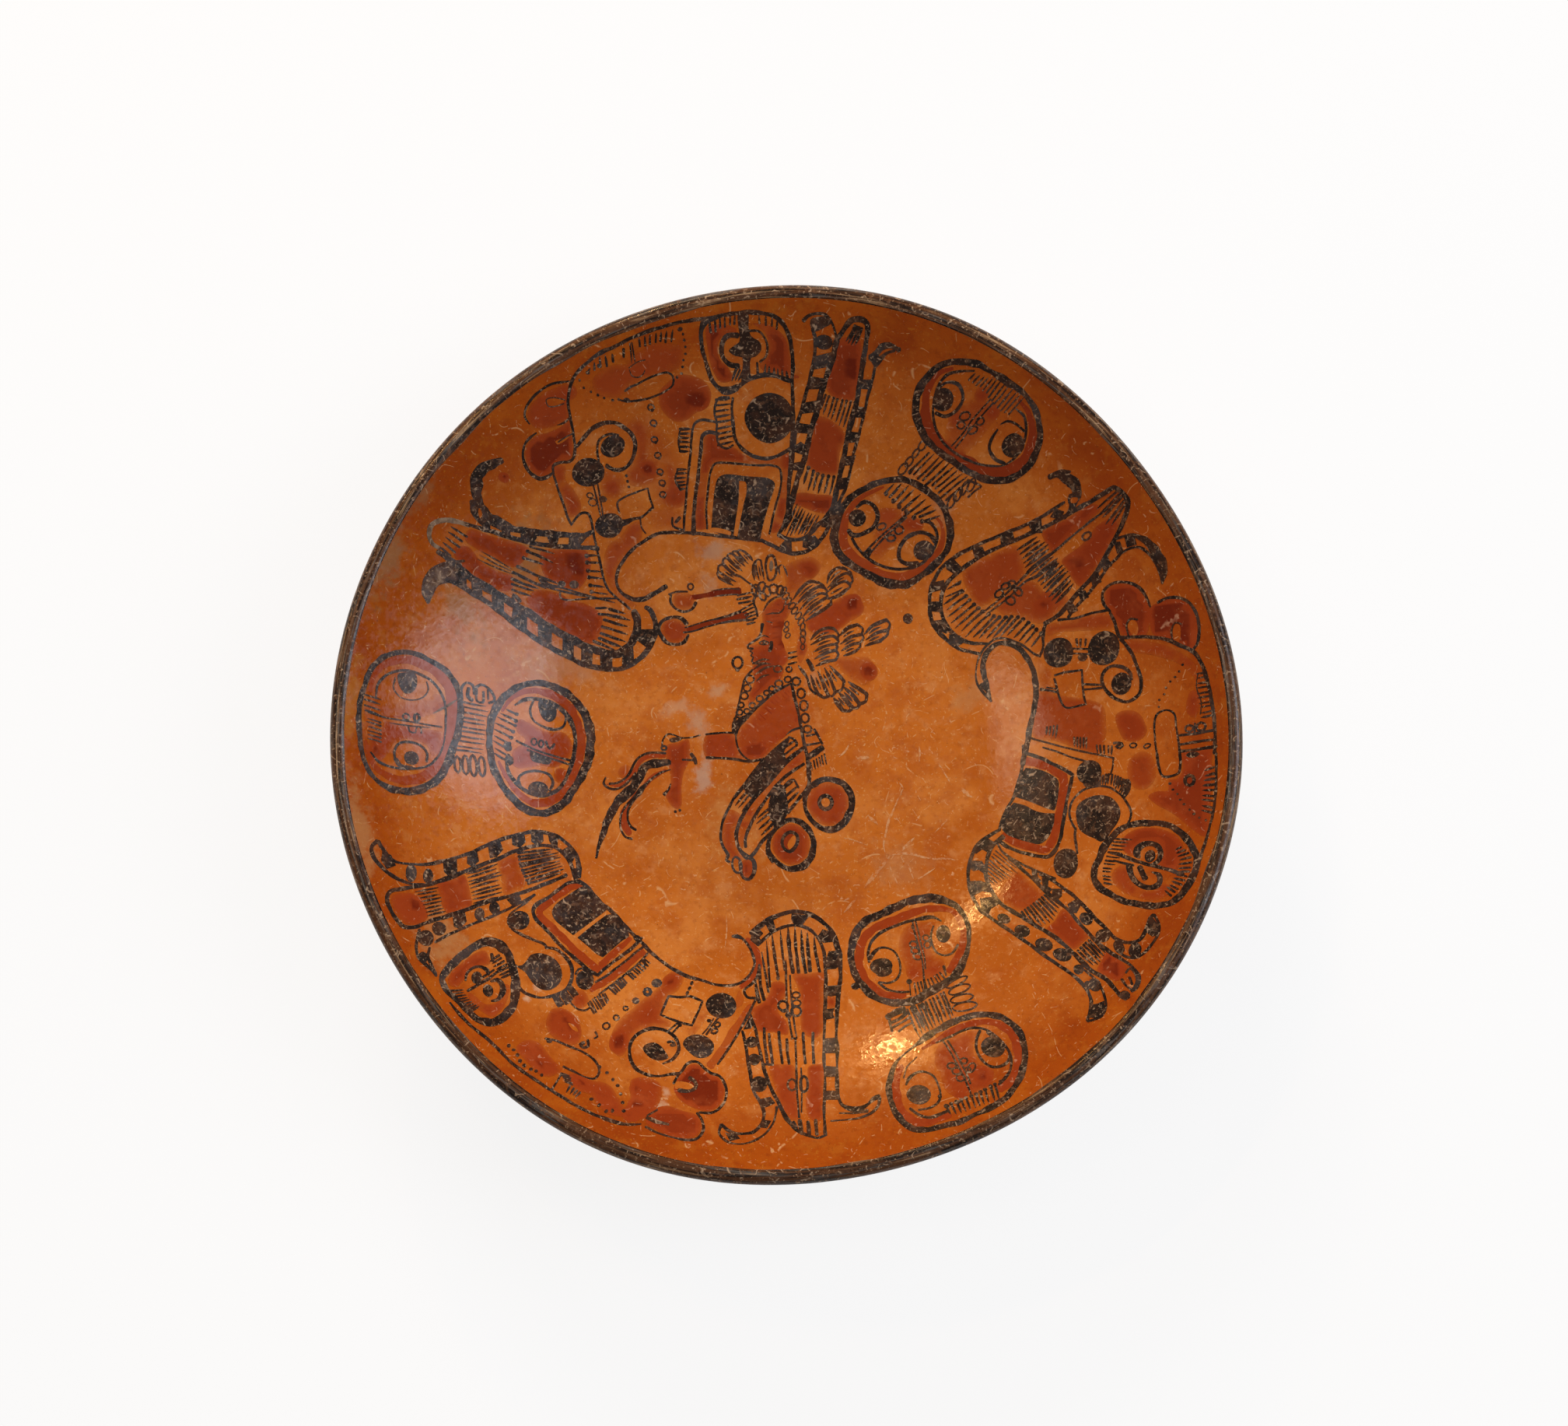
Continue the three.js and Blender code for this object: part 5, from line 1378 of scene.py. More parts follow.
def rightJawAndHead(black, red):
    line(black, "103.6,87.4,1 97,84 90,81 80,78 70,74.4 63,71,1.6 58.4,67 55.3,61,1.5 54.5,54.5 "
                "55.8,47.5,1.6 60,42,1.6 65,38 73,35.4,1.1", 1.3)
    line(black, "121,90.4,1.6 114,87.1,1.8 105,83.1 97,79.7,1.6 88,76.6,1.5 80,74 72,70.4 66,66.6,1.7 "
                "61.5,62.6 59,57.5 59,51.5 61,46.5 65,42 69,39.9 76.4,39,0.9", 1.5)
    line(black, "121,90.4 124.5,87.5 126.1,83.5,1.8 124.6,78.5 122,73 119.5,68.5 117,64,1.6 113.5,59.5 "
                "109,55 105,50.5,1.8 101,47 97.2,45", 1.6)
    line(black, "124,67.4 122.4,65.6 120,63.6 116.6,59 112,53.6 108,49.6 105.6,46.6", 1.1)
    line(black, "98.2,96.6,2.2 100.6,97.2,1.8 103.6,96.2,3.2 106.4,93.4,4.4 107.6,90.2,4.4 106.4,87.6,4", 3,
                tone=0.85)
    line(black, "98.4,97.2 101.4,98.2 105.4,97.6", 1)
    line(black, "107,89.6,3.4 106.8,86.8,3 105.4,83.8,1.6 103.8,81.8,1", 3, tone=0.8)
    fill(black, "103.4,93 105.6,92 106.4,90.2 104.6,90.4", "gap")
    fill(black, "105.8,88.6 108.4,88.4 108,86.8 106,86.9", "gap")
    blackBlocks(black, "100.5,85.7 103.7,84.2 102.4,81.6 98.6,82.8", "90.4,81.6 95.4,83.2 96,77.6 92.6,77.8",
                       "80.4,78.8 85,79.6 86,76 81,74.6", "70,75.2 74.2,74.6 75.6,71.2 71.4,70.8",
                       "60.4,69.8 63.2,71.2 66.6,67.6 63.6,65.4 60.8,67.2",
                       "55.4,62.6 60,63.4 60.2,60 55.6,59", "54.6,55.6 59.4,55.6 59.4,51.4 54.8,52",
                       "55.8,48.4 60,48.8 62,45 60.8,43.4 57.8,44.8",
                       "61.8,43.2 66,42.6 68,40.2 64.6,38.2 61.8,40.2",
                       "116.8,65.4 119.4,66.4 121,63.4 118,61.6", "113.2,60.4 116.2,61.2 117.4,58 114.2,56.8",
                       "109,55 111.6,55.8 113,53 110,52", "104.4,51.2 107.2,51.6 109.2,48.8 106,47.2",
                       "121.4,71.6 123.6,71.4 124.8,68 122.6,67.2", "125,73 128.6,72.4 129.4,69.6 126,69")
    line(black, "122.4,72.6,1 127,73.2,1 131.2,71.4,1.8 134.2,68.6,3 136.8,64.8,3.2 138.6,60.6,2.8 "
                "138.8,57.6,1.8 138.4,54.8,0.8", 2, tone=0.7)
    line(black, "124.4,67.4 127,68.6 130.4,68.4 133.6,65.8 136,62 137.6,58.4 138.4,55", 0.9)
    # hatching
    comb(black, "86.8,72.4 88.4,69.8 89.6,66.6 91,63.6 94.4,60.8 96.6,57.6 99,54 101,52",
         "94.6,76.8 96.8,74.4 99.4,70.6 101.8,67 104.6,63.4 107.4,58.6", 15, 1.2, "both")
    comb(black, "66.8,58.8 70,55 74.6,51 80.4,48.6 88,48 96,41.4",
                "60,54.4 61,50.8 63.4,46.4 68,42.2 76,40.8 84,41.2 92,36.4", 17, 0.9, bead=0.9, tone=0.9)
    fill(black, "66.4,63 66,61.4 63,61 64.6,62.2")
    comb(black, "66,62.4 66.8,59.4", "61,59.8 60.4,57", 2, 0.7)
    comb(black, "122,88.8 123.6,86.8 125,84", "115.4,83.8 115.8,81 120.2,77", 5, 0.9, "end")
    line(black, "74.6,50.8,0.6 80,54.7 86,59.5 92,64.9,1 99,69.6,1 106,74.9 112,79 119,83.4", 0.8)
    line(black, "76.2,50.2,0.6 84,55.6 90,60.8 94,62.4,1.2 101,66.8,1.4", 0.8)
    for x, y, across, tall, turn, tone in ((80.4, 57.2, 1.7, 1.3, 40, 0.9), (82.8, 59.8, 1.7, 1.1, 20, 0.9),
                                           (85, 60.6, 1.4, 1, 0, 0.5), (87.4, 57.4, 1.9, 1.2, 130, 0.6),
                                           (84.6, 54.4, 1.9, 1.4, 150, 0.7),
                                           (111.8, 74.8, 1.7, 1.3, 30, 0.4)):
        ring(black, x, y, across, tall, turn, 0.8, tone=tone)
    fill(red, "67,66 72,69.4 80,72.4 87,74 88.4,70.4 89.4,66 89,62 85,60 80,56.4 76,53.6 72,53.4 70,57 "
              "67.4,61.6", tone=0.62, fade=1.6)
    fill(red, "95.8,78 105,81.8 113,85.6 116.6,84 110,78.4 104,73.4 100,70.4 97,74.4", tone=0.85, fade=1)
    fill(red, "103,67 110,72 117,79 123.2,80 122,75 119,69 115,63 110,57.2 107,60 105,64", tone=0.82, fade=1)
    disc(red, 108.4, 66, 3, 4, 40, tone=1, fade=2)
    fill(red, "79,53 84,57 90,61.5 94,60 98,55.6 103,56.4 105.6,52.6 101,48 96,45.2 90,47 86,49 82,49.4",
              tone=0.6, fade=1.8)
    disc(red, 97, 52, 5.4, 4.4, 30, tone=0.95, fade=4)
    # hooked cheek line
    line(black, "76.4,19.4,1 76,24,1.8 74.6,28,2 74.8,33 77,37 81,39,1.8 86,38 90,34 93,28,2 94,22,2.1 "
                "93.5,15 92,8 90.4,0 88.8,-7", 2)
    line(black, "77.5,17.4,1 72.3,24.2,0.9 71.9,29,0.5 73,34 75.5,38 79.5,40.8,0.9 84,40.2 89,37.8 93,34.5 "
                "95.4,33.2,1.2 95.4,33.2,1.2 96.6,36 96.6,42,1.3 97.8,45.5", 0.8)
    fill(black, "73,23.6 76,20.6 77.6,17.4 77,22 76,25", tone=0.9)
    # brow, lobes and profile
    line(black, "102,45.9 108,46 114,47.2 119.5,47.6", 0.9)
    line(black, "120.4,46.6,1 122,43.5 122.9,40 123.8,37.5 127,37 134,36.3 140,34.6 145,31.6,1.4 "
                "149.6,28.5,1.4 152,24 153.5,19,1.3 155,12 155.8,5 156.2,-2 156,-9", 1.2)
    line(black, "120.4,47 118.3,50 117.8,54 120,56.5 124,57.2 129,55.5 132.6,51.5 134.4,47,0.6", 1.0)
    line(black, "137,48.2 141,49.4 146,48 149.6,43.5 151,37.5 150.6,32 149,29.6", 1.0)
    fill(red, "120,47 118.6,50.5 118.5,54 121,56.4 125,56.6 129.5,54.6 132.5,50.5 134.6,45 134,40 133,37 "
              "128,37.2 124.5,38 122.8,42.5 120.6,45.5", tone=0.9, fade=1)
    fill(red, "134.6,47 138,48.3 142,48.9 146,47.5 149.2,43 150.5,37 150,31.5 148.5,29 145,31.8 140,34.9 "
              "136,36.4 134.2,41", tone=0.95, fade=1)
    fill(red, "126.6,41.6 128,43.2 129.8,42 130.2,38.2 129,37.2 127.6,38.6", "gap")
    line(black, "127,37.6 126.2,41.4 127.6,43.6 130,43", 0.7, tone=0.7)
    fill(red, "142,38 143,39.7 144.4,39.2 144.8,35 144,32.8 142.4,34.5", "gap")
    line(black, "142,34 141.8,38 143,40.2 145,39.4", 0.6, tone=0.6)
    fill(red, "97.8,44.2 103,45.2 119,46.8 121.6,44 121.6,41.4 110,41.2 103,41.4 98,40.8", tone=0.6, fade=1)
    line(black, "124.2,36.8 127,33 129.5,27.5 131.3,21 131,16.6 129,14.4 126,13.5 122.5,15 119.5,18 117.6,22 "
                "118.5,25.5 121,27.2 124.5,26.6 127.5,24 128.2,21.4,0.7", 1.2)
    disc(black, 124.5, 20.3, 3.6, 4.1)
    disc(black, 102.2, 34, 5.4, 5.6)
    disc(black, 118.4, 34, 5.6, 6.3)
    line(black, "107.4,35 113,34.2", 0.8)
    line(black, "107.4,33.2 113,32.5", 0.7)
    comb(black, "108.4,38.4 112,38", "108.8,35.4 111.6,35", 3, 0.8, tone=0.6)
    disc(black, 110.8, 31.4, 1.8, 1.4, tone=0.4)
    line(black, "100.8,25.6 104,26.4 110.6,26.8 110.6,26.8 110.8,22 111.2,17 112,14 112,14 104.6,13.4 "
                "102.6,17 101.6,21 100.6,24.4", 0.8)
    line(black, "111,21.5 117.6,20.7", 0.8)
    line(black, "110.8,19.5 117.6,19.5", 0.8)
    line(black, "95.8,20.8,1.6 97.8,20.4,0.8 101.4,19.4", 0.9)
    line(black, "97.8,21.4 101.4,20.6", 0.6)
    fill(red, "126,36 134,34.6 140,32.4 145,29 149,25.4 151.8,20 151.2,16 149,20 146,24 140,27.6 134,30 "
              "128,31.6 125.4,33.6", tone=0.6, fade=1.8)
    fill(red, "95,32.4 97,29.6 99.5,27.4 99,23 101,18 103,12.8 110,13 114,12 116,7 117,1 116,-4 110,-2.5 "
              "102,1 94,3 94.4,12 95,22", tone=0.48, fade=2)
    fill(red, "94.2,19.3 99.4,18.6 104.7,17.6 117.7,13.1 119,6 118.9,1.8 115.9,-4.8 110,-3 104.5,-0.4 98,2 "
              "93.3,2.4", tone=0.6, fade=1.4)
    fill(red, "122.5,9 125.5,10.4 130,9.2 132.6,5 133,1 130,-1.5 125.5,-0.6 123.5,3", tone=0.8, fade=2)
    # mouth
    dots(black, "145.8,24.6 144.2,22 142.6,20.4 140.8,18.2 139.4,15.2 138,13.3 137.3,10.4", 8, 0.45)
    line(black, "136.8,-9 136,-2 135.9,5 137,8 140,8.9 142.5,7.4 143.3,2 144,-4 144.4,-9", 0.7)
    comb(black, "153.6,21 154.4,14 155,5", "150.2,21 150.4,14 151.6,4.6", 10, 0.7, "end")
    line(black, "150.6,20.6 150.2,16 151.8,10 151.4,6", 0.4, tone=0.6)
    fill(red, "148.5,15 146.8,11 147,7 149.4,5 151,8 151,14", tone=0.75, fade=1.6)
    line(black, "144.4,-0.9 150,-0.9 156,-0.4", 1.0)
    ring(black, 147.6, 1.2, 1.4, 1.2, width=0.8)
    ring(black, 151.6, 1.4, 1.5, 1.5, width=0.8)
    line(black, "149.6,2.8 149.4,-0.6", 0.7)
    # small beads below
    comb(black, "98,6.6 101.6,7", "97.6,3.4 101,2.4", 4, 0.8, tone=0.6)
    comb(black, "107.6,2 112,1.4", "107.6,-1.6 112,-3", 5, 0.8, tone=0.6)
    comb(black, "115.6,-1.6 121,-2.4", "116,-5.4 120.8,-6", 5, 0.7, tone=0.6)
    line(black, "121.6,-1.4 123.6,-1.4 124.8,-2.6 123.8,-3.4 122.4,-2.8 124.6,-1.8", 0.9)
    ring(black, 128.4, -2.9, 1.2, 0.9, width=0.6, tone=0.8)
    ring(black, 133.2, -3.6, 1.2, 0.8, 20, width=0.6, tone=0.7)


# Right group, lower part: framed box, ringed disc, second jaw, round face and the mouth's lower lip

def rightBoxAndJaw(black, red):
    line(black, "89.3,0,1.4 89.2,-5 88.4,-9.5 86.9,-14.7 85.2,-19.8 82.6,-24.2 80.8,-28.6 80,-31.8,1", 1.1)
    line(black, "90.4,-2.9 95.2,-4.8 98.9,-7,1.4 103.3,-9.5 107,-12.1 107,-12.1 106.2,-15.4 104.7,-21.3,1.1 "
                "104,-25.7 103.2,-30.1 102.2,-35.2,1.3 101,-38.6 99.4,-41.3,1.6 97.6,-42.6 93.7,-42.3 "
                "90,-41.1 86.4,-39.9,1.2 82.6,-38 80,-35.9", 1.3)
    line(red, "90,-5.8 94.5,-7 99,-9.3 103.6,-12.4 103.6,-12.4 103.5,-17 102.4,-23 101.3,-28.5 100.2,-33.2 "
              "98.7,-37.6 96.4,-39.9 93,-39.2 88.6,-37.6 84.4,-35.8 81.6,-33.8", 3, tone=0.72)
    fill(black, "90,-8.4 90,-8.4 95.2,-9.4 99,-11.4 101.7,-13.8 101.8,-17.6 101.3,-21.5 100.2,-25.3 "
                "100.2,-25.3 96.6,-23.9 91.5,-21.4 85.5,-19 85.5,-19 87,-14.7 88.5,-10.6")
    fill(black, "85.4,-21.4 85.4,-21.4 89.6,-22.7 93,-24.8 96.8,-26 100.2,-26.3 100.2,-26.3 100,-29.3 "
                "98.9,-33 97.2,-36 94.4,-37.7 90.8,-36.8 86.2,-35.2 82.6,-33.3 80.8,-30.8 81.9,-27.1 "
                "83.4,-24")
    # second jaw
    line(black, "79.6,-31.8,1 76.6,-33.4,1.4 73.6,-35.3 71.4,-37.7 69.8,-41 68.7,-44.5 68.2,-48 68.4,-51.6 "
                "69.4,-55.7 71,-59.4 73,-62.8 76,-65 80,-68 85.5,-72.4 91,-76.8 96,-81.2 101,-85.2 105.5,-89 "
                "108,-92 109.8,-95.5 110.5,-98.5 110,-102 108.8,-105.8,1", 1.3)
    line(black, "81.4,-34.3,1.8 78.6,-36.2 76.6,-39 75.3,-43 74.8,-48 75.6,-52.4 77.6,-56.4 80,-59.8,1.4 "
                "84,-62.8 89,-66.4 94,-69.9 98.6,-73.2,1.6 102.2,-76.8 105.6,-80.4 108.6,-84.4 112,-87.6 "
                "116,-90.4,1.8 118.4,-93.4 120.4,-96.6 122.4,-98.2,1.4", 1.5)
    line(black, "108.6,-86.4,0.8 111.6,-89.4 114,-93.2 115.3,-97.5 115.4,-101.3 113.8,-104.2 111.4,-105.3 "
                "108.8,-105.9", 0.9)
    blackBlocks(black, "72.4,-36.2 75.4,-34.4 78.4,-36.4 76,-40.4 73.6,-38.8 71.4,-40.4 70.4,-40",
                       "69.4,-43 73.4,-43.2 75,-46 74.4,-48.4 72.2,-46.6 70.2,-47 69,-46",
                       "68.6,-50.8 73,-50.8 76.4,-52.6 77.8,-56 73.4,-54.8 70,-56.4",
                       "72.4,-57.6 77.4,-57 79.6,-59.8 76.4,-61.6 75,-64.6 73,-62.8",
                       "112.6,-99.5 115,-98.5 115.2,-102.5 112.5,-105 109.6,-104.6 110.4,-99.8")
    for x, y, across, tall, turn in ((80.9, -65.6, 2.5, 1.8, -30), (87.4, -70.6, 2.9, 2.3, -20),
                                     (95, -76.2, 3.2, 2.5, -25), (101.3, -80.4, 3.4, 2.4, -20),
                                     (106.8, -86.2, 1.9, 1.9, 0), (112.1, -92.4, 2.2, 2.6, 20),
                                     (109.6, -92.4, 1.3, 1.8, 0), (122.2, -96.8, 1.9, 1.7, -30)):
        disc(black, x, y, across, tall, turn, tone=0.95)
    line(black, "79.2,-36.6,0.7 80.6,-39.4 84,-42.6 88,-45 92,-47.2 96,-49.3 99.8,-51.3", 0.9)
    line(black, "83.4,-42.4 87,-46 91,-50.1,1.2 95,-54.4 98.6,-58.4,1.6 102,-61.4 104.6,-64 107.8,-68.6,1.2 "
                "111.4,-73.4 115,-77.4 118.4,-80.6,1.4 122,-83.4 125,-86,0.9 127,-89 127.3,-91.8 126,-94.2 "
                "124.6,-95.4", 1.3)
    line(black, "94.2,-49.2,0.8 98.2,-51.4 102,-54.4,1.2 106,-58 109.4,-62 113,-66.6,1.6 117,-71.4 "
                "119.4,-74.6 122.2,-76.6 125.4,-77.1 128,-76.4 130,-74 131.3,-71 132.3,-68.4 133.4,-67.2,1.2",
                1.3)
    line(black, "133.6,-67.2,1 134.9,-70 135.1,-73 133.8,-76 131.4,-79.4 128.8,-81.8 126,-83 123.4,-82.4 "
                "121.2,-80.6", 1)
    blackBlocks(black, "91.4,-46.8 93.2,-47.4 93.8,-50.4 95,-51.8 93.6,-53.4 91.6,-50.4",
                       "95,-50.4 97.4,-51.6 97.2,-54 98.8,-55.2 97.4,-56.6 95.2,-54.2",
                       "98.8,-55 102.2,-55.2 102,-58 100.4,-59.4 98.4,-57.6",
                       "103.8,-61.2 107,-59.4 108.6,-61.8 107,-64.8 105.2,-64.6",
                       "131.3,-71 133,-68 134.8,-71 134.4,-75 132.6,-75.4 130.6,-73.6")
    for x, y, across, tall, turn in ((110.2, -67.2, 2.1, 2.7, 35), (115.8, -73.9, 2.6, 2.5, 0),
                                     (121.1, -78.6, 1.8, 2.7, 20), (126.5, -80, 2.2, 2.8, -20)):
        disc(black, x, y, across, tall, turn, tone=0.9)
    comb(black, "78.6,-39.4 76.6,-42.4 75.6,-46.4 75.6,-50", "87,-47.2 84.8,-49.6 81,-51 78,-52.6", 9, 0.5,
                tone=0.85)
    comb(black, "95.8,-57.2 92.4,-59.8 87.4,-63.2", "101.2,-63 97,-68.6 91.2,-69.2", 9, 0.9)
    comb(black, "112,-74.4 109.4,-76.4 105.8,-80", "116.2,-80.2 114.4,-83.2 111.4,-86.4", 7, 1.0)
    line(black, "123,-88.4 124.4,-86.8 126,-88.6 126.4,-91.6,0.6 125,-94.6", 0.8)
    line(black, "121.4,-90.8 122.8,-93.2 124.8,-95.2", 0.9)
    line(black, "124,-90.2 124.8,-92.8", 1.0)
    fill(red, "86.2,-47.6 89.4,-50.4 93,-54 96.4,-57.8 93.6,-60.4 90,-63.2 86.2,-63 82,-60.2 79.4,-57.4 "
              "81,-53.6 83,-50.4", tone=0.58, fade=1.8)
    fill(red, "102.2,-62.8 105,-65.4 108.6,-70.2 110.8,-73.6 108.4,-76.4 105.8,-78.6 102.6,-76.4 99,-73 "
              "96.2,-70.4 99,-67.4", tone=0.82, fade=0.9)
    fill(red, "116.6,-79.8 120,-82.6 123,-85.8 122.6,-88.6 119.8,-91.4 116.8,-89.6 113.2,-86.8 114.8,-83.6",
              tone=0.95, fade=0.9)
    # ringed disc, its beads and the tied stroke
    fill(black, "108.8,-23.5 111.3,-21.6 115.7,-20.5 120.1,-21.6 122.7,-24.6 123.5,-28 122.3,-31.5 "
                "120.1,-34.5 118.6,-36.8 116.4,-38.2 114.2,-36.8 111.3,-35.2 109,-33 108,-29.3 107.9,-25.9")
    line(black, "107.6,-32.8 106.2,-30 105.5,-26.4 106.4,-22.4 108.6,-19.6 111.4,-17.8 115.4,-17.1,0.7 "
                "119.6,-17.8 123.4,-20.6 126,-24.6 127.2,-28 126.6,-30.8 125.8,-32.4", 0.8)
    disc(black, 112.9, -11.6, 4.5, 4.6)
    fill(black, "110.8,-14.6 115.6,-14.6 116.6,-17 112.8,-17.6 110.8,-16.4", tone=0.7)
    comb(black, "116.6,-13.4 120,-12.8 123.6,-14.4 126.6,-16.4",
                "116.4,-17.4 119.2,-17 122,-18.4 124.4,-21.6", 11, 0.8, tone=0.8)
    line(black, "123.4,-16.8 126.4,-16 126.6,-19 124.6,-22", 1.4, tone=0.7)
    line(black, "91.6,2.9 98,0.6 104.6,-1.7 110,-3.4 115.2,-5 121.6,-7", 0.7, tone=0.6)
    line(black, "111.8,-7.4 106,-5.2 100.6,-2.6 96.4,-1", 0.7)
    line(black, "121.4,-7 121.2,-10 120.4,-13", 0.6, tone=0.7)
    fill(black, "99.6,-44 101.1,-41.1 104,-40 106.9,-41.1 108,-44 107.7,-47.7 105.8,-50.6 103.3,-51.3 "
                "100.7,-49.9 99.5,-46.9", tone=0.8)
    line(black, "108,-42 107.4,-37.4 107.3,-34.4 107.6,-32.6", 0.9, tone=0.7)
    # round face
    line(black, "120,-37.2 123.4,-34 127,-32.7,2.2 132,-32.4 137,-33,2 141.4,-35 145,-38.6 147.4,-42.4,2.4 "
                "148.8,-47 148.2,-51.6,2.6 146,-56.2 143.2,-60.4,2.4 139,-63.2 134,-63.9 129,-63,2.4 "
                "124,-61.4 119.6,-58.8 115.6,-55.8,2.4 113.6,-52.2 113.9,-48.6 115.5,-44.8 117.2,-40.6,2.8",
                2.4, closed=True)
    fill(red, "124.6,-36.8 128.4,-34.6 133.4,-34.2 138.4,-35.6 142.6,-38.6 144.6,-43 143.4,-47 142,-51 "
              "138.4,-50.4 134.6,-48.6 137.2,-45 136.2,-41 132.8,-39.4 129,-41 127.4,-44.4 124.6,-43 "
              "123.2,-40", tone=0.85, fade=1.4)
    fill(red, "123.6,-47.4 126,-50 126.6,-53.4 129,-56.8 133.4,-58.2 137,-56 139.6,-56.8 138.4,-60 "
              "134.4,-61.8 129,-60.6 123.8,-58 120.2,-54 120,-50.4", tone=0.66, fade=1.4)
    fill(black, "127.6,-44.6 127.8,-41.6 130,-39.7 133.2,-39.2 136.6,-40.8 137.8,-44 137,-47 135,-48.6 "
                "133.4,-48 135.4,-46.4 135.8,-43.4 134.2,-41.4 131.6,-41.4 130,-43 129.8,-45.6", tone=0.92)
    disc(black, 133.2, -45, 1.8, 2.4, -15)
    fill(black, "124.9,-47.6 126.8,-48 127.4,-51.4 129.4,-54.4 132.8,-56 135.2,-54.8 135,-52.4 133.2,-51 "
                "136.4,-51.6 137.2,-54 136,-57 132.4,-57.8 128.6,-56.2 126,-53", tone=0.92)
    line(black, "129.4,-48.8 130.4,-51.2 131.2,-53.4", 1.9)
    line(black, "119.6,-42.6,1 123.6,-44 127.6,-46.2 131.6,-47.8 136,-49.4 140,-50.9 144,-53", 1.3)
    line(black, "120.6,-45.6,0.6 124.6,-47.2,1 127.4,-48", 0.9)
    comb(black, "121.6,-37.4 119.6,-40.6 118,-44.6 116.8,-49 117,-54",
                "127,-38.2 124.4,-41.8 122.6,-45.6 119.8,-50 119.8,-54.8", 13, 0.7, tone=0.95)
    comb(black, "143.8,-42.6 146.8,-46 146.6,-50.6 143.6,-56.4 139.6,-60.6",
                "141.6,-43.6 142.6,-47.4 142.6,-51.6 140,-55 137.4,-58.2", 13, 0.8)
    # lower lip of the mouth
    fill(red, "126.4,-10 128.4,-6.8 131.6,-5.4 134.6,-7.4 136,-12 135.4,-16.8 132.6,-19.6 129,-19.2 "
              "126.6,-15.6", tone=0.62, fade=1)
    line(black, "136.6,-7 137,-11 137.8,-14.6 139,-15.7 141.6,-15.7 143.8,-14.8 144.4,-12 144.2,-6", 0.9)
    fill(red, "145,-7.6 150,-7.4 154.6,-6.8 154.8,-15 154.4,-24 153.8,-31 151.8,-39.4 148.4,-37 144.4,-32.6 "
              "140.4,-29 135.6,-25.6 133.2,-22.4 136.6,-20.8 140,-21 140.4,-17.4 143.6,-16.6 145.2,-13",
              tone=0.86, fade=2)
    fill(red, "133.6,-22 137,-21.4 141,-24.6 146,-30.4 151,-35 150.6,-37.4 147,-35.4 141,-29.4 135.6,-25.4",
              tone=0.6, fade=1.6)
    dots(black, "139.8,-16.2 141.4,-19.8 143.1,-22.7 144.2,-25 145.6,-27.3 148,-30.2 150.2,-32.3 152.4,-33.4",
                10, 0.5)
    line(black, "144.4,-4.4 150,-4 156.4,-3.8", 0.9)
    line(black, "144.6,-6.8 150,-6.9 156.6,-6.4", 1.1)
    disc(black, 148.6, -8.6, 2.3, 1.1)
    ring(black, 147.4, -18, 1.5, 1.9, width=1.2)
    comb(black, "155.6,-14 155.6,-22 154.8,-31", "152.4,-15 151.6,-23.6 150.8,-29.4", 9, 0.9, tone=0.9)
    line(black, "156.4,-9 156.2,-20 155,-30 152.4,-40 149.6,-48,1.4", 0.9)


# Pair of round faces at the lower right

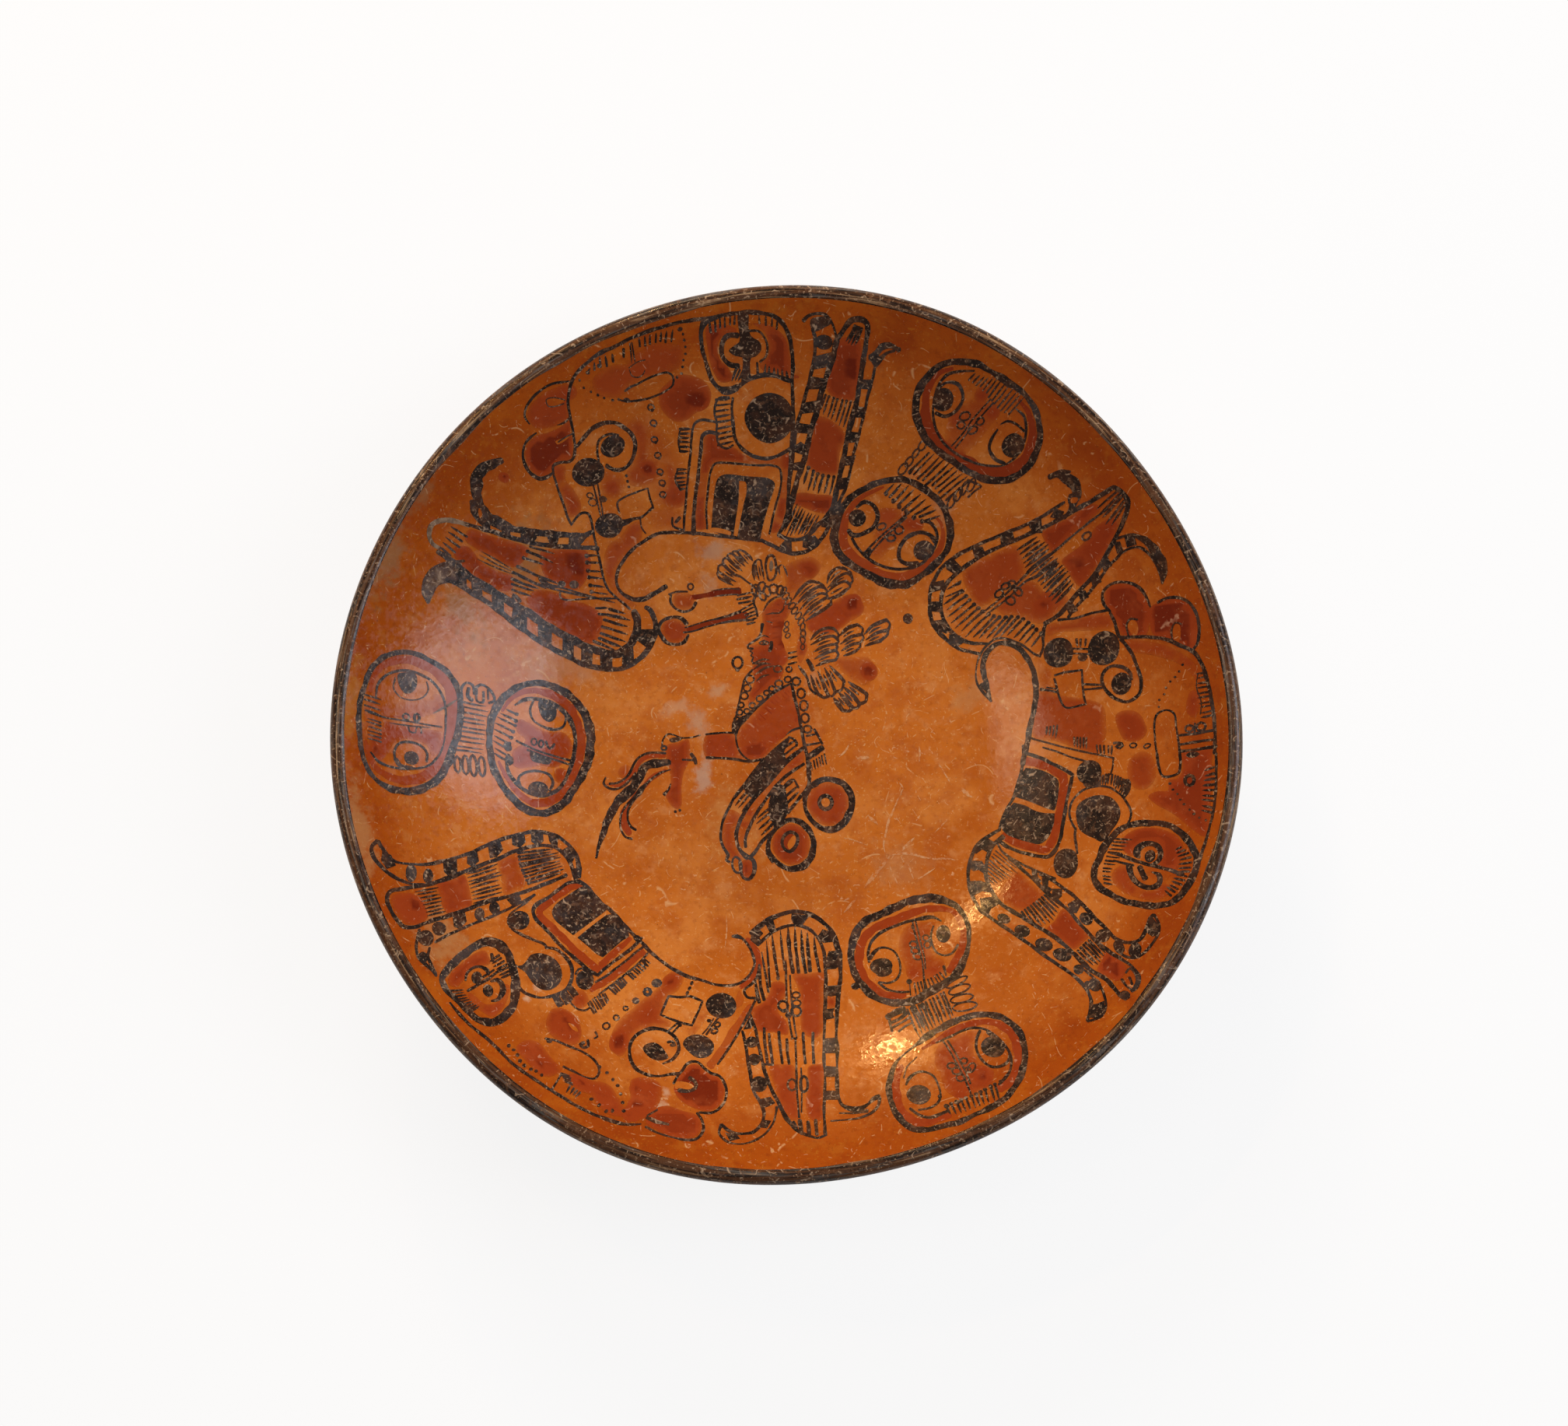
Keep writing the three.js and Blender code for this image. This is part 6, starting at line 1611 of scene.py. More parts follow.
def lowerFacePair(black, red):
    line(black, "24.4,-78,2.6 25.2,-73.4,3 27.2,-68.4 30.8,-65,3.2 36,-62.6 41,-60.3 46,-58.2 52,-56.9,3.6 "
                "57,-57.4 62,-59.2,2.6 65.6,-62.4,2 67.6,-66.8,1.7 68.1,-72,1.6 67.2,-78,1.8 65,-83.2 "
                "61.6,-87.8,2.8 57,-90.8,3.2 51.6,-94 46.6,-96.3,3 41,-96.9 35.6,-95.8,2.2 31,-92.6 "
                "27.6,-88.8 25.4,-84.4,2.4", 3, closed=True)
    disc(black, 26, -90.3, 1.7, 1.4)
    line(red, "28,-84.4 27.4,-79.6 28.4,-74 31,-70 35.6,-67.2 41,-65 46.6,-62.8 52.4,-61.2,2.6 58,-61,2.2 "
              "62.6,-62.6,1.8 65.4,-66.4 66.1,-71.4,2 65.6,-76,3 63.4,-81,3.4 60.4,-85,2.4", 3.2, tone=0.74)
    line(red, "28,-84 30,-88.4 33.4,-92 38,-94 43.6,-93.6,3.6", 3.2, tone=0.78)
    line(black, "31.2,-81 30.8,-77.4 32.2,-73.2 35.4,-70 40,-67.8 45,-65.9 49.4,-65 52.4,-64.4,1.6 "
                "55.4,-64.4 58,-65.8,0.7", 1.1)
    line(black, "34.6,-89 37.6,-91.6 41.6,-92.7 45.6,-92.7", 0.9)
    line(black, "31.6,-79.8,1.2 33,-77.4,1.4 35.4,-75.7 38.4,-75.9 41,-77.8 42.5,-81.4 42.6,-85 41,-88 "
                "38,-89.2 34.8,-88.8", 0.8)
    disc(black, 35.7, -82.7, 4.2, 3.1, 5)
    disc(black, 36.6, -85, 3.2, 1.7, 12, tone=0.7)
    disc(black, 58.7, -70.8, 2.6, 3.4, 0, tone=0.95)
    line(black, "55.2,-67.6,0.5 54.2,-71 54.6,-75 56.4,-78 59,-79 61.8,-78.2 64,-75", 0.8)
    line(black, "47.3,-65.4 48.2,-70 49.4,-75 50.6,-80 51.2,-86 51.6,-92.6", 0.7)
    line(black, "48.6,-65.8 49.6,-70 50.6,-75 51.6,-79.4 51.9,-84", 0.6)
    disc(black, 47.5, -67.8, 0.7, 1)
    for x, y, across, tall, tone in ((47.7, -74.6, 1.5, 1.3, 0.9), (48.2, -77, 1.5, 1.2, 0.9),
                                     (49, -79.3, 1.5, 1.2, 0.7), (52.3, -72.2, 1.3, 1.1, 0.5),
                                     (52.8, -74.8, 1.2, 1.4, 0.4)):
        ring(black, x, y, across, tall, -20, 0.7, tone=tone)
    fill(red, "44,-69 47,-66.4 52.4,-66 56,-66.4 55,-70 53.4,-74 55,-78.8 58.6,-81 58.8,-85 56,-88.4 "
              "52,-88.2 48,-89.4 45.6,-87.6 44.4,-83 42.4,-78 42.4,-73", tone=0.55, fade=2.2)
    disc(red, 47.6, -85.2, 2.8, 3.2, 0, tone=0.75, fade=2)
    disc(red, 55, -84.8, 3, 2.6, 0, tone=0.75, fade=2)
    comb(black, "47.6,-89.6 51,-88.8 54.4,-87.4 57.2,-85.6", "48.2,-94.2 52.6,-93.2 56.6,-91.2 59.4,-88.8", 9,
                0.6, bead=0.4)
    disc(black, 45.8, -88.8, 1.1, 1.0)
    line(black, "46,-89 46.2,-94", 0.5)
    line(black, "58.6,-83.2,1.2 59.4,-86.6", 0.7)
    # fringe between the two
    line(black, "43.6,-99.2 40.6,-100.6,2.6 37.6,-102.4,2.2", 2.6)
    line(black, "38.4,-104.6 42,-103 45,-100.6", 1.2)
    line(black, "39.2,-106.4 43,-104.2 46,-102.4", 0.9)
    line(black, "41.6,-107.8 44,-105.8 46.6,-104.6", 0.8)
    line(black, "38,-101 38.4,-104 39.2,-107.6", 1.0)
    comb(black, "44.8,-99.4 49.4,-97.6 54,-95.4 58.4,-93", "49,-110 52.6,-108.4 57,-105.4 61.8,-102.6", 11,
                0.9)
    line(black, "47,-98.2,2 49.4,-102.6,1.4 50.6,-106", 1.6, tone=0.85)
    line(black, "50.4,-97.6,1.8 52,-101,1", 1.6)
    for x, y, across, tall, turn in ((63.2, -89.4, 4.4, 1.1, 28), (64, -92.2, 4.2, 1.5, 20),
                                     (64.8, -95.7, 4.3, 1.5, 12), (65.8, -98.8, 4.5, 1.6, 10)):
        ring(black, x, y, across, tall, turn, 0.65, tone=0.85)
    # outer face
    line(black, "40.4,-119.6,1.2 38.4,-124.4,2 37.6,-130,2.2 38.5,-135.4 41,-140.4,2.4 45,-144 50,-145 "
                "56,-143.7,1.8 62,-142.2 68,-139.6,1.6 74,-136.8 79,-133.4,2.2 83,-128.6 85.6,-122.4,2.4 "
                "86.5,-116 85.6,-110.6,2.6 82.6,-106.2 78,-103,2.6 72.6,-101.9 66,-103 60,-105.2,2.8 "
                "55,-107.9 51,-110.6,2.4 47,-113.6,1 43,-116.8,0.6", 2.2, closed=True)
    line(red, "42,-121 40.4,-126 40.1,-131.4,3.4 41.7,-137 45,-140.8,3.2 49.6,-142.2 55,-141 59,-139.6,2",
              2.6, tone=0.72)
    line(red, "77,-130.2 80.6,-127.8 83,-124 84.1,-118.4 83.4,-112.4 80.6,-108 76.4,-105.4,2.4 71,-104.8,2 "
              "65.6,-106.4 60,-109 54.6,-111.8,1.6 50,-114.6,1", 3, tone=0.8)
    line(black, "43,-125.4,0.6 44.4,-121.2,0.5 48,-117.6,0.4", 0.5, tone=0.5)
    line(black, "55,-112.4,0.5 60,-110.2 65,-107.8 69,-107 73,-107.8 76.6,-110.4 79.6,-113.8 81.5,-118.4 "
                "81.1,-123 78.6,-126.8,1.2 76.8,-128.6", 0.9)
    line(black, "45,-137 47.8,-139.2 51.4,-140.4 55,-139.4,1.4 58.4,-138", 1)
    line(black, "43.8,-128 45,-125.6,1.2 47.8,-123.5 51,-123.3 53.8,-125 55.3,-128.4 56,-132.4 54.8,-135 "
                "52,-136.8 48,-137.6", 0.8)
    disc(black, 55.7, -132.6, 0.8, 0.8)
    disc(black, 48.2, -131.8, 4.3, 3.7, 0, tone=0.7)
    line(black, "71,-108.2 69.6,-111.4 69.5,-115.4 71.2,-119.2 74,-121.6 77.6,-121.8 80.4,-120 81.2,-116.8",
                1)
    disc(black, 75.4, -114.4, 4.4, 3.9, -15)
    line(black, "73.8,-108.6 75.6,-111", 1.4, tone=0.8)
    line(black, "57.6,-111.8 59.8,-115.4 62,-120 64.2,-124.6 65.8,-129 66.8,-132", 0.7)
    line(black, "59.2,-111.6 61.4,-115.4 63.6,-120 65.6,-124.6 66.8,-128", 0.7)
    for x, y, across, tall, turn, tone in ((60.3, -121.2, 1.6, 1.2, 0, 0.85), (62, -123.2, 1.6, 1.3, 0, 0.95),
                                           (63.4, -125.8, 1.6, 1.3, 0, 0.85),
                                           (64.8, -119.4, 1.3, 1.1, 0, 0.7), (67.4, -122, 1.2, 2, -30, 0.85),
                                           (66, -122.8, 1.2, 1, 0, 0.7)):
        ring(black, x, y, across, tall, turn, 0.7, tone=tone)
    fill(red, "55.4,-114 60,-111 65,-108.8 70,-108.4 68.4,-113 68.8,-118 71.6,-122.4 75,-123 74.6,-127.6 "
              "71,-130.4 66.4,-132.4 60.6,-132.6 57.4,-129.6 56.4,-124.6 54.4,-120", tone=0.62, fade=2.2)
    disc(red, 71, -125.6, 3.8, 4.4, 0, tone=0.95, fade=3)
    disc(red, 63, -132, 2.6, 1.6, 0, tone=1, fade=1)
    comb(black, "57.8,-136.2 61.6,-134.6 66,-133 70.6,-131 75.4,-128.4",
                "59.4,-139.4 63.6,-139 67.4,-137.6 72,-136 76.6,-134.2", 11, 0.8, bead=0.8)
    disc(black, 58, -136.3, 1.1, 0.9, -20)
    disc(black, 61.8, -134.8, 1.3, 0.8, 10)
    disc(black, 77.6, -127.4, 0.9, 0.6)


# Lower-left group of the border: open jaw hanging below the dancer

def bottomJaw(black, red):
    line(black, "-12.6,-70,2 -10,-67.6,2.2 -6.6,-65,1.8 -2,-62.9 3,-61.8,1.5 8,-62.2 12,-64.2,1.6 15.4,-67 "
                "18,-71,2.2 19.6,-75.4,2.2 20.3,-80.6,2 20.5,-86,1.4 20,-91.4,1.6 19.4,-96.4 19,-102 "
                "18.8,-108.6,0.9 19,-114 18.9,-121,0.8 18.9,-127 19.3,-132.4,1 20.6,-135.4,1.4 23.6,-136.8,2 "
                "27,-136.8,1.7 30,-135,1 32.2,-133,1.6 34,-132.4,1.8", 1.6)
    line(black, "34.2,-132.8,1.4 33.4,-136 30.8,-138.6 27,-140.2,0.8 22,-140.9,0.6 16.4,-141.3,0.5", 1,
                tone=0.7)
    line(black, "19.6,-138.4,0.6 24.4,-138.4,0.8 29.6,-137.6,1.4", 1, tone=0.5)
    line(black, "-10.2,-74.6,0.8 -7.4,-71.6,1.2 -4,-69 0,-67.4 4,-66.9,1 8,-67.8 11,-70.2 13.4,-74,1.2 "
                "14.6,-78.6,1.4 15,-84 15,-90,1.6 14.8,-97,1.4 14.5,-104 14.2,-111,0.9 14.2,-118 "
                "14.5,-125,0.9 14.3,-132 14,-139,1 14.4,-146,1.4", 1.2)
    line(black, "14.8,-146.4,0.9 11.6,-147.6,0.8 8,-146.6,1 5,-145.2,1.4 2.4,-142.8,1.4 0,-139.6,1.6 "
                "-2,-135.4,1.4 -4.6,-130.2,1.4 -6.8,-125,1.4 -8.4,-119,1.3 -9.8,-112.6,1.2 -11,-106.6,1 "
                "-12.8,-101,0.8", 1.3)
    line(black, "-15.8,-107.4,1 -14.8,-111 -14,-116 -13.2,-121,1.4 -12.3,-126.4,1.4 -11,-131,1.2 -8.8,-134.8 "
                "-7.7,-138.6 -8.6,-142.4,1.2 -11,-145.2 -14.6,-146,0.9 -18.4,-145.8,1 -21,-144.4,1.3 "
                "-22.8,-142.6,1", 1.2)
    line(black, "-23,-142.8,1.4 -23.8,-145.6 -22.2,-148,1 -18.8,-149.6,0.7 -14.4,-149.7,0.5 -10,-148 "
                "-6.8,-145.6,0.7 -4.4,-142 -3.4,-138.6 -3,-136,1", 0.8, tone=0.75)
    blackBlocks(black, "-12.6,-70.4 -9.8,-68 -8.2,-70 -9.6,-71.6 -8.6,-73.6 -10.6,-74.6 -13,-72.6",
                       "-7.4,-66.4 -4.6,-64.4 -3.6,-67.8 -5.8,-69.6",
                       "2.4,-62.4 9.2,-63.2 7.4,-65.4 6.2,-67.4 3.4,-66.8 2.2,-64.6",
                       "14,-68.4 17.2,-69.6 18.8,-73.2 14.2,-73.6 12,-71.2",
                       "15.4,-79.4 16.2,-76.8 19.8,-76.6 20.4,-82.4 18.6,-83.6 15.2,-83.8",
                       "15,-90.2 19.8,-89.8 19.8,-93.6 16.8,-94.2 15,-93.6",
                       "15,-99 18.2,-98.6 17.6,-100.4 18.2,-102.4 15.2,-103",
                       "-15.4,-106.8 -13.6,-102.6 -12.2,-101.4 -11.4,-104.6 -12.6,-106.4",
                       "-9.4,-133.2 -5.4,-132.2 -3.6,-134.6 -6,-135.8 -7.8,-136.4",
                       "-8,-140.8 -5,-141.2 -6.6,-144 -9.4,-143.6",
                       "-21.6,-145.6 -17.4,-146.4 -16.2,-147.8 -19.8,-148.8")
    blackBlocks(black, "14.4,-110.2 18.8,-109.8 18.9,-115.8 14.4,-115.8",
                       "14.5,-120.6 18.9,-121 18.9,-124.8 14.5,-124.8",
                       "14.4,-130 18.9,-130 19.2,-133.4 14.2,-133.4", tone=0.45)
    for x, y, across, tall, turn in ((-12.3, -111.5, 2.3, 2.2, 0), (-11.4, -118.2, 2.3, 2.2, 0),
                                     (-9.5, -127.4, 3, 3, 0)):
        disc(black, x, y, across, tall, turn, tone=0.9)
    fill(red, "15.4,-94.4 18.4,-94.4 18.2,-98.2 15.4,-98.2", tone=0.75, fade=0.6)
    for path, width in (("-8.8,-77 -7.6,-84 -6.2,-92.4", 0.9), ("-7,-72.8 -6.4,-80 -5.6,-90.4", 0.8),
                        ("-5,-69.8 -4,-78 -2.6,-87", 1.1), ("-1.8,-68.8 -1.2,-76 -0.2,-84", 0.9),
                        ("1,-67.6 1.6,-76 2.8,-85", 1.5), ("3.6,-67.6 4,-76 5,-85", 1.2),
                        ("6,-68.8 6.4,-77 7.6,-85", 1.3), ("8.2,-69.8 8.6,-77 9.2,-84.4", 1.4),
                        ("10.8,-71.4 11.4,-78 12.8,-84.6", 1.2), ("-9.4,-82 -9.2,-90 -7.8,-95.4", 1.3),
                        ("-11,-87.4 -10.6,-92 -9.6,-96.4", 1.3), ("0.2,-80 0.4,-86", 0.8)):
        line(black, path, width, "start")
    disc(black, -2.7, -87, 0.7, 0.9)
    line(black, "0.2,-84 0.4,-90 0.6,-96 1.4,-103 2.6,-109.8", 0.8)
    line(black, "1.8,-86 2.2,-94 3,-102 4.2,-110 4.2,-110 2.2,-110.2", 0.7)
    line(black, "3.8,-110 4,-119 4.2,-128 5,-140", 0.8)
    line(black, "5.8,-121.4 6,-128 5.9,-138", 0.6)
    for x, y, across, tall, width, tone in ((-0.8, -97.6, 1.8, 1.8, 0.9, 0.95),
                                            (4, -93.6, 1.5, 1.2, 0.7, 0.7), (4.2, -96.6, 1.6, 1.2, 0.7, 0.8),
                                            (4.1, -99.8, 1.8, 1.8, 0.9, 0.95),
                                            (1.2, -101.2, 0.9, 0.8, 0.8, 0.95),
                                            (2.4, -127.8, 1.6, 2.2, 0.8, 0.5),
                                            (6.8, -127.6, 1.4, 3, 1, 0.85)):
        ring(black, x, y, across, tall, 0, width, tone=tone)
    disc(black, -0.4, -99.6, 1.3, 0.7)
    fill(red, "2.8,-85.4 8,-85.4 14.2,-85 14.2,-92 14,-100 13.8,-107 10.8,-110.2 6.4,-107.8 5.6,-102 5.6,-96 "
              "4.8,-91", tone=0.72, fade=1.2)
    fill(red, "-4.6,-88.6 -1,-88.6 0.2,-90 0,-94 -2.4,-97 -2.4,-100.4 0.4,-103.4 1,-108.6 -4.6,-107.8 "
              "-10.4,-107 -12,-101.4 -11.4,-98.4 -8.2,-96.4 -5.8,-92.4", tone=0.85, fade=1.1)
    fill(red, "-5.6,-120.4 -1,-120 3,-120.4 4,-126 4.6,-133 5,-139.8 3.4,-141 0.8,-139.8 -1.6,-135.4 "
              "-3.6,-129", tone=0.68, fade=1)
    fill(red, "8.4,-121 11,-120 13.8,-120.2 13.8,-128 13.4,-136 13.4,-140.6 10.8,-141.4 8.4,-139.8 7.4,-134 "
              "8.4,-128", tone=0.76, fade=1)
    for path in ("-7.8,-106.2 -7.4,-113 -6.4,-120", "-6,-108.4 -5.4,-114 -4.6,-120",
                 "-2.4,-107.6 -1.8,-114 -1,-119.6", "0.6,-110.4 0.8,-115 1.4,-119.8",
                 "6.6,-108 6.8,-114 7.4,-119.6", "10.2,-108 10.2,-114 10.4,-119.6"):
        line(black, path, 1.1)
    for path, width in (("3,-141.6 4,-143.8", 1.2), ("5.2,-141 6,-146", 1.5), ("8.2,-141.6 8.6,-146.6", 1.4),
                        ("11,-141 11.4,-146.4", 1.2)):
        line(black, path, width, tone=0.85)
    line(black, "-7.6,-120 -4.4,-120.2", 0.9)
    # curl that runs on to the hooked head
    line(red, "-14.2,-72.6 -11.4,-76 -10.1,-80 -10.4,-84 -12.6,-87.4,2.2 -16.4,-90.6,1.6", 2.6, tone=0.7)
    line(red, "-12.6,-98 -16,-103.4,3.2 -20.4,-110,3.2 -24,-116 -27.4,-120.6", 3, tone=0.5)
    line(red, "-17,-92 -17,-96 -18.6,-99", 2.6, "both", tone=0.35)
    line(black, "-19.6,-71.1,1.2 -18,-71,1.6 -16,-72,1 -13.6,-74.8 -12,-78.4 -11.4,-82 -12.6,-85 -15,-87.8 "
                "-18.4,-89.6 -22.6,-90 -27,-89.4 -31,-88 -35,-86.8", 1)
    line(black, "-9.6,-82 -10.4,-86.6 -12.6,-89.4 -15.2,-91.8 -14,-94.4 -10.8,-94.8", 1)
    line(black, "-10.8,-95 -12.4,-98.4 -14.2,-102.2,1.2 -17,-107.6 -20.6,-113.8 -24.6,-120", 0.9)
    disc(black, -23.5, -97.7, 5.7, 4.8, -8)


# Lower-left group: second jaw, framed box, ringed disc and round face

def leftBoxAndJaw(black, red):
    line(black, "-76.8,-49.6,1.6 -77,-44.4,1.8 -78.4,-40.4 -81,-37.2,1.3 -84.6,-34.6 -88.6,-33.2 "
                "-93,-32.8,1.4 -97.4,-33.8 -102,-35.4 -106.6,-37.2 -111,-39.6 -115,-42 -119.6,-44.2,1.1 "
                "-125,-46.2 -130,-47.9,1.4 -135,-48.4,0.8 -139,-48.3,0.8 -141.8,-47.8,1.1 -144.4,-45.4,1 "
                "-146.4,-42.8 -147.5,-40.9", 1.4)
    line(black, "-147.8,-40.8,1.4 -149.5,-43 -149.2,-46,1.4 -147,-49.4,1.2 -143.6,-52.4,1.4 -139.6,-54.7 "
                "-135.6,-55.9,0.9 -131.6,-55.7,0.8", 1.3)
    line(black, "-77.8,-50.4,1.6 -79.2,-46.8 -80.6,-43.2,1.4 -83,-40.4 -86,-38.4 -90,-37.9,1.2 -94,-38.6 "
                "-98,-39.9 -102,-41.6,1.6 -106,-44 -110.6,-46.2 -115,-48.4,1.8 -119,-50.4,1.6 -124,-53,1.8 "
                "-129,-55.3,1.4 -134,-56.7 -139,-58,1.4 -142,-59 -143.4,-60.6 -143.4,-63.6,1.4 -141.8,-67 "
                "-139.6,-70.2 -137.4,-72.2,1.4 -134,-72 -130,-70.2,1.2 -125,-68 -119,-65.3,1.6 -113,-62.5 "
                "-107,-59.9,1.2 -101,-57.8 -96,-56 -91,-53.6,1.4 -86,-51.3 -81.4,-49", 1.4)
    line(black, "-92.6,-57,0.9 -95.4,-59 -99,-61.2 -103,-63.6 -107,-65.9 -111.6,-68.2 -116,-70.4 -120,-72.8 "
                "-123.6,-75 -126.6,-77.2", 1, tone=0.9)
    line(black, "-132.2,-72.8,0.9 -132.7,-76.4 -132.9,-80 -132,-83,1.2 -129.6,-85.6,1.3 -127.4,-87.6 "
                "-125.6,-89.8", 1)
    line(black, "-128.4,-79.4,0.8 -128.8,-82.4 -127.6,-85.8 -125.8,-89", 1)
    blackBlocks(black, "-146,-44.4 -143,-45.6 -141.2,-49.4 -144.2,-51 -146.2,-48",
                       "-125.4,-46.4 -120.6,-45.2 -120.2,-50.4 -122.6,-52.4 -124.8,-50.4",
                       "-117,-43.6 -113.6,-41.8 -112.8,-45.4 -115,-47.8 -117,-46.6",
                       "-109.8,-39.6 -105.6,-37.2 -104.4,-40.4 -106.6,-43.4 -109,-44",
                       "-101.4,-35.4 -97,-34 -96.4,-37 -98.4,-39.4 -101.2,-38.4",
                       "-94.6,-33.2 -90.2,-33 -90,-36.4 -92,-38.4 -94.4,-36.8",
                       "-88.4,-33.6 -84.8,-34.8 -84.8,-38.6 -86.4,-38.8 -88,-36",
                       "-83.4,-39.6 -80.6,-37.8 -78.2,-41 -79.2,-43.8 -81.2,-41.6",
                       "-79.4,-46.4 -77.2,-46 -76.9,-50 -78.4,-50.4",
                       "-102.6,-59.4 -98.2,-57.2 -97.2,-59.6 -100.4,-61.8",
                       "-121.2,-66.8 -117,-65.2 -116.2,-68.6 -118.6,-71.8 -120.6,-70.8")
    for x, y, across, tall, turn, tone in ((-136, -51.8, 1.9, 3.4, 0, 0.75),
                                           (-130.2, -52.4, 1.7, 2.8, 0, 0.95),
                                           (-111.9, -65.6, 1.8, 2.5, 0, 0.6),
                                           (-106.7, -63, 1.9, 2.6, 10, 0.95),
                                           (-125.6, -72, 2.4, 2.6, 20, 0.6), (-129.9, -75.8, 2.7, 3, 20, 0.7),
                                           (-130.4, -83.2, 1.7, 2.2, 0, 0.85)):
        disc(black, x, y, across, tall, turn, tone=tone)
    comb(black, "-98.8,-41.4 -98.2,-45 -96.8,-49 -95,-52.8", "-86.8,-39.2 -83.6,-42.2 -83,-45 -82.4,-47.8",
                10, 0.9, bead=0.7)
    comb(black, "-117,-50.6 -116,-54.4 -114.8,-58.4 -114.2,-61.6",
                "-105.8,-45.8 -105.2,-50.6 -104.4,-55 -103.8,-58.2", 9, 0.9, "both")
    comb(black, "-134.4,-58.6 -132,-62.4 -130.2,-66.4 -129.4,-69",
                "-126.8,-56.4 -125.8,-59.8 -124.2,-64 -123,-66.6", 9, 0.8, "both")
    fill(red, "-106.6,-44.8 -103,-42.8 -99.4,-41.8 -98.2,-45.4 -96.6,-49.4 -96,-53.6 -99,-56 -103.4,-57.8 "
              "-104.2,-55 -105,-50.6 -105.8,-47.6", tone=0.58, fade=1)
    fill(red, "-127,-54.8 -122.6,-53 -117.8,-51 -116.4,-54 -115.2,-58.6 -114.8,-62.6 -119,-64.6 -122.6,-66.2 "
              "-124.6,-64 -125.8,-59.6", tone=0.82, fade=0.8)
    fill(red, "-141.6,-60.6 -137.8,-59.4 -134.6,-59.6 -131.2,-63 -129.6,-68 -132.2,-70.6 -135.8,-71.4 "
              "-138.2,-70 -140.6,-66.6 -142.2,-63", tone=0.76, fade=1)
    disc(red, -134, -63.4, 3, 3.4, 30, tone=1, fade=2)
    # framed box
    line(black, "-76.8,-51.4 -80.4,-51.8 -83,-53.8 -86,-56.3 -89,-58.7 -91.6,-60.5,1.6 -93,-62.8 "
                "-92.4,-65.6,1.5 -89.4,-68.9 -85.6,-73 -81.8,-77 -77.8,-80.5,1.4 -74,-83.8 -71.2,-85.8 "
                "-69,-86.8 -69,-86.8 -66.4,-84.2 -63.6,-81.7,1 -60.4,-79.2 -57.6,-76.8 -55,-74.2 -53.4,-72.2",
                1.3)
    line(black, "-77,-51.2,1.6 -74.4,-52.4 -71.6,-55.8 -68.4,-59.2,1.6 -65.4,-61.6 -62.4,-64.4 -59.4,-68 "
                "-56.6,-70.8 -53.8,-73.4,1.2 -50.4,-77 -46.4,-80.6,1.1 -42,-83.6 -37.6,-86 -33,-87.8,1", 1.4)
    line(red, "-76.6,-52.6 -79.6,-53.4 -83.6,-56.3 -87.2,-59.4 -90.6,-62.8 -90.2,-65.4 -86.6,-68.7 "
              "-82.4,-72.8 -78.4,-76.8 -74.4,-80.4 -71,-83.2 -68.9,-84.8 -68.9,-84.8 -66.4,-81.4 "
              "-63,-77.8,2.2 -59.8,-74.9,2 -57.6,-72.6,1.8", 2.7, tone=0.76)
    fill(black, "-76.2,-53.4 -74.4,-52.8 -71,-56.8 -68,-59.8 -66.4,-61.6 -67.8,-63 -67.8,-63 -72.4,-66.9 "
                "-78.4,-71.9 -78.4,-71.9 -81.8,-69.2 -85.2,-66.2 -86.3,-63.4 -85,-60.4 -81.8,-57.6 "
                "-78.8,-55.2", tone=0.85)
    fill(black, "-76.8,-72.8 -76.8,-72.8 -73,-69.2 -66.6,-63.8 -66.6,-63.8 -64.4,-63.4 -61.6,-66.2 "
                "-58.6,-69.6 -58,-71.6 -60.4,-73.4 -64,-76.8 -67.4,-80 -67.4,-80 -69.4,-79 -73,-75.9")
    fill(black, "-56.6,-71.6 -54.6,-71.2 -53.6,-72.6 -55.4,-73.6")
    line(black, "-69.8,-89.6 -66.4,-87.4 -62.8,-84.4 -58.4,-80.6 -55,-77.4 -52.4,-75.4", 0.9)
    line(red, "-71.2,-92.6,2 -67.4,-90 -63.2,-86.6 -59.4,-83.4 -55.8,-80.2 -52.8,-77.6", 2.8, tone=0.66)
    line(black, "-68.4,-94.2,0.7 -64.2,-90.8 -60.4,-87.4 -56.8,-84.4 -53.4,-81 -51,-78", 0.8)
    comb(black, "-58.4,-86 -54.8,-83.4 -52,-80.4", "-56.2,-88 -52.8,-85.2 -50,-82", 8, 0.7, "", tone=0.8)
    comb(black, "-64.8,-91.4 -62.2,-89.4 -60,-87.8", "-62.2,-94 -60,-92 -58.4,-89.8", 7, 0.8, "", tone=0.6)
    comb(black, "-72.2,-97.6 -69.8,-95.4 -66.2,-93.8", "-70,-101.4 -67.4,-99.6 -64.8,-96.6", 8, 0.7, "",
                tone=0.6)
    line(black, "-52.8,-80.6 -51.6,-82.4 -53,-83", 0.9)
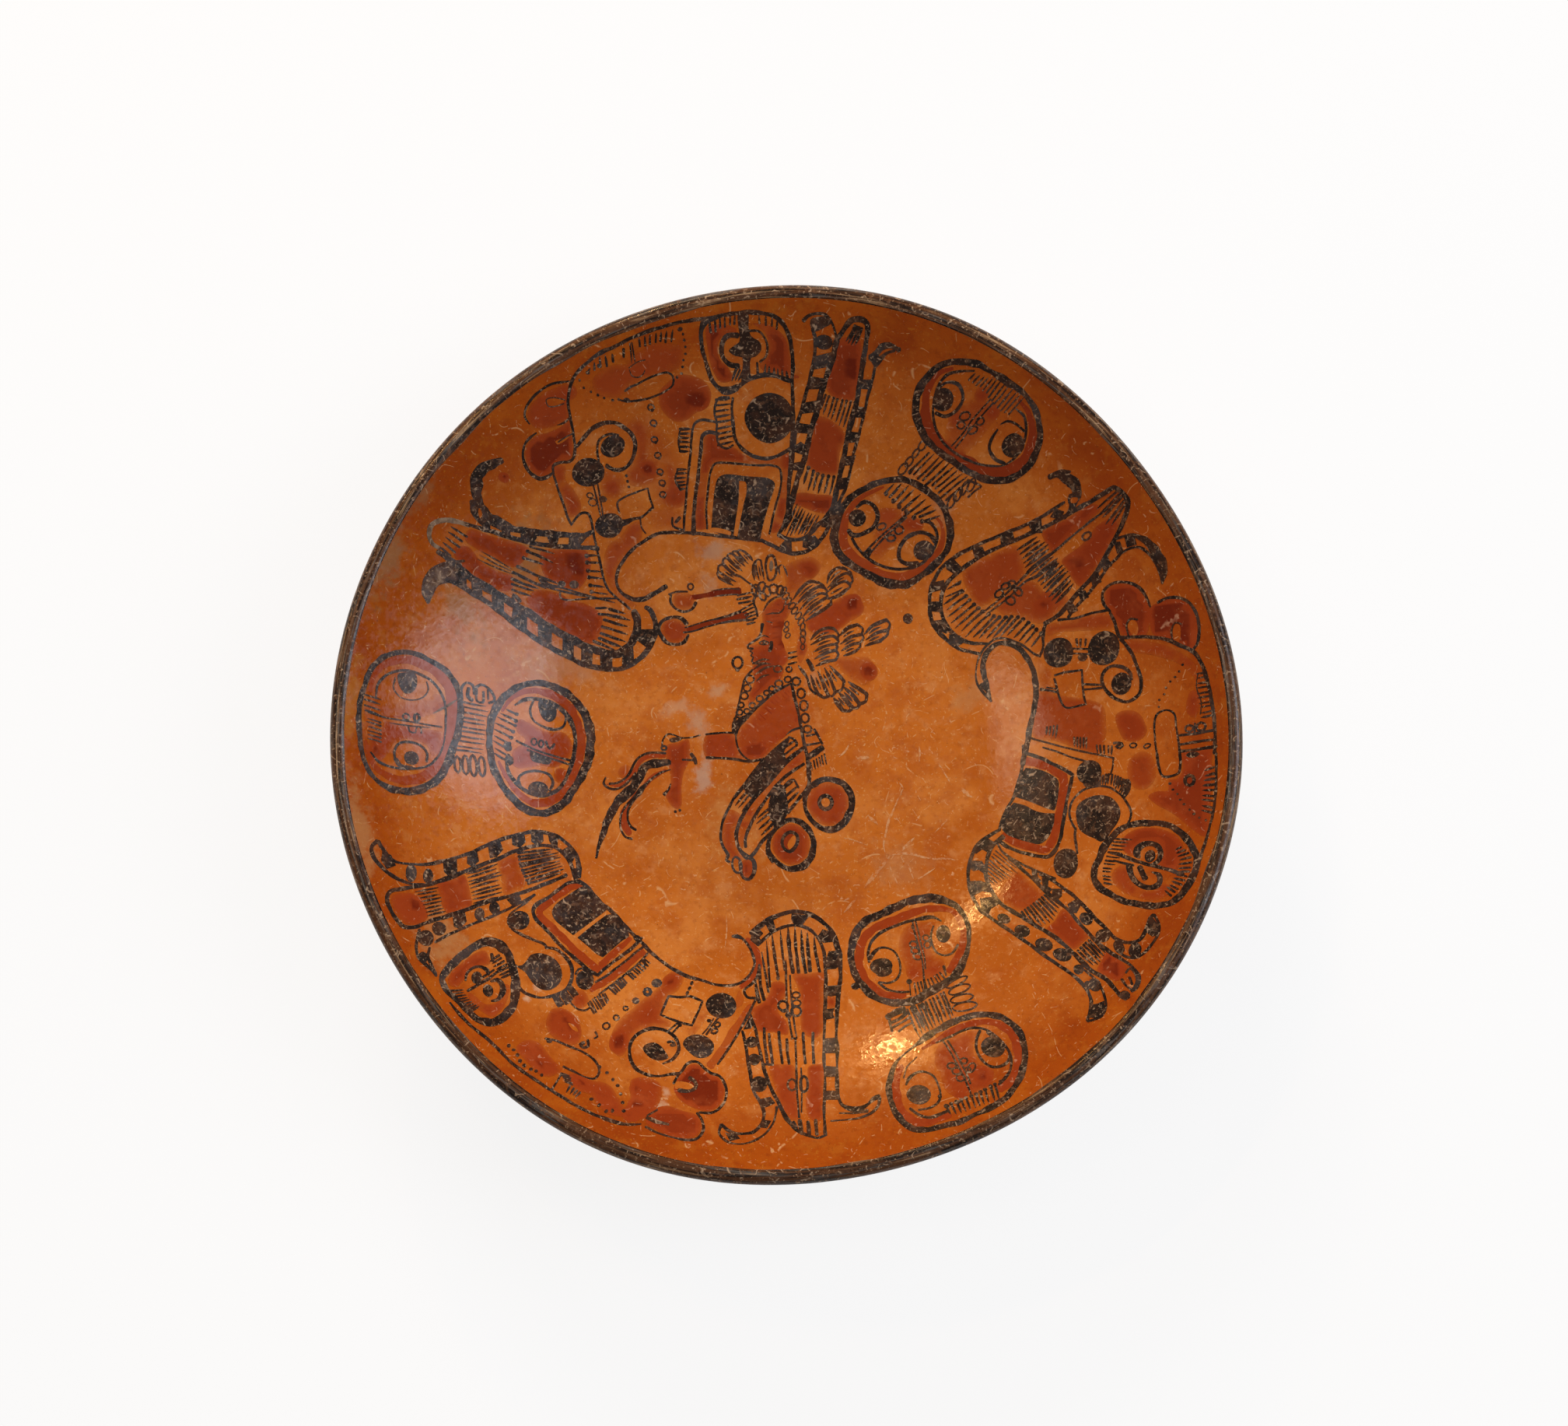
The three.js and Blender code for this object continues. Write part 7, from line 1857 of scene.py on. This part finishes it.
    # discs
    line(black, "-92.8,-57,1 -95.6,-60 -99,-62.8,0.7 -101.2,-65,0.6 -101.6,-68 -100,-70.6,1.1 "
                "-96.6,-72.6,1.2 -92.4,-74.4 -88.6,-75.8 -87.6,-77.2", 1)
    disc(black, -97.7, -67, 3.6, 3.6)
    fill(black, "-98.2,-84.6,1 -96.2,-84.2 -94.6,-82.2 -93.4,-80.2 -90.4,-79.3 -86.8,-80.1 -83.8,-82.2 "
                "-82.1,-85.6 -82.1,-89 -83.8,-91.8 -86.8,-93.3 -89.8,-92.7 -92.8,-90 -95,-86.8", tone=0.75)
    line(black, "-98.4,-84.4 -98.8,-86.8 -98,-90.4 -96,-93.6 -93,-95.4 -89,-96.2,0.8 -85,-95.4,1.2 "
                "-81.4,-93.6 -79,-90.6,1.4 -78.2,-86.6 -79.2,-82.6,1.5 -81.4,-79.8 -84.4,-77.6 -88,-77", 1.2,
                tone=0.9)
    comb(black, "-84.8,-95.8 -81.4,-94.2 -78.8,-91", "-82.4,-99.6 -78.8,-97.6 -76.2,-94.4", 10, 0.9, "",
                tone=0.7)
    disc(black, -73.6, -88.8, 3.2, 3.8, 10)
    line(black, "-77,-86.8,0.8 -76,-84.8 -73.6,-84.8 -71.4,-87.2", 1)
    disc(red, -75.4, -96.4, 3.3, 3.8, 0, tone=0.66, fade=1.6)
    line(black, "-78.4,-97.8 -76,-100 -73,-100.4 -71.6,-99.4", 0.7, tone=0.7)
    # round face
    line(black, "-109,-75.9,3.4 -104.4,-76.8,3.6 -101.6,-79.8,3.2 -100,-84,2.8 -98.6,-88.6,3 -98,-93.4,3.2 "
                "-98.6,-98.6,3.2 -101,-103.2,3.2 -105,-106.2,3 -109.4,-105.9,2.6 -113.6,-102.8,2.2 "
                "-118,-98.6,1.8 -122,-94.8,2 -123.4,-91,2.4 -121.8,-87,2.6 -118.2,-82.6,3 -114,-78.8,3", 2.6,
                closed=True)
    fill(red, "-117,-84.4 -113.6,-81 -109.4,-79.3 -108,-81.4 -107.4,-84.2 -110.6,-85.2 -113.8,-87.2 "
              "-115.8,-90.4 -118.6,-93.6 -121.2,-92.8 -121.2,-89.6 -119.2,-86.4", tone=0.85, fade=1)
    fill(red, "-114.4,-95.2 -111.6,-97 -108.6,-99.4 -104.8,-99 -102.6,-96 -101.8,-91.6 -100.3,-92.2 "
              "-100.7,-97 -102.8,-101.8 -105.8,-104.2 -109.6,-102.2 -113,-99.2", tone=0.85, fade=1)
    line(black, "-115.6,-91,0.7 -115.2,-88.2 -113,-86 -110.4,-85.6 -108.2,-86.8,1.4 -107.8,-88.4", 1)
    disc(black, -111.8, -89.7, 1.9, 2.3)
    line(black, "-106.8,-90.8,0.9 -104.8,-90.2 -102.9,-92,1.8 -102.6,-95,2 -104,-97.6,1.6 -106.2,-98.2,0.8",
                1.6)
    disc(black, -107.6, -94.4, 1.8, 2.4, 15)
    line(black, "-103.6,-86,0.8 -107.4,-89.6 -111,-92.2 -114.6,-94.8", 1.1)
    line(black, "-106,-86.4,0.7 -109.4,-89.2 -112.6,-91.6", 0.8, tone=0.8)
    comb(black, "-120.8,-95.2 -117.6,-98.8 -113,-102.6", "-116.4,-94.6 -114.4,-97.4 -110.4,-100.6", 9, 0.8)
    comb(black, "-104.4,-80.8 -101.8,-84 -100.6,-88", "-107.6,-83.4 -105,-86.6 -103.4,-89.4", 7, 0.9)
    line(black, "-107,-80.4 -106.6,-83.2", 1.1)


# Hooked head at the lower left, with the mouth under the lip

def bottomHead(black, red):
    fill(red, "-85,-100.4 -81.4,-99.9 -77.8,-101.7 -74.9,-105.6 -74.1,-109.8 -75.7,-113.2 -79.2,-113.4 "
              "-83.2,-111.6 -86.2,-108.6 -86.8,-104.4", tone=0.72, fade=1)
    fill(red, "-81.6,-101.4 -78,-103 -76,-106.6 -75.8,-110 -78,-110.6 -81,-107 -82.6,-104", tone=0.92, fade=2)
    fill(red, "-79,-105.4 -77.2,-106 -75.6,-107.6 -75.2,-108.8 -77.4,-107.8", "gap")
    line(black, "-86.8,-111.6 -83,-112.3 -78.6,-114.2 -74,-115.9 -70.6,-118 -68,-120.8,0.9 -67.3,-123.8 "
                "-68.6,-126 -71.8,-125.8,0.6 -76,-123.8 -80,-121.9", 0.8)
    disc(black, -85.4, -112.4, 1.1, 0.9, tone=0.6)
    fill(red, "-95.4,-113.4 -97,-115.8 -94.6,-118.8 -91,-122.4 -86.8,-125.8 -83.2,-125.4 -80.4,-122.8 "
              "-83.2,-120 -86.2,-116.4 -88.6,-113.4 -92.2,-112.2", tone=0.74, fade=1.4)
    disc(red, -88.4, -121, 4.4, 2.6, -35, tone=0.95, fade=2.4)
    fill(red, "-78.4,-125 -74.8,-124.2 -70,-126.8 -66.4,-127.2 -62.8,-129 -60.8,-132 -58.6,-135.4 -58,-139.8 "
              "-61.6,-139.8 -66.4,-136.8 -68.8,-133.8 -70.2,-132 -74.2,-130.8 -77.2,-127.8", tone=0.7,
              fade=1.4)
    disc(red, -73.6, -127.6, 4, 2.4, -30, tone=0.95, fade=2)
    dots(black, "-67,-121.8 -64.9,-123.6 -62.8,-125.6 -61,-128.2 -59.8,-130.8 -58.6,-134.6 -58,-138", 7, 0.7)
    dots(black, "-99.2,-114.8 -96.8,-117.6 -94.4,-121.2 -92.2,-122.6 -90.2,-123.8 -87.4,-125.2", 8, 0.7)
    comb(black, "-80.8,-124.4 -79,-127.6", "-77.8,-125.4 -76.2,-128.8", 5, 0.6, "", tone=0.6)
    comb(black, "-77.4,-129 -73.6,-131.4", "-78.6,-131.6 -75.2,-133.2", 4, 0.8)
    line(black, "-80.4,-124.4 -82.2,-128 -83.6,-130.6", 0.7, tone=0.8)
    for x, y in ((-69.6, -133.8), (-66.8, -136), (-64.2, -138.2), (-62, -138)):
        disc(black, x, y, 0.8, 0.6, chance.uniform(0, 90), tone=0.85)
    line(black, "-120.4,-99.6,0.6 -117.6,-103 -114.4,-106.4,1.1 -110.6,-109.6 -106.6,-112.8 -103,-116.2 "
                "-99.4,-119.8 -95.4,-123.2 -91,-126.2 -86,-129.5 -81,-132.6 -76,-135.7 -71,-138.3 -66,-140.4 "
                "-60.4,-142.3,1.4 -56,-143,1 -51.8,-142.7,0.6", 1.1)
    # beads
    disc(black, -47.5, -89.4, 2, 1.7)
    ring(black, -50.8, -92.8, 1.2, 1.2, width=1.3)
    disc(black, -55, -96.3, 1.4, 1.3, tone=0.7)
    ring(black, -58.6, -99.3, 0.9, 0.8, width=0.6, tone=0.8)
    ring(black, -61.9, -102.9, 1, 1, width=0.7, tone=0.7)
    ring(black, -65.4, -106.2, 1.3, 1.2, 30, width=0.7, tone=0.85)
    line(black, "-69.2,-108.6 -68.4,-110.4 -69.4,-111", 0.8)
    line(black, "-71.8,-111.8 -71.6,-114 -73.4,-114.6 -74.4,-113.4,1.2 -73,-112.8", 1.1)
    # washes, small square and its ties
    fill(red, "-37.6,-86.6 -40,-84.4 -43,-85.4 -44.8,-88.2 -47.8,-91.8 -51.4,-94.8 -55,-98.4 -59.2,-102 "
              "-62.2,-106.2 -64,-112.2 -62.8,-115.8 -59.8,-117.6 -57.4,-114.6 -56.2,-111 -52.6,-107.4 "
              "-47.8,-106.2 -43.6,-106.8 -41.8,-104.4 -46,-101.6 -44.8,-98.2 -43.2,-94.4 -40,-92.4 "
              "-38.2,-89.6", tone=0.62, fade=1.8)
    disc(red, -60.6, -112, 3.6, 4.8, -10, tone=1, fade=2.4)
    disc(red, -42.2, -88.4, 3.6, 2.8, 30, tone=0.95, fade=2.2)
    disc(red, -50.4, -101.6, 6, 4.4, 40, tone=0.82, fade=3)
    line(black, "-43,-94.3 -38.4,-94.6 -35,-94.3 -30.6,-96.1 -30.6,-96.1 -32.2,-100.4 -34.3,-105.4 "
                "-34.3,-105.4 -40,-103.8 -45.8,-101.5 -45.8,-101.5 -44.4,-97.6 -43,-94.3", 0.9)
    for x, y in ((-34.6, -89.2), (-35.4, -91.2), (-36.2, -93)):
        disc(black, x, y, 0.9, 0.6, 60)
    line(black, "-39.2,-104.2 -43,-107.6", 0.7)
    line(black, "-38.6,-105 -41.2,-108.2", 0.7)
    line(black, "-39,-104.2 -38.6,-105.6", 1.2)
    # ringed eye
    line(black, "-38.2,-123.5,0.9 -41.4,-124 -46,-124.8,0.8 -50.4,-124.2 -54,-122.2 -56.2,-118.8,1.3 "
                "-56.8,-114.6 -55.6,-110.8 -52.4,-108 -48,-106.7,1.4 -44,-107.4 -41,-109.4 -39.1,-112.4 "
                "-39.2,-115.6,1.2 -41.2,-118.4 -44.6,-120.1,0.6", 1.2)
    fill(black, "-52,-114.2 -50.2,-112.5 -47.8,-112.1 -45.4,-113.4 -43.6,-115.8 -42.6,-117.8 -46,-118.9 "
                "-49.6,-117.6")
    line(black, "-43,-111.9 -41.4,-111.7 -40.4,-113 -41.8,-113", 1.1)
    fill(black, "-37.5,-112.4 -35.8,-109.8 -32.2,-108.8 -28.6,-109.8 -26.2,-112.4 -26.6,-115.4 -28.8,-117.4 "
                "-32.2,-117.6 -35.5,-115.2", tone=0.8)
    line(black, "-24.8,-102.4 -26.8,-105.4 -29,-108.8", 0.8)
    line(black, "-26.4,-102.6 -28.4,-106.2 -30.4,-108.6", 0.5, tone=0.8)
    ring(black, -25, -105, 1.1, 0.9, 30, 0.8)
    ring(black, -26, -107.4, 1.2, 0.9, 30, 0.8, tone=0.85)
    disc(black, -28, -103.5, 0.9, 0.7)
    fill(red, "-35.6,-108.6 -34.6,-105.8 -32.4,-102 -31,-98.6 -29.2,-97.6 -28.6,-101 -29.6,-103.6 "
              "-31.6,-106.6 -33.6,-108.8", tone=0.5, fade=1.5)
    # lobes
    fill(red, "-38,-123.8 -34.3,-120 -31.8,-120.2 -28.6,-123.2 -24.4,-125 -22,-129.6 -23.4,-135 -27.4,-137.6 "
              "-33,-136.6 -38.2,-133.4 -40.4,-129.6 -39.4,-126.4", tone=0.95, fade=0.9)
    fill(red, "-40,-129.2 -39.6,-126.8 -36.4,-126.8 -33.4,-128 -33,-129.4 -36.4,-130 -38.4,-129.8", "gap")
    line(black, "-40.6,-127.4,0.9 -39,-124.6 -37.4,-122.4 -36,-120.2 -34,-119.1 -31.8,-119.4 -29.4,-121.6 "
                "-27,-123.5,1.1 -24.2,-124.4 -22.2,-126.9 -21.3,-130.6 -22,-134.2,1 -24.2,-137 -27,-138.3 "
                "-31,-138.2,0.8", 1)
    line(black, "-34.8,-125.2 -32.8,-126.8 -32.6,-129 -34.6,-130.2 -38.6,-130", 1.4, tone=0.7)
    fill(red, "-47.8,-137.6 -43,-135.8 -37,-137.6 -32,-139.2 -30.2,-142.8 -31.4,-146.4 -35.2,-147.9 "
              "-41.2,-147 -46.6,-144.6 -50.2,-141.8", tone=0.86, fade=1)
    line(black, "-49.6,-139.6,0.7 -46,-137.4,0.6", 0.6, tone=0.6)
    line(black, "-49.8,-140.4 -46,-141.8,1.4 -42,-142.8,1", 1.2, tone=0.5)
    line(black, "-31.8,-138.4 -30,-141.2 -29.5,-144.8 -31.4,-147.8 -35,-148.5 -40,-147.6,0.6 -46,-145.8,0.7 "
                "-50,-143.8", 1)
    fill(red, "-55.8,-126.4 -52,-125.2 -46,-127 -44.6,-130.8 -45.8,-135.6 -49,-139.6 -53.2,-141.4 -57.4,-141 "
              "-58.6,-138 -56,-134.4 -56,-130.4", tone=0.74, fade=1.3)
    disc(red, -53.4, -135.2, 3.4, 2.4, 0, tone=1, fade=1.8)
    fill(red, "-58.6,-139.2 -54,-139 -50,-138.6 -52.6,-141.4 -56.6,-141.8", tone=1, fade=1)
    disc(red, -54, -129.4, 2.4, 2.6, 0, tone=0.9, fade=1.6)


# Lime lines left by rootlets while the plate lay in the ground

rootPaths = (  # path, width in mm
    ("43.7,-17.4,0.7 42.5,-19 40.8,-23.1 38.7,-28.1,0.9 37.5,-33 36.9,-36.3 37.5,-39.6 39.1,-40.6", 0.8),
    ("39.1,-40.6 42.8,-40 46.8,-40 50.9,-41.1,0.8 55.8,-42,0.6 60.6,-42 63.9,-42.7", 1.0),
    ("42.8,-39.6 45.2,-37.1 48.5,-33.8", 0.9),
    ("39.1,-40.8 37,-43.7,1.2 34.6,-46.6 32.1,-49.4,1.8 29.7,-52.7,1.4", 1.4),
    ("39.1,-44.5 40.3,-47.8 41.9,-51.1 42.7,-52.3", 0.7),
    ("43.2,-40.8 44.4,-43.7 43.1,-45.7", 0.6),
    ("26.8,-56.4 24.8,-58.8 21.9,-62.1", 0.9),
    ("22,-34 26.5,-35.1 30.5,-36.7", 0.5),
    ("31,-25.6 33,-27.3 34.7,-28.9", 1.0),
    ("48.4,-50.3 52.5,-47.9 56.1,-45.5", 0.5),
    ("55.9,-32.2 58.3,-29.7 60.8,-27.3", 0.5),
    ("57.7,-5.8 60.1,-9.9 62.5,-14.1", 0.5),
    ("27,-4 29.4,-3.7 31.5,-3.5", 1.4),
    ("65.8,-14.9 68.2,-17.5 70.2,-18.8", 1.4),
    ("42.9,-13.2 44.1,-14.9 43.3,-17.4", 0.8),
    ("24.1,1.6 22.5,-1.3 20.4,-3.3", 0.7),
    ("50.3,0.8 50.7,-2.5 50.3,-5.4", 0.7),
    ("22,-57.6 24.6,-56.4", 0.6),
    ("-22,-63 -21.8,-69 -22.4,-75", 0.4),
    ("-67.3,-127.8 -69.7,-129.9 -68.8,-131.7", 0.6),
    ("45.6,-43.3 46.8,-46.2 48,-49.5", 0.7),
)


def rootMarks(film):
    for path, width in rootPaths:
        line(film, path, width, "both", tone=chance.uniform(0.6, 1))


# Rim: a band of brown-black brushed over the lip while the plate was turned by hand

rim = {
    "inner": 160.1,  # mm from the middle to its inner edge, on an even rim
    # lobes, swing in mm, turn in degrees
    "waver": ((2, 0.5, 40), (5, 0.35, 10), (11, 0.25, 60), (23, 0.2, 5), (41, 0.12, 20)),
    "steps": 576,
    "lift": 0.08,  # mm
    "strandWide": 1.1,  # mm
    "strandLong": 26,
}


def rimBand(material):
    count = rim["steps"]
    angle = np.arange(count) * 2 * math.pi / count
    # it covers the top of the wall inside, the lip, and a narrow strip outside
    inX, inZ = faceOfWall(np.linspace(1, 0.9, 40), 1)
    outX, outZ = faceOfWall(np.linspace(0.94, 1, 6), -1)
    start = math.atan2(outZ[-1] - lipCentre[1], outX[-1] - lipCentre[0])
    turns = start + np.linspace(0, math.pi, 14)[1:-1]
    lipX, lipZ = lipCentre[0] + lipRadius * np.cos(turns), lipCentre[1] + lipRadius * np.sin(turns)
    edge = rim["inner"] + waves(rim["waver"], angle)
    rings = []
    for radius, height in zip(np.concatenate((outX, lipX)), np.concatenate((outZ, lipZ))):
        rings.append((radius + angle * 0, height + angle * 0))
    for share in np.linspace(0, 1, 8):
        radius = inX[0] + (edge - inX[0]) * share
        rings.append((radius, np.interp(radius, inX[::-1], inZ[::-1])))
    ring = np.array(rings)  # rings, radius or height, steps
    along = np.gradient(ring, axis=0)
    out = np.stack((along[:, 1], -along[:, 0]), axis=1)
    out /= np.linalg.norm(out, axis=1, keepdims=True)
    points, normals = [], []
    for lift in (rim["lift"], -brush["filmUnder"]):
        shell = ring + out * lift
        share = waverShare(ring[:, 0])
        wide = shell[:, 0] + share * waves(plate["rimOutOfRound"], angle)
        tall = shell[:, 1] + share * waves(plate["rimOutOfLevel"], angle)
        points.append(np.stack((wide * np.cos(angle), wide * np.sin(angle), tall), axis=-1).reshape(-1, 3))
        turned = np.stack((out[:, 0] * np.cos(angle), out[:, 0] * np.sin(angle), out[:, 1]), axis=-1)
        normals.append(turned.reshape(-1, 3))
    under, faces, last = len(ring) * count, [], len(ring) - 1
    for step in range(count):
        a, b = step, (step + 1) % count
        for row in range(last):
            quad = [row * count + a, row * count + b, (row + 1) * count + b, (row + 1) * count + a]
            faces += [quad, [under + i for i in quad[::-1]]]
        end = last * count
        faces += [[under + a, under + b, b, a], [end + a, end + b, under + end + b, under + end + a]]
    points = np.vstack(points)
    level = np.repeat(np.arange(len(ring)) / last, count)
    radius = np.tile(0.3 + level * 0.17, 2)
    turn = np.arctan2(points[:, 1], points[:, 0])
    radius[under:] *= 0.05  # the side in the clay takes hardly any of the picture
    uvs = np.stack((0.5 + radius * np.cos(turn), 0.5 + radius * np.sin(turn)), axis=1)
    across = np.repeat(np.concatenate(([0], np.cumsum(np.hypot(*np.diff(ring[:, :, 0], axis=0).T)))), count)
    across = np.tile(across, 2)[:, None] / rim["strandWide"]
    lengthwise = np.stack((np.cos(turn), np.sin(turn)), axis=1) * rim["inner"] / rim["strandLong"]
    strand = {"strand": np.hstack((lengthwise, across))}
    addPiece("black_slip_rim_band", points, faces, material, strand, uvs, np.vstack(normals))
    print("black_slip_rim_band:", len(faces), "faces")


orange, redCoat, blackCoat = orangeSlipMaterial(), redSlipMaterial(), blackSlipMaterial()
buildBody(orange)
rimBand(rimSlipMaterial())
crust = []
rootMarks(crust)
layFilm("root_marks", crust, rootMarkMaterial(), brush["redLift"], brush["coarseGrid"])
for name, paint in (("top_jaw_and_head", topJawAndHead), ("top_box_and_jaw", topBoxAndSecondJaw),
                    ("upper_face_pair", upperFacePair), ("dancer", dancer), ("left_face_pair", leftFacePair),
                    ("right_jaw_and_head", rightJawAndHead), ("right_box_and_jaw", rightBoxAndJaw),
                    ("lower_face_pair", lowerFacePair), ("bottom_jaw", bottomJaw),
                    ("left_box_and_jaw", leftBoxAndJaw), ("bottom_head", bottomHead)):
    black, red = [], []
    paint(black, red)
    if red:
        layFilm("red_slip_" + name, red, redCoat, brush["redLift"], brush["fineGrid"])
    layFilm("black_slip_" + name, black, blackCoat, brush["blackLift"], brush["coarseGrid"])


# Floor, lights and camera

studio = {
    "floorHalf": 1.6,  # m
    "world": 0.12,
    "paper": "#EFEFEF",
    "paperGlow": 0.86,  # share of the floor that the camera sees as plain white, the rest keeps the shadow
}

# The main light and the overhead sheet are polarised, so they leave no highlight on the slip. The small box
# and the strip are placed so that their glints fall where the wall turns towards the camera.
lamps = (  # name, place, aim, width and height in m, watts, colour, shape, polarised
    ("main, polarised", (-0.6, 2.05, 1.05), (0, 0, 0.02), 1.0, 0.7, 33.5, "#FFF8EE", "RECTANGLE", True),
    ("overhead sheet, polarised", (0.8, 0, 2.2), (0.01, 0, 0.02), 3, 3, 17, "#FFFFFF", "RECTANGLE", True),
    ("small box, low upper left", (-0.463, 1.667, 0.789), (0, 0, 0.02), 0.10, 0.06, 4.4, "#FFC478",
     "RECTANGLE", False),
    ("strip, high upper left", (-0.855, 1.07, 1.43), (0, 0, 0.02), 0.34, 0.045, 5.2, "#FFC478",
     "RECTANGLE", False),
    ("warm sheet left", (-0.96, 0.18, 1.6), (0.08, 0, 0.01), 0.6, 0.6, 3.5, "#FFE0C0", "ELLIPSE", False),
    ("cool sheet right", (1.77, 0.14, 1.48), (-0.05, 0, 0.02), 1.3, 1.35, 20, "#EAF0FF", "ELLIPSE", False),
)


def buildStudio():
    mesh = bpy.data.meshes.new("floor")
    half = studio["floorHalf"]
    corners = [(-half, -half, 0), (half, -half, 0), (half, half, 0), (-half, half, 0)]
    mesh.from_pydata(corners, [], [(0, 1, 2, 3)])
    floor = bpy.data.objects.new("floor", mesh)
    bpy.context.collection.objects.link(floor)
    material, tree = newMaterial("paper floor, matt white")
    rays = addNode(tree, "ShaderNodeLightPath")
    seen = addNode(tree, "ShaderNodeMath", {"operation": "MULTIPLY"}, {
        0: rays.outputs["Is Camera Ray"], 1: studio["paperGlow"]})
    paper = addNode(tree, "ShaderNodeBsdfDiffuse", inputs={"Color": linear(studio["paper"])})
    glow = addNode(tree, "ShaderNodeEmission", inputs={"Color": (1, 1, 1, 1), "Strength": 1.0})
    both = addNode(tree, "ShaderNodeMixShader", inputs={0: seen, 1: paper, 2: glow})
    addNode(tree, "ShaderNodeOutputMaterial", inputs={0: both})
    mesh.materials.append(material)

    world = bpy.data.worlds.new("studio")
    bpy.context.scene.world = world
    world.use_nodes = True
    tree = world.node_tree
    tree.nodes.clear()
    rays = addNode(tree, "ShaderNodeLightPath")
    fill = addNode(tree, "ShaderNodeBackground", inputs={"Color": (1, 1, 1, 1), "Strength": studio["world"]})
    white = addNode(tree, "ShaderNodeBackground", inputs={"Color": (1, 1, 1, 1), "Strength": 1.0})
    both = addNode(tree, "ShaderNodeMixShader", inputs={0: rays.outputs["Is Camera Ray"], 1: fill, 2: white})
    addNode(tree, "ShaderNodeOutputWorld", inputs={0: both})


def addSoftbox(name, place, aim, width, height, watts, colour, shape, polarised):
    lamp = bpy.data.lights.new(name, "AREA")
    lamp.shape, lamp.size, lamp.size_y, lamp.energy = shape, width, height, watts
    lamp.color = linear(colour)[:3]
    light = bpy.data.objects.new(name, lamp)
    bpy.context.collection.objects.link(light)
    light.location = place
    light.rotation_euler = (Vector(aim) - Vector(place)).to_track_quat("-Z", "Y").to_euler()
    light.visible_glossy = not polarised


def addCamera():
    view = {
        "lens": 85,
        "sensor": 36,  # mm wide
        "tilt": 9,  # degrees off straight down, towards the lower edge of the photograph
        "distance": 1.34119,  # to the middle of the lip
        "middle": (1009.6, 934.4),  # pixel of the photograph where the middle of the lip falls
        "width": 2016,
        "height": 1833,
    }
    data = bpy.data.cameras.new("camera")
    data.lens, data.sensor_width, data.sensor_fit = view["lens"], view["sensor"], "HORIZONTAL"
    data.clip_start, data.clip_end = 0.1, 20
    camera = bpy.data.objects.new("camera", data)
    bpy.context.collection.objects.link(camera)
    tilt = math.radians(view["tilt"])
    back = Vector((0, -math.sin(tilt), math.cos(tilt)))
    right = Vector((1, 0, 0))
    up = back.cross(right)
    focal = view["lens"] / view["sensor"] * view["width"]
    across = (view["middle"][0] - view["width"] / 2) * view["distance"] / focal
    down = (view["middle"][1] - view["height"] / 2) * view["distance"] / focal
    middle = Vector((0, 0, plate["height"] * mm))
    camera.location = middle - right * across + up * down + back * view["distance"]
    camera.rotation_mode = "QUATERNION"
    camera.rotation_quaternion = (-back).to_track_quat("-Z", "Y")
    bpy.context.scene.camera = camera


buildStudio()
for lamp in lamps:
    addSoftbox(*lamp)
addCamera()
bpy.context.scene.view_settings.view_transform = "Standard"
print("studio: floor, lights and camera")
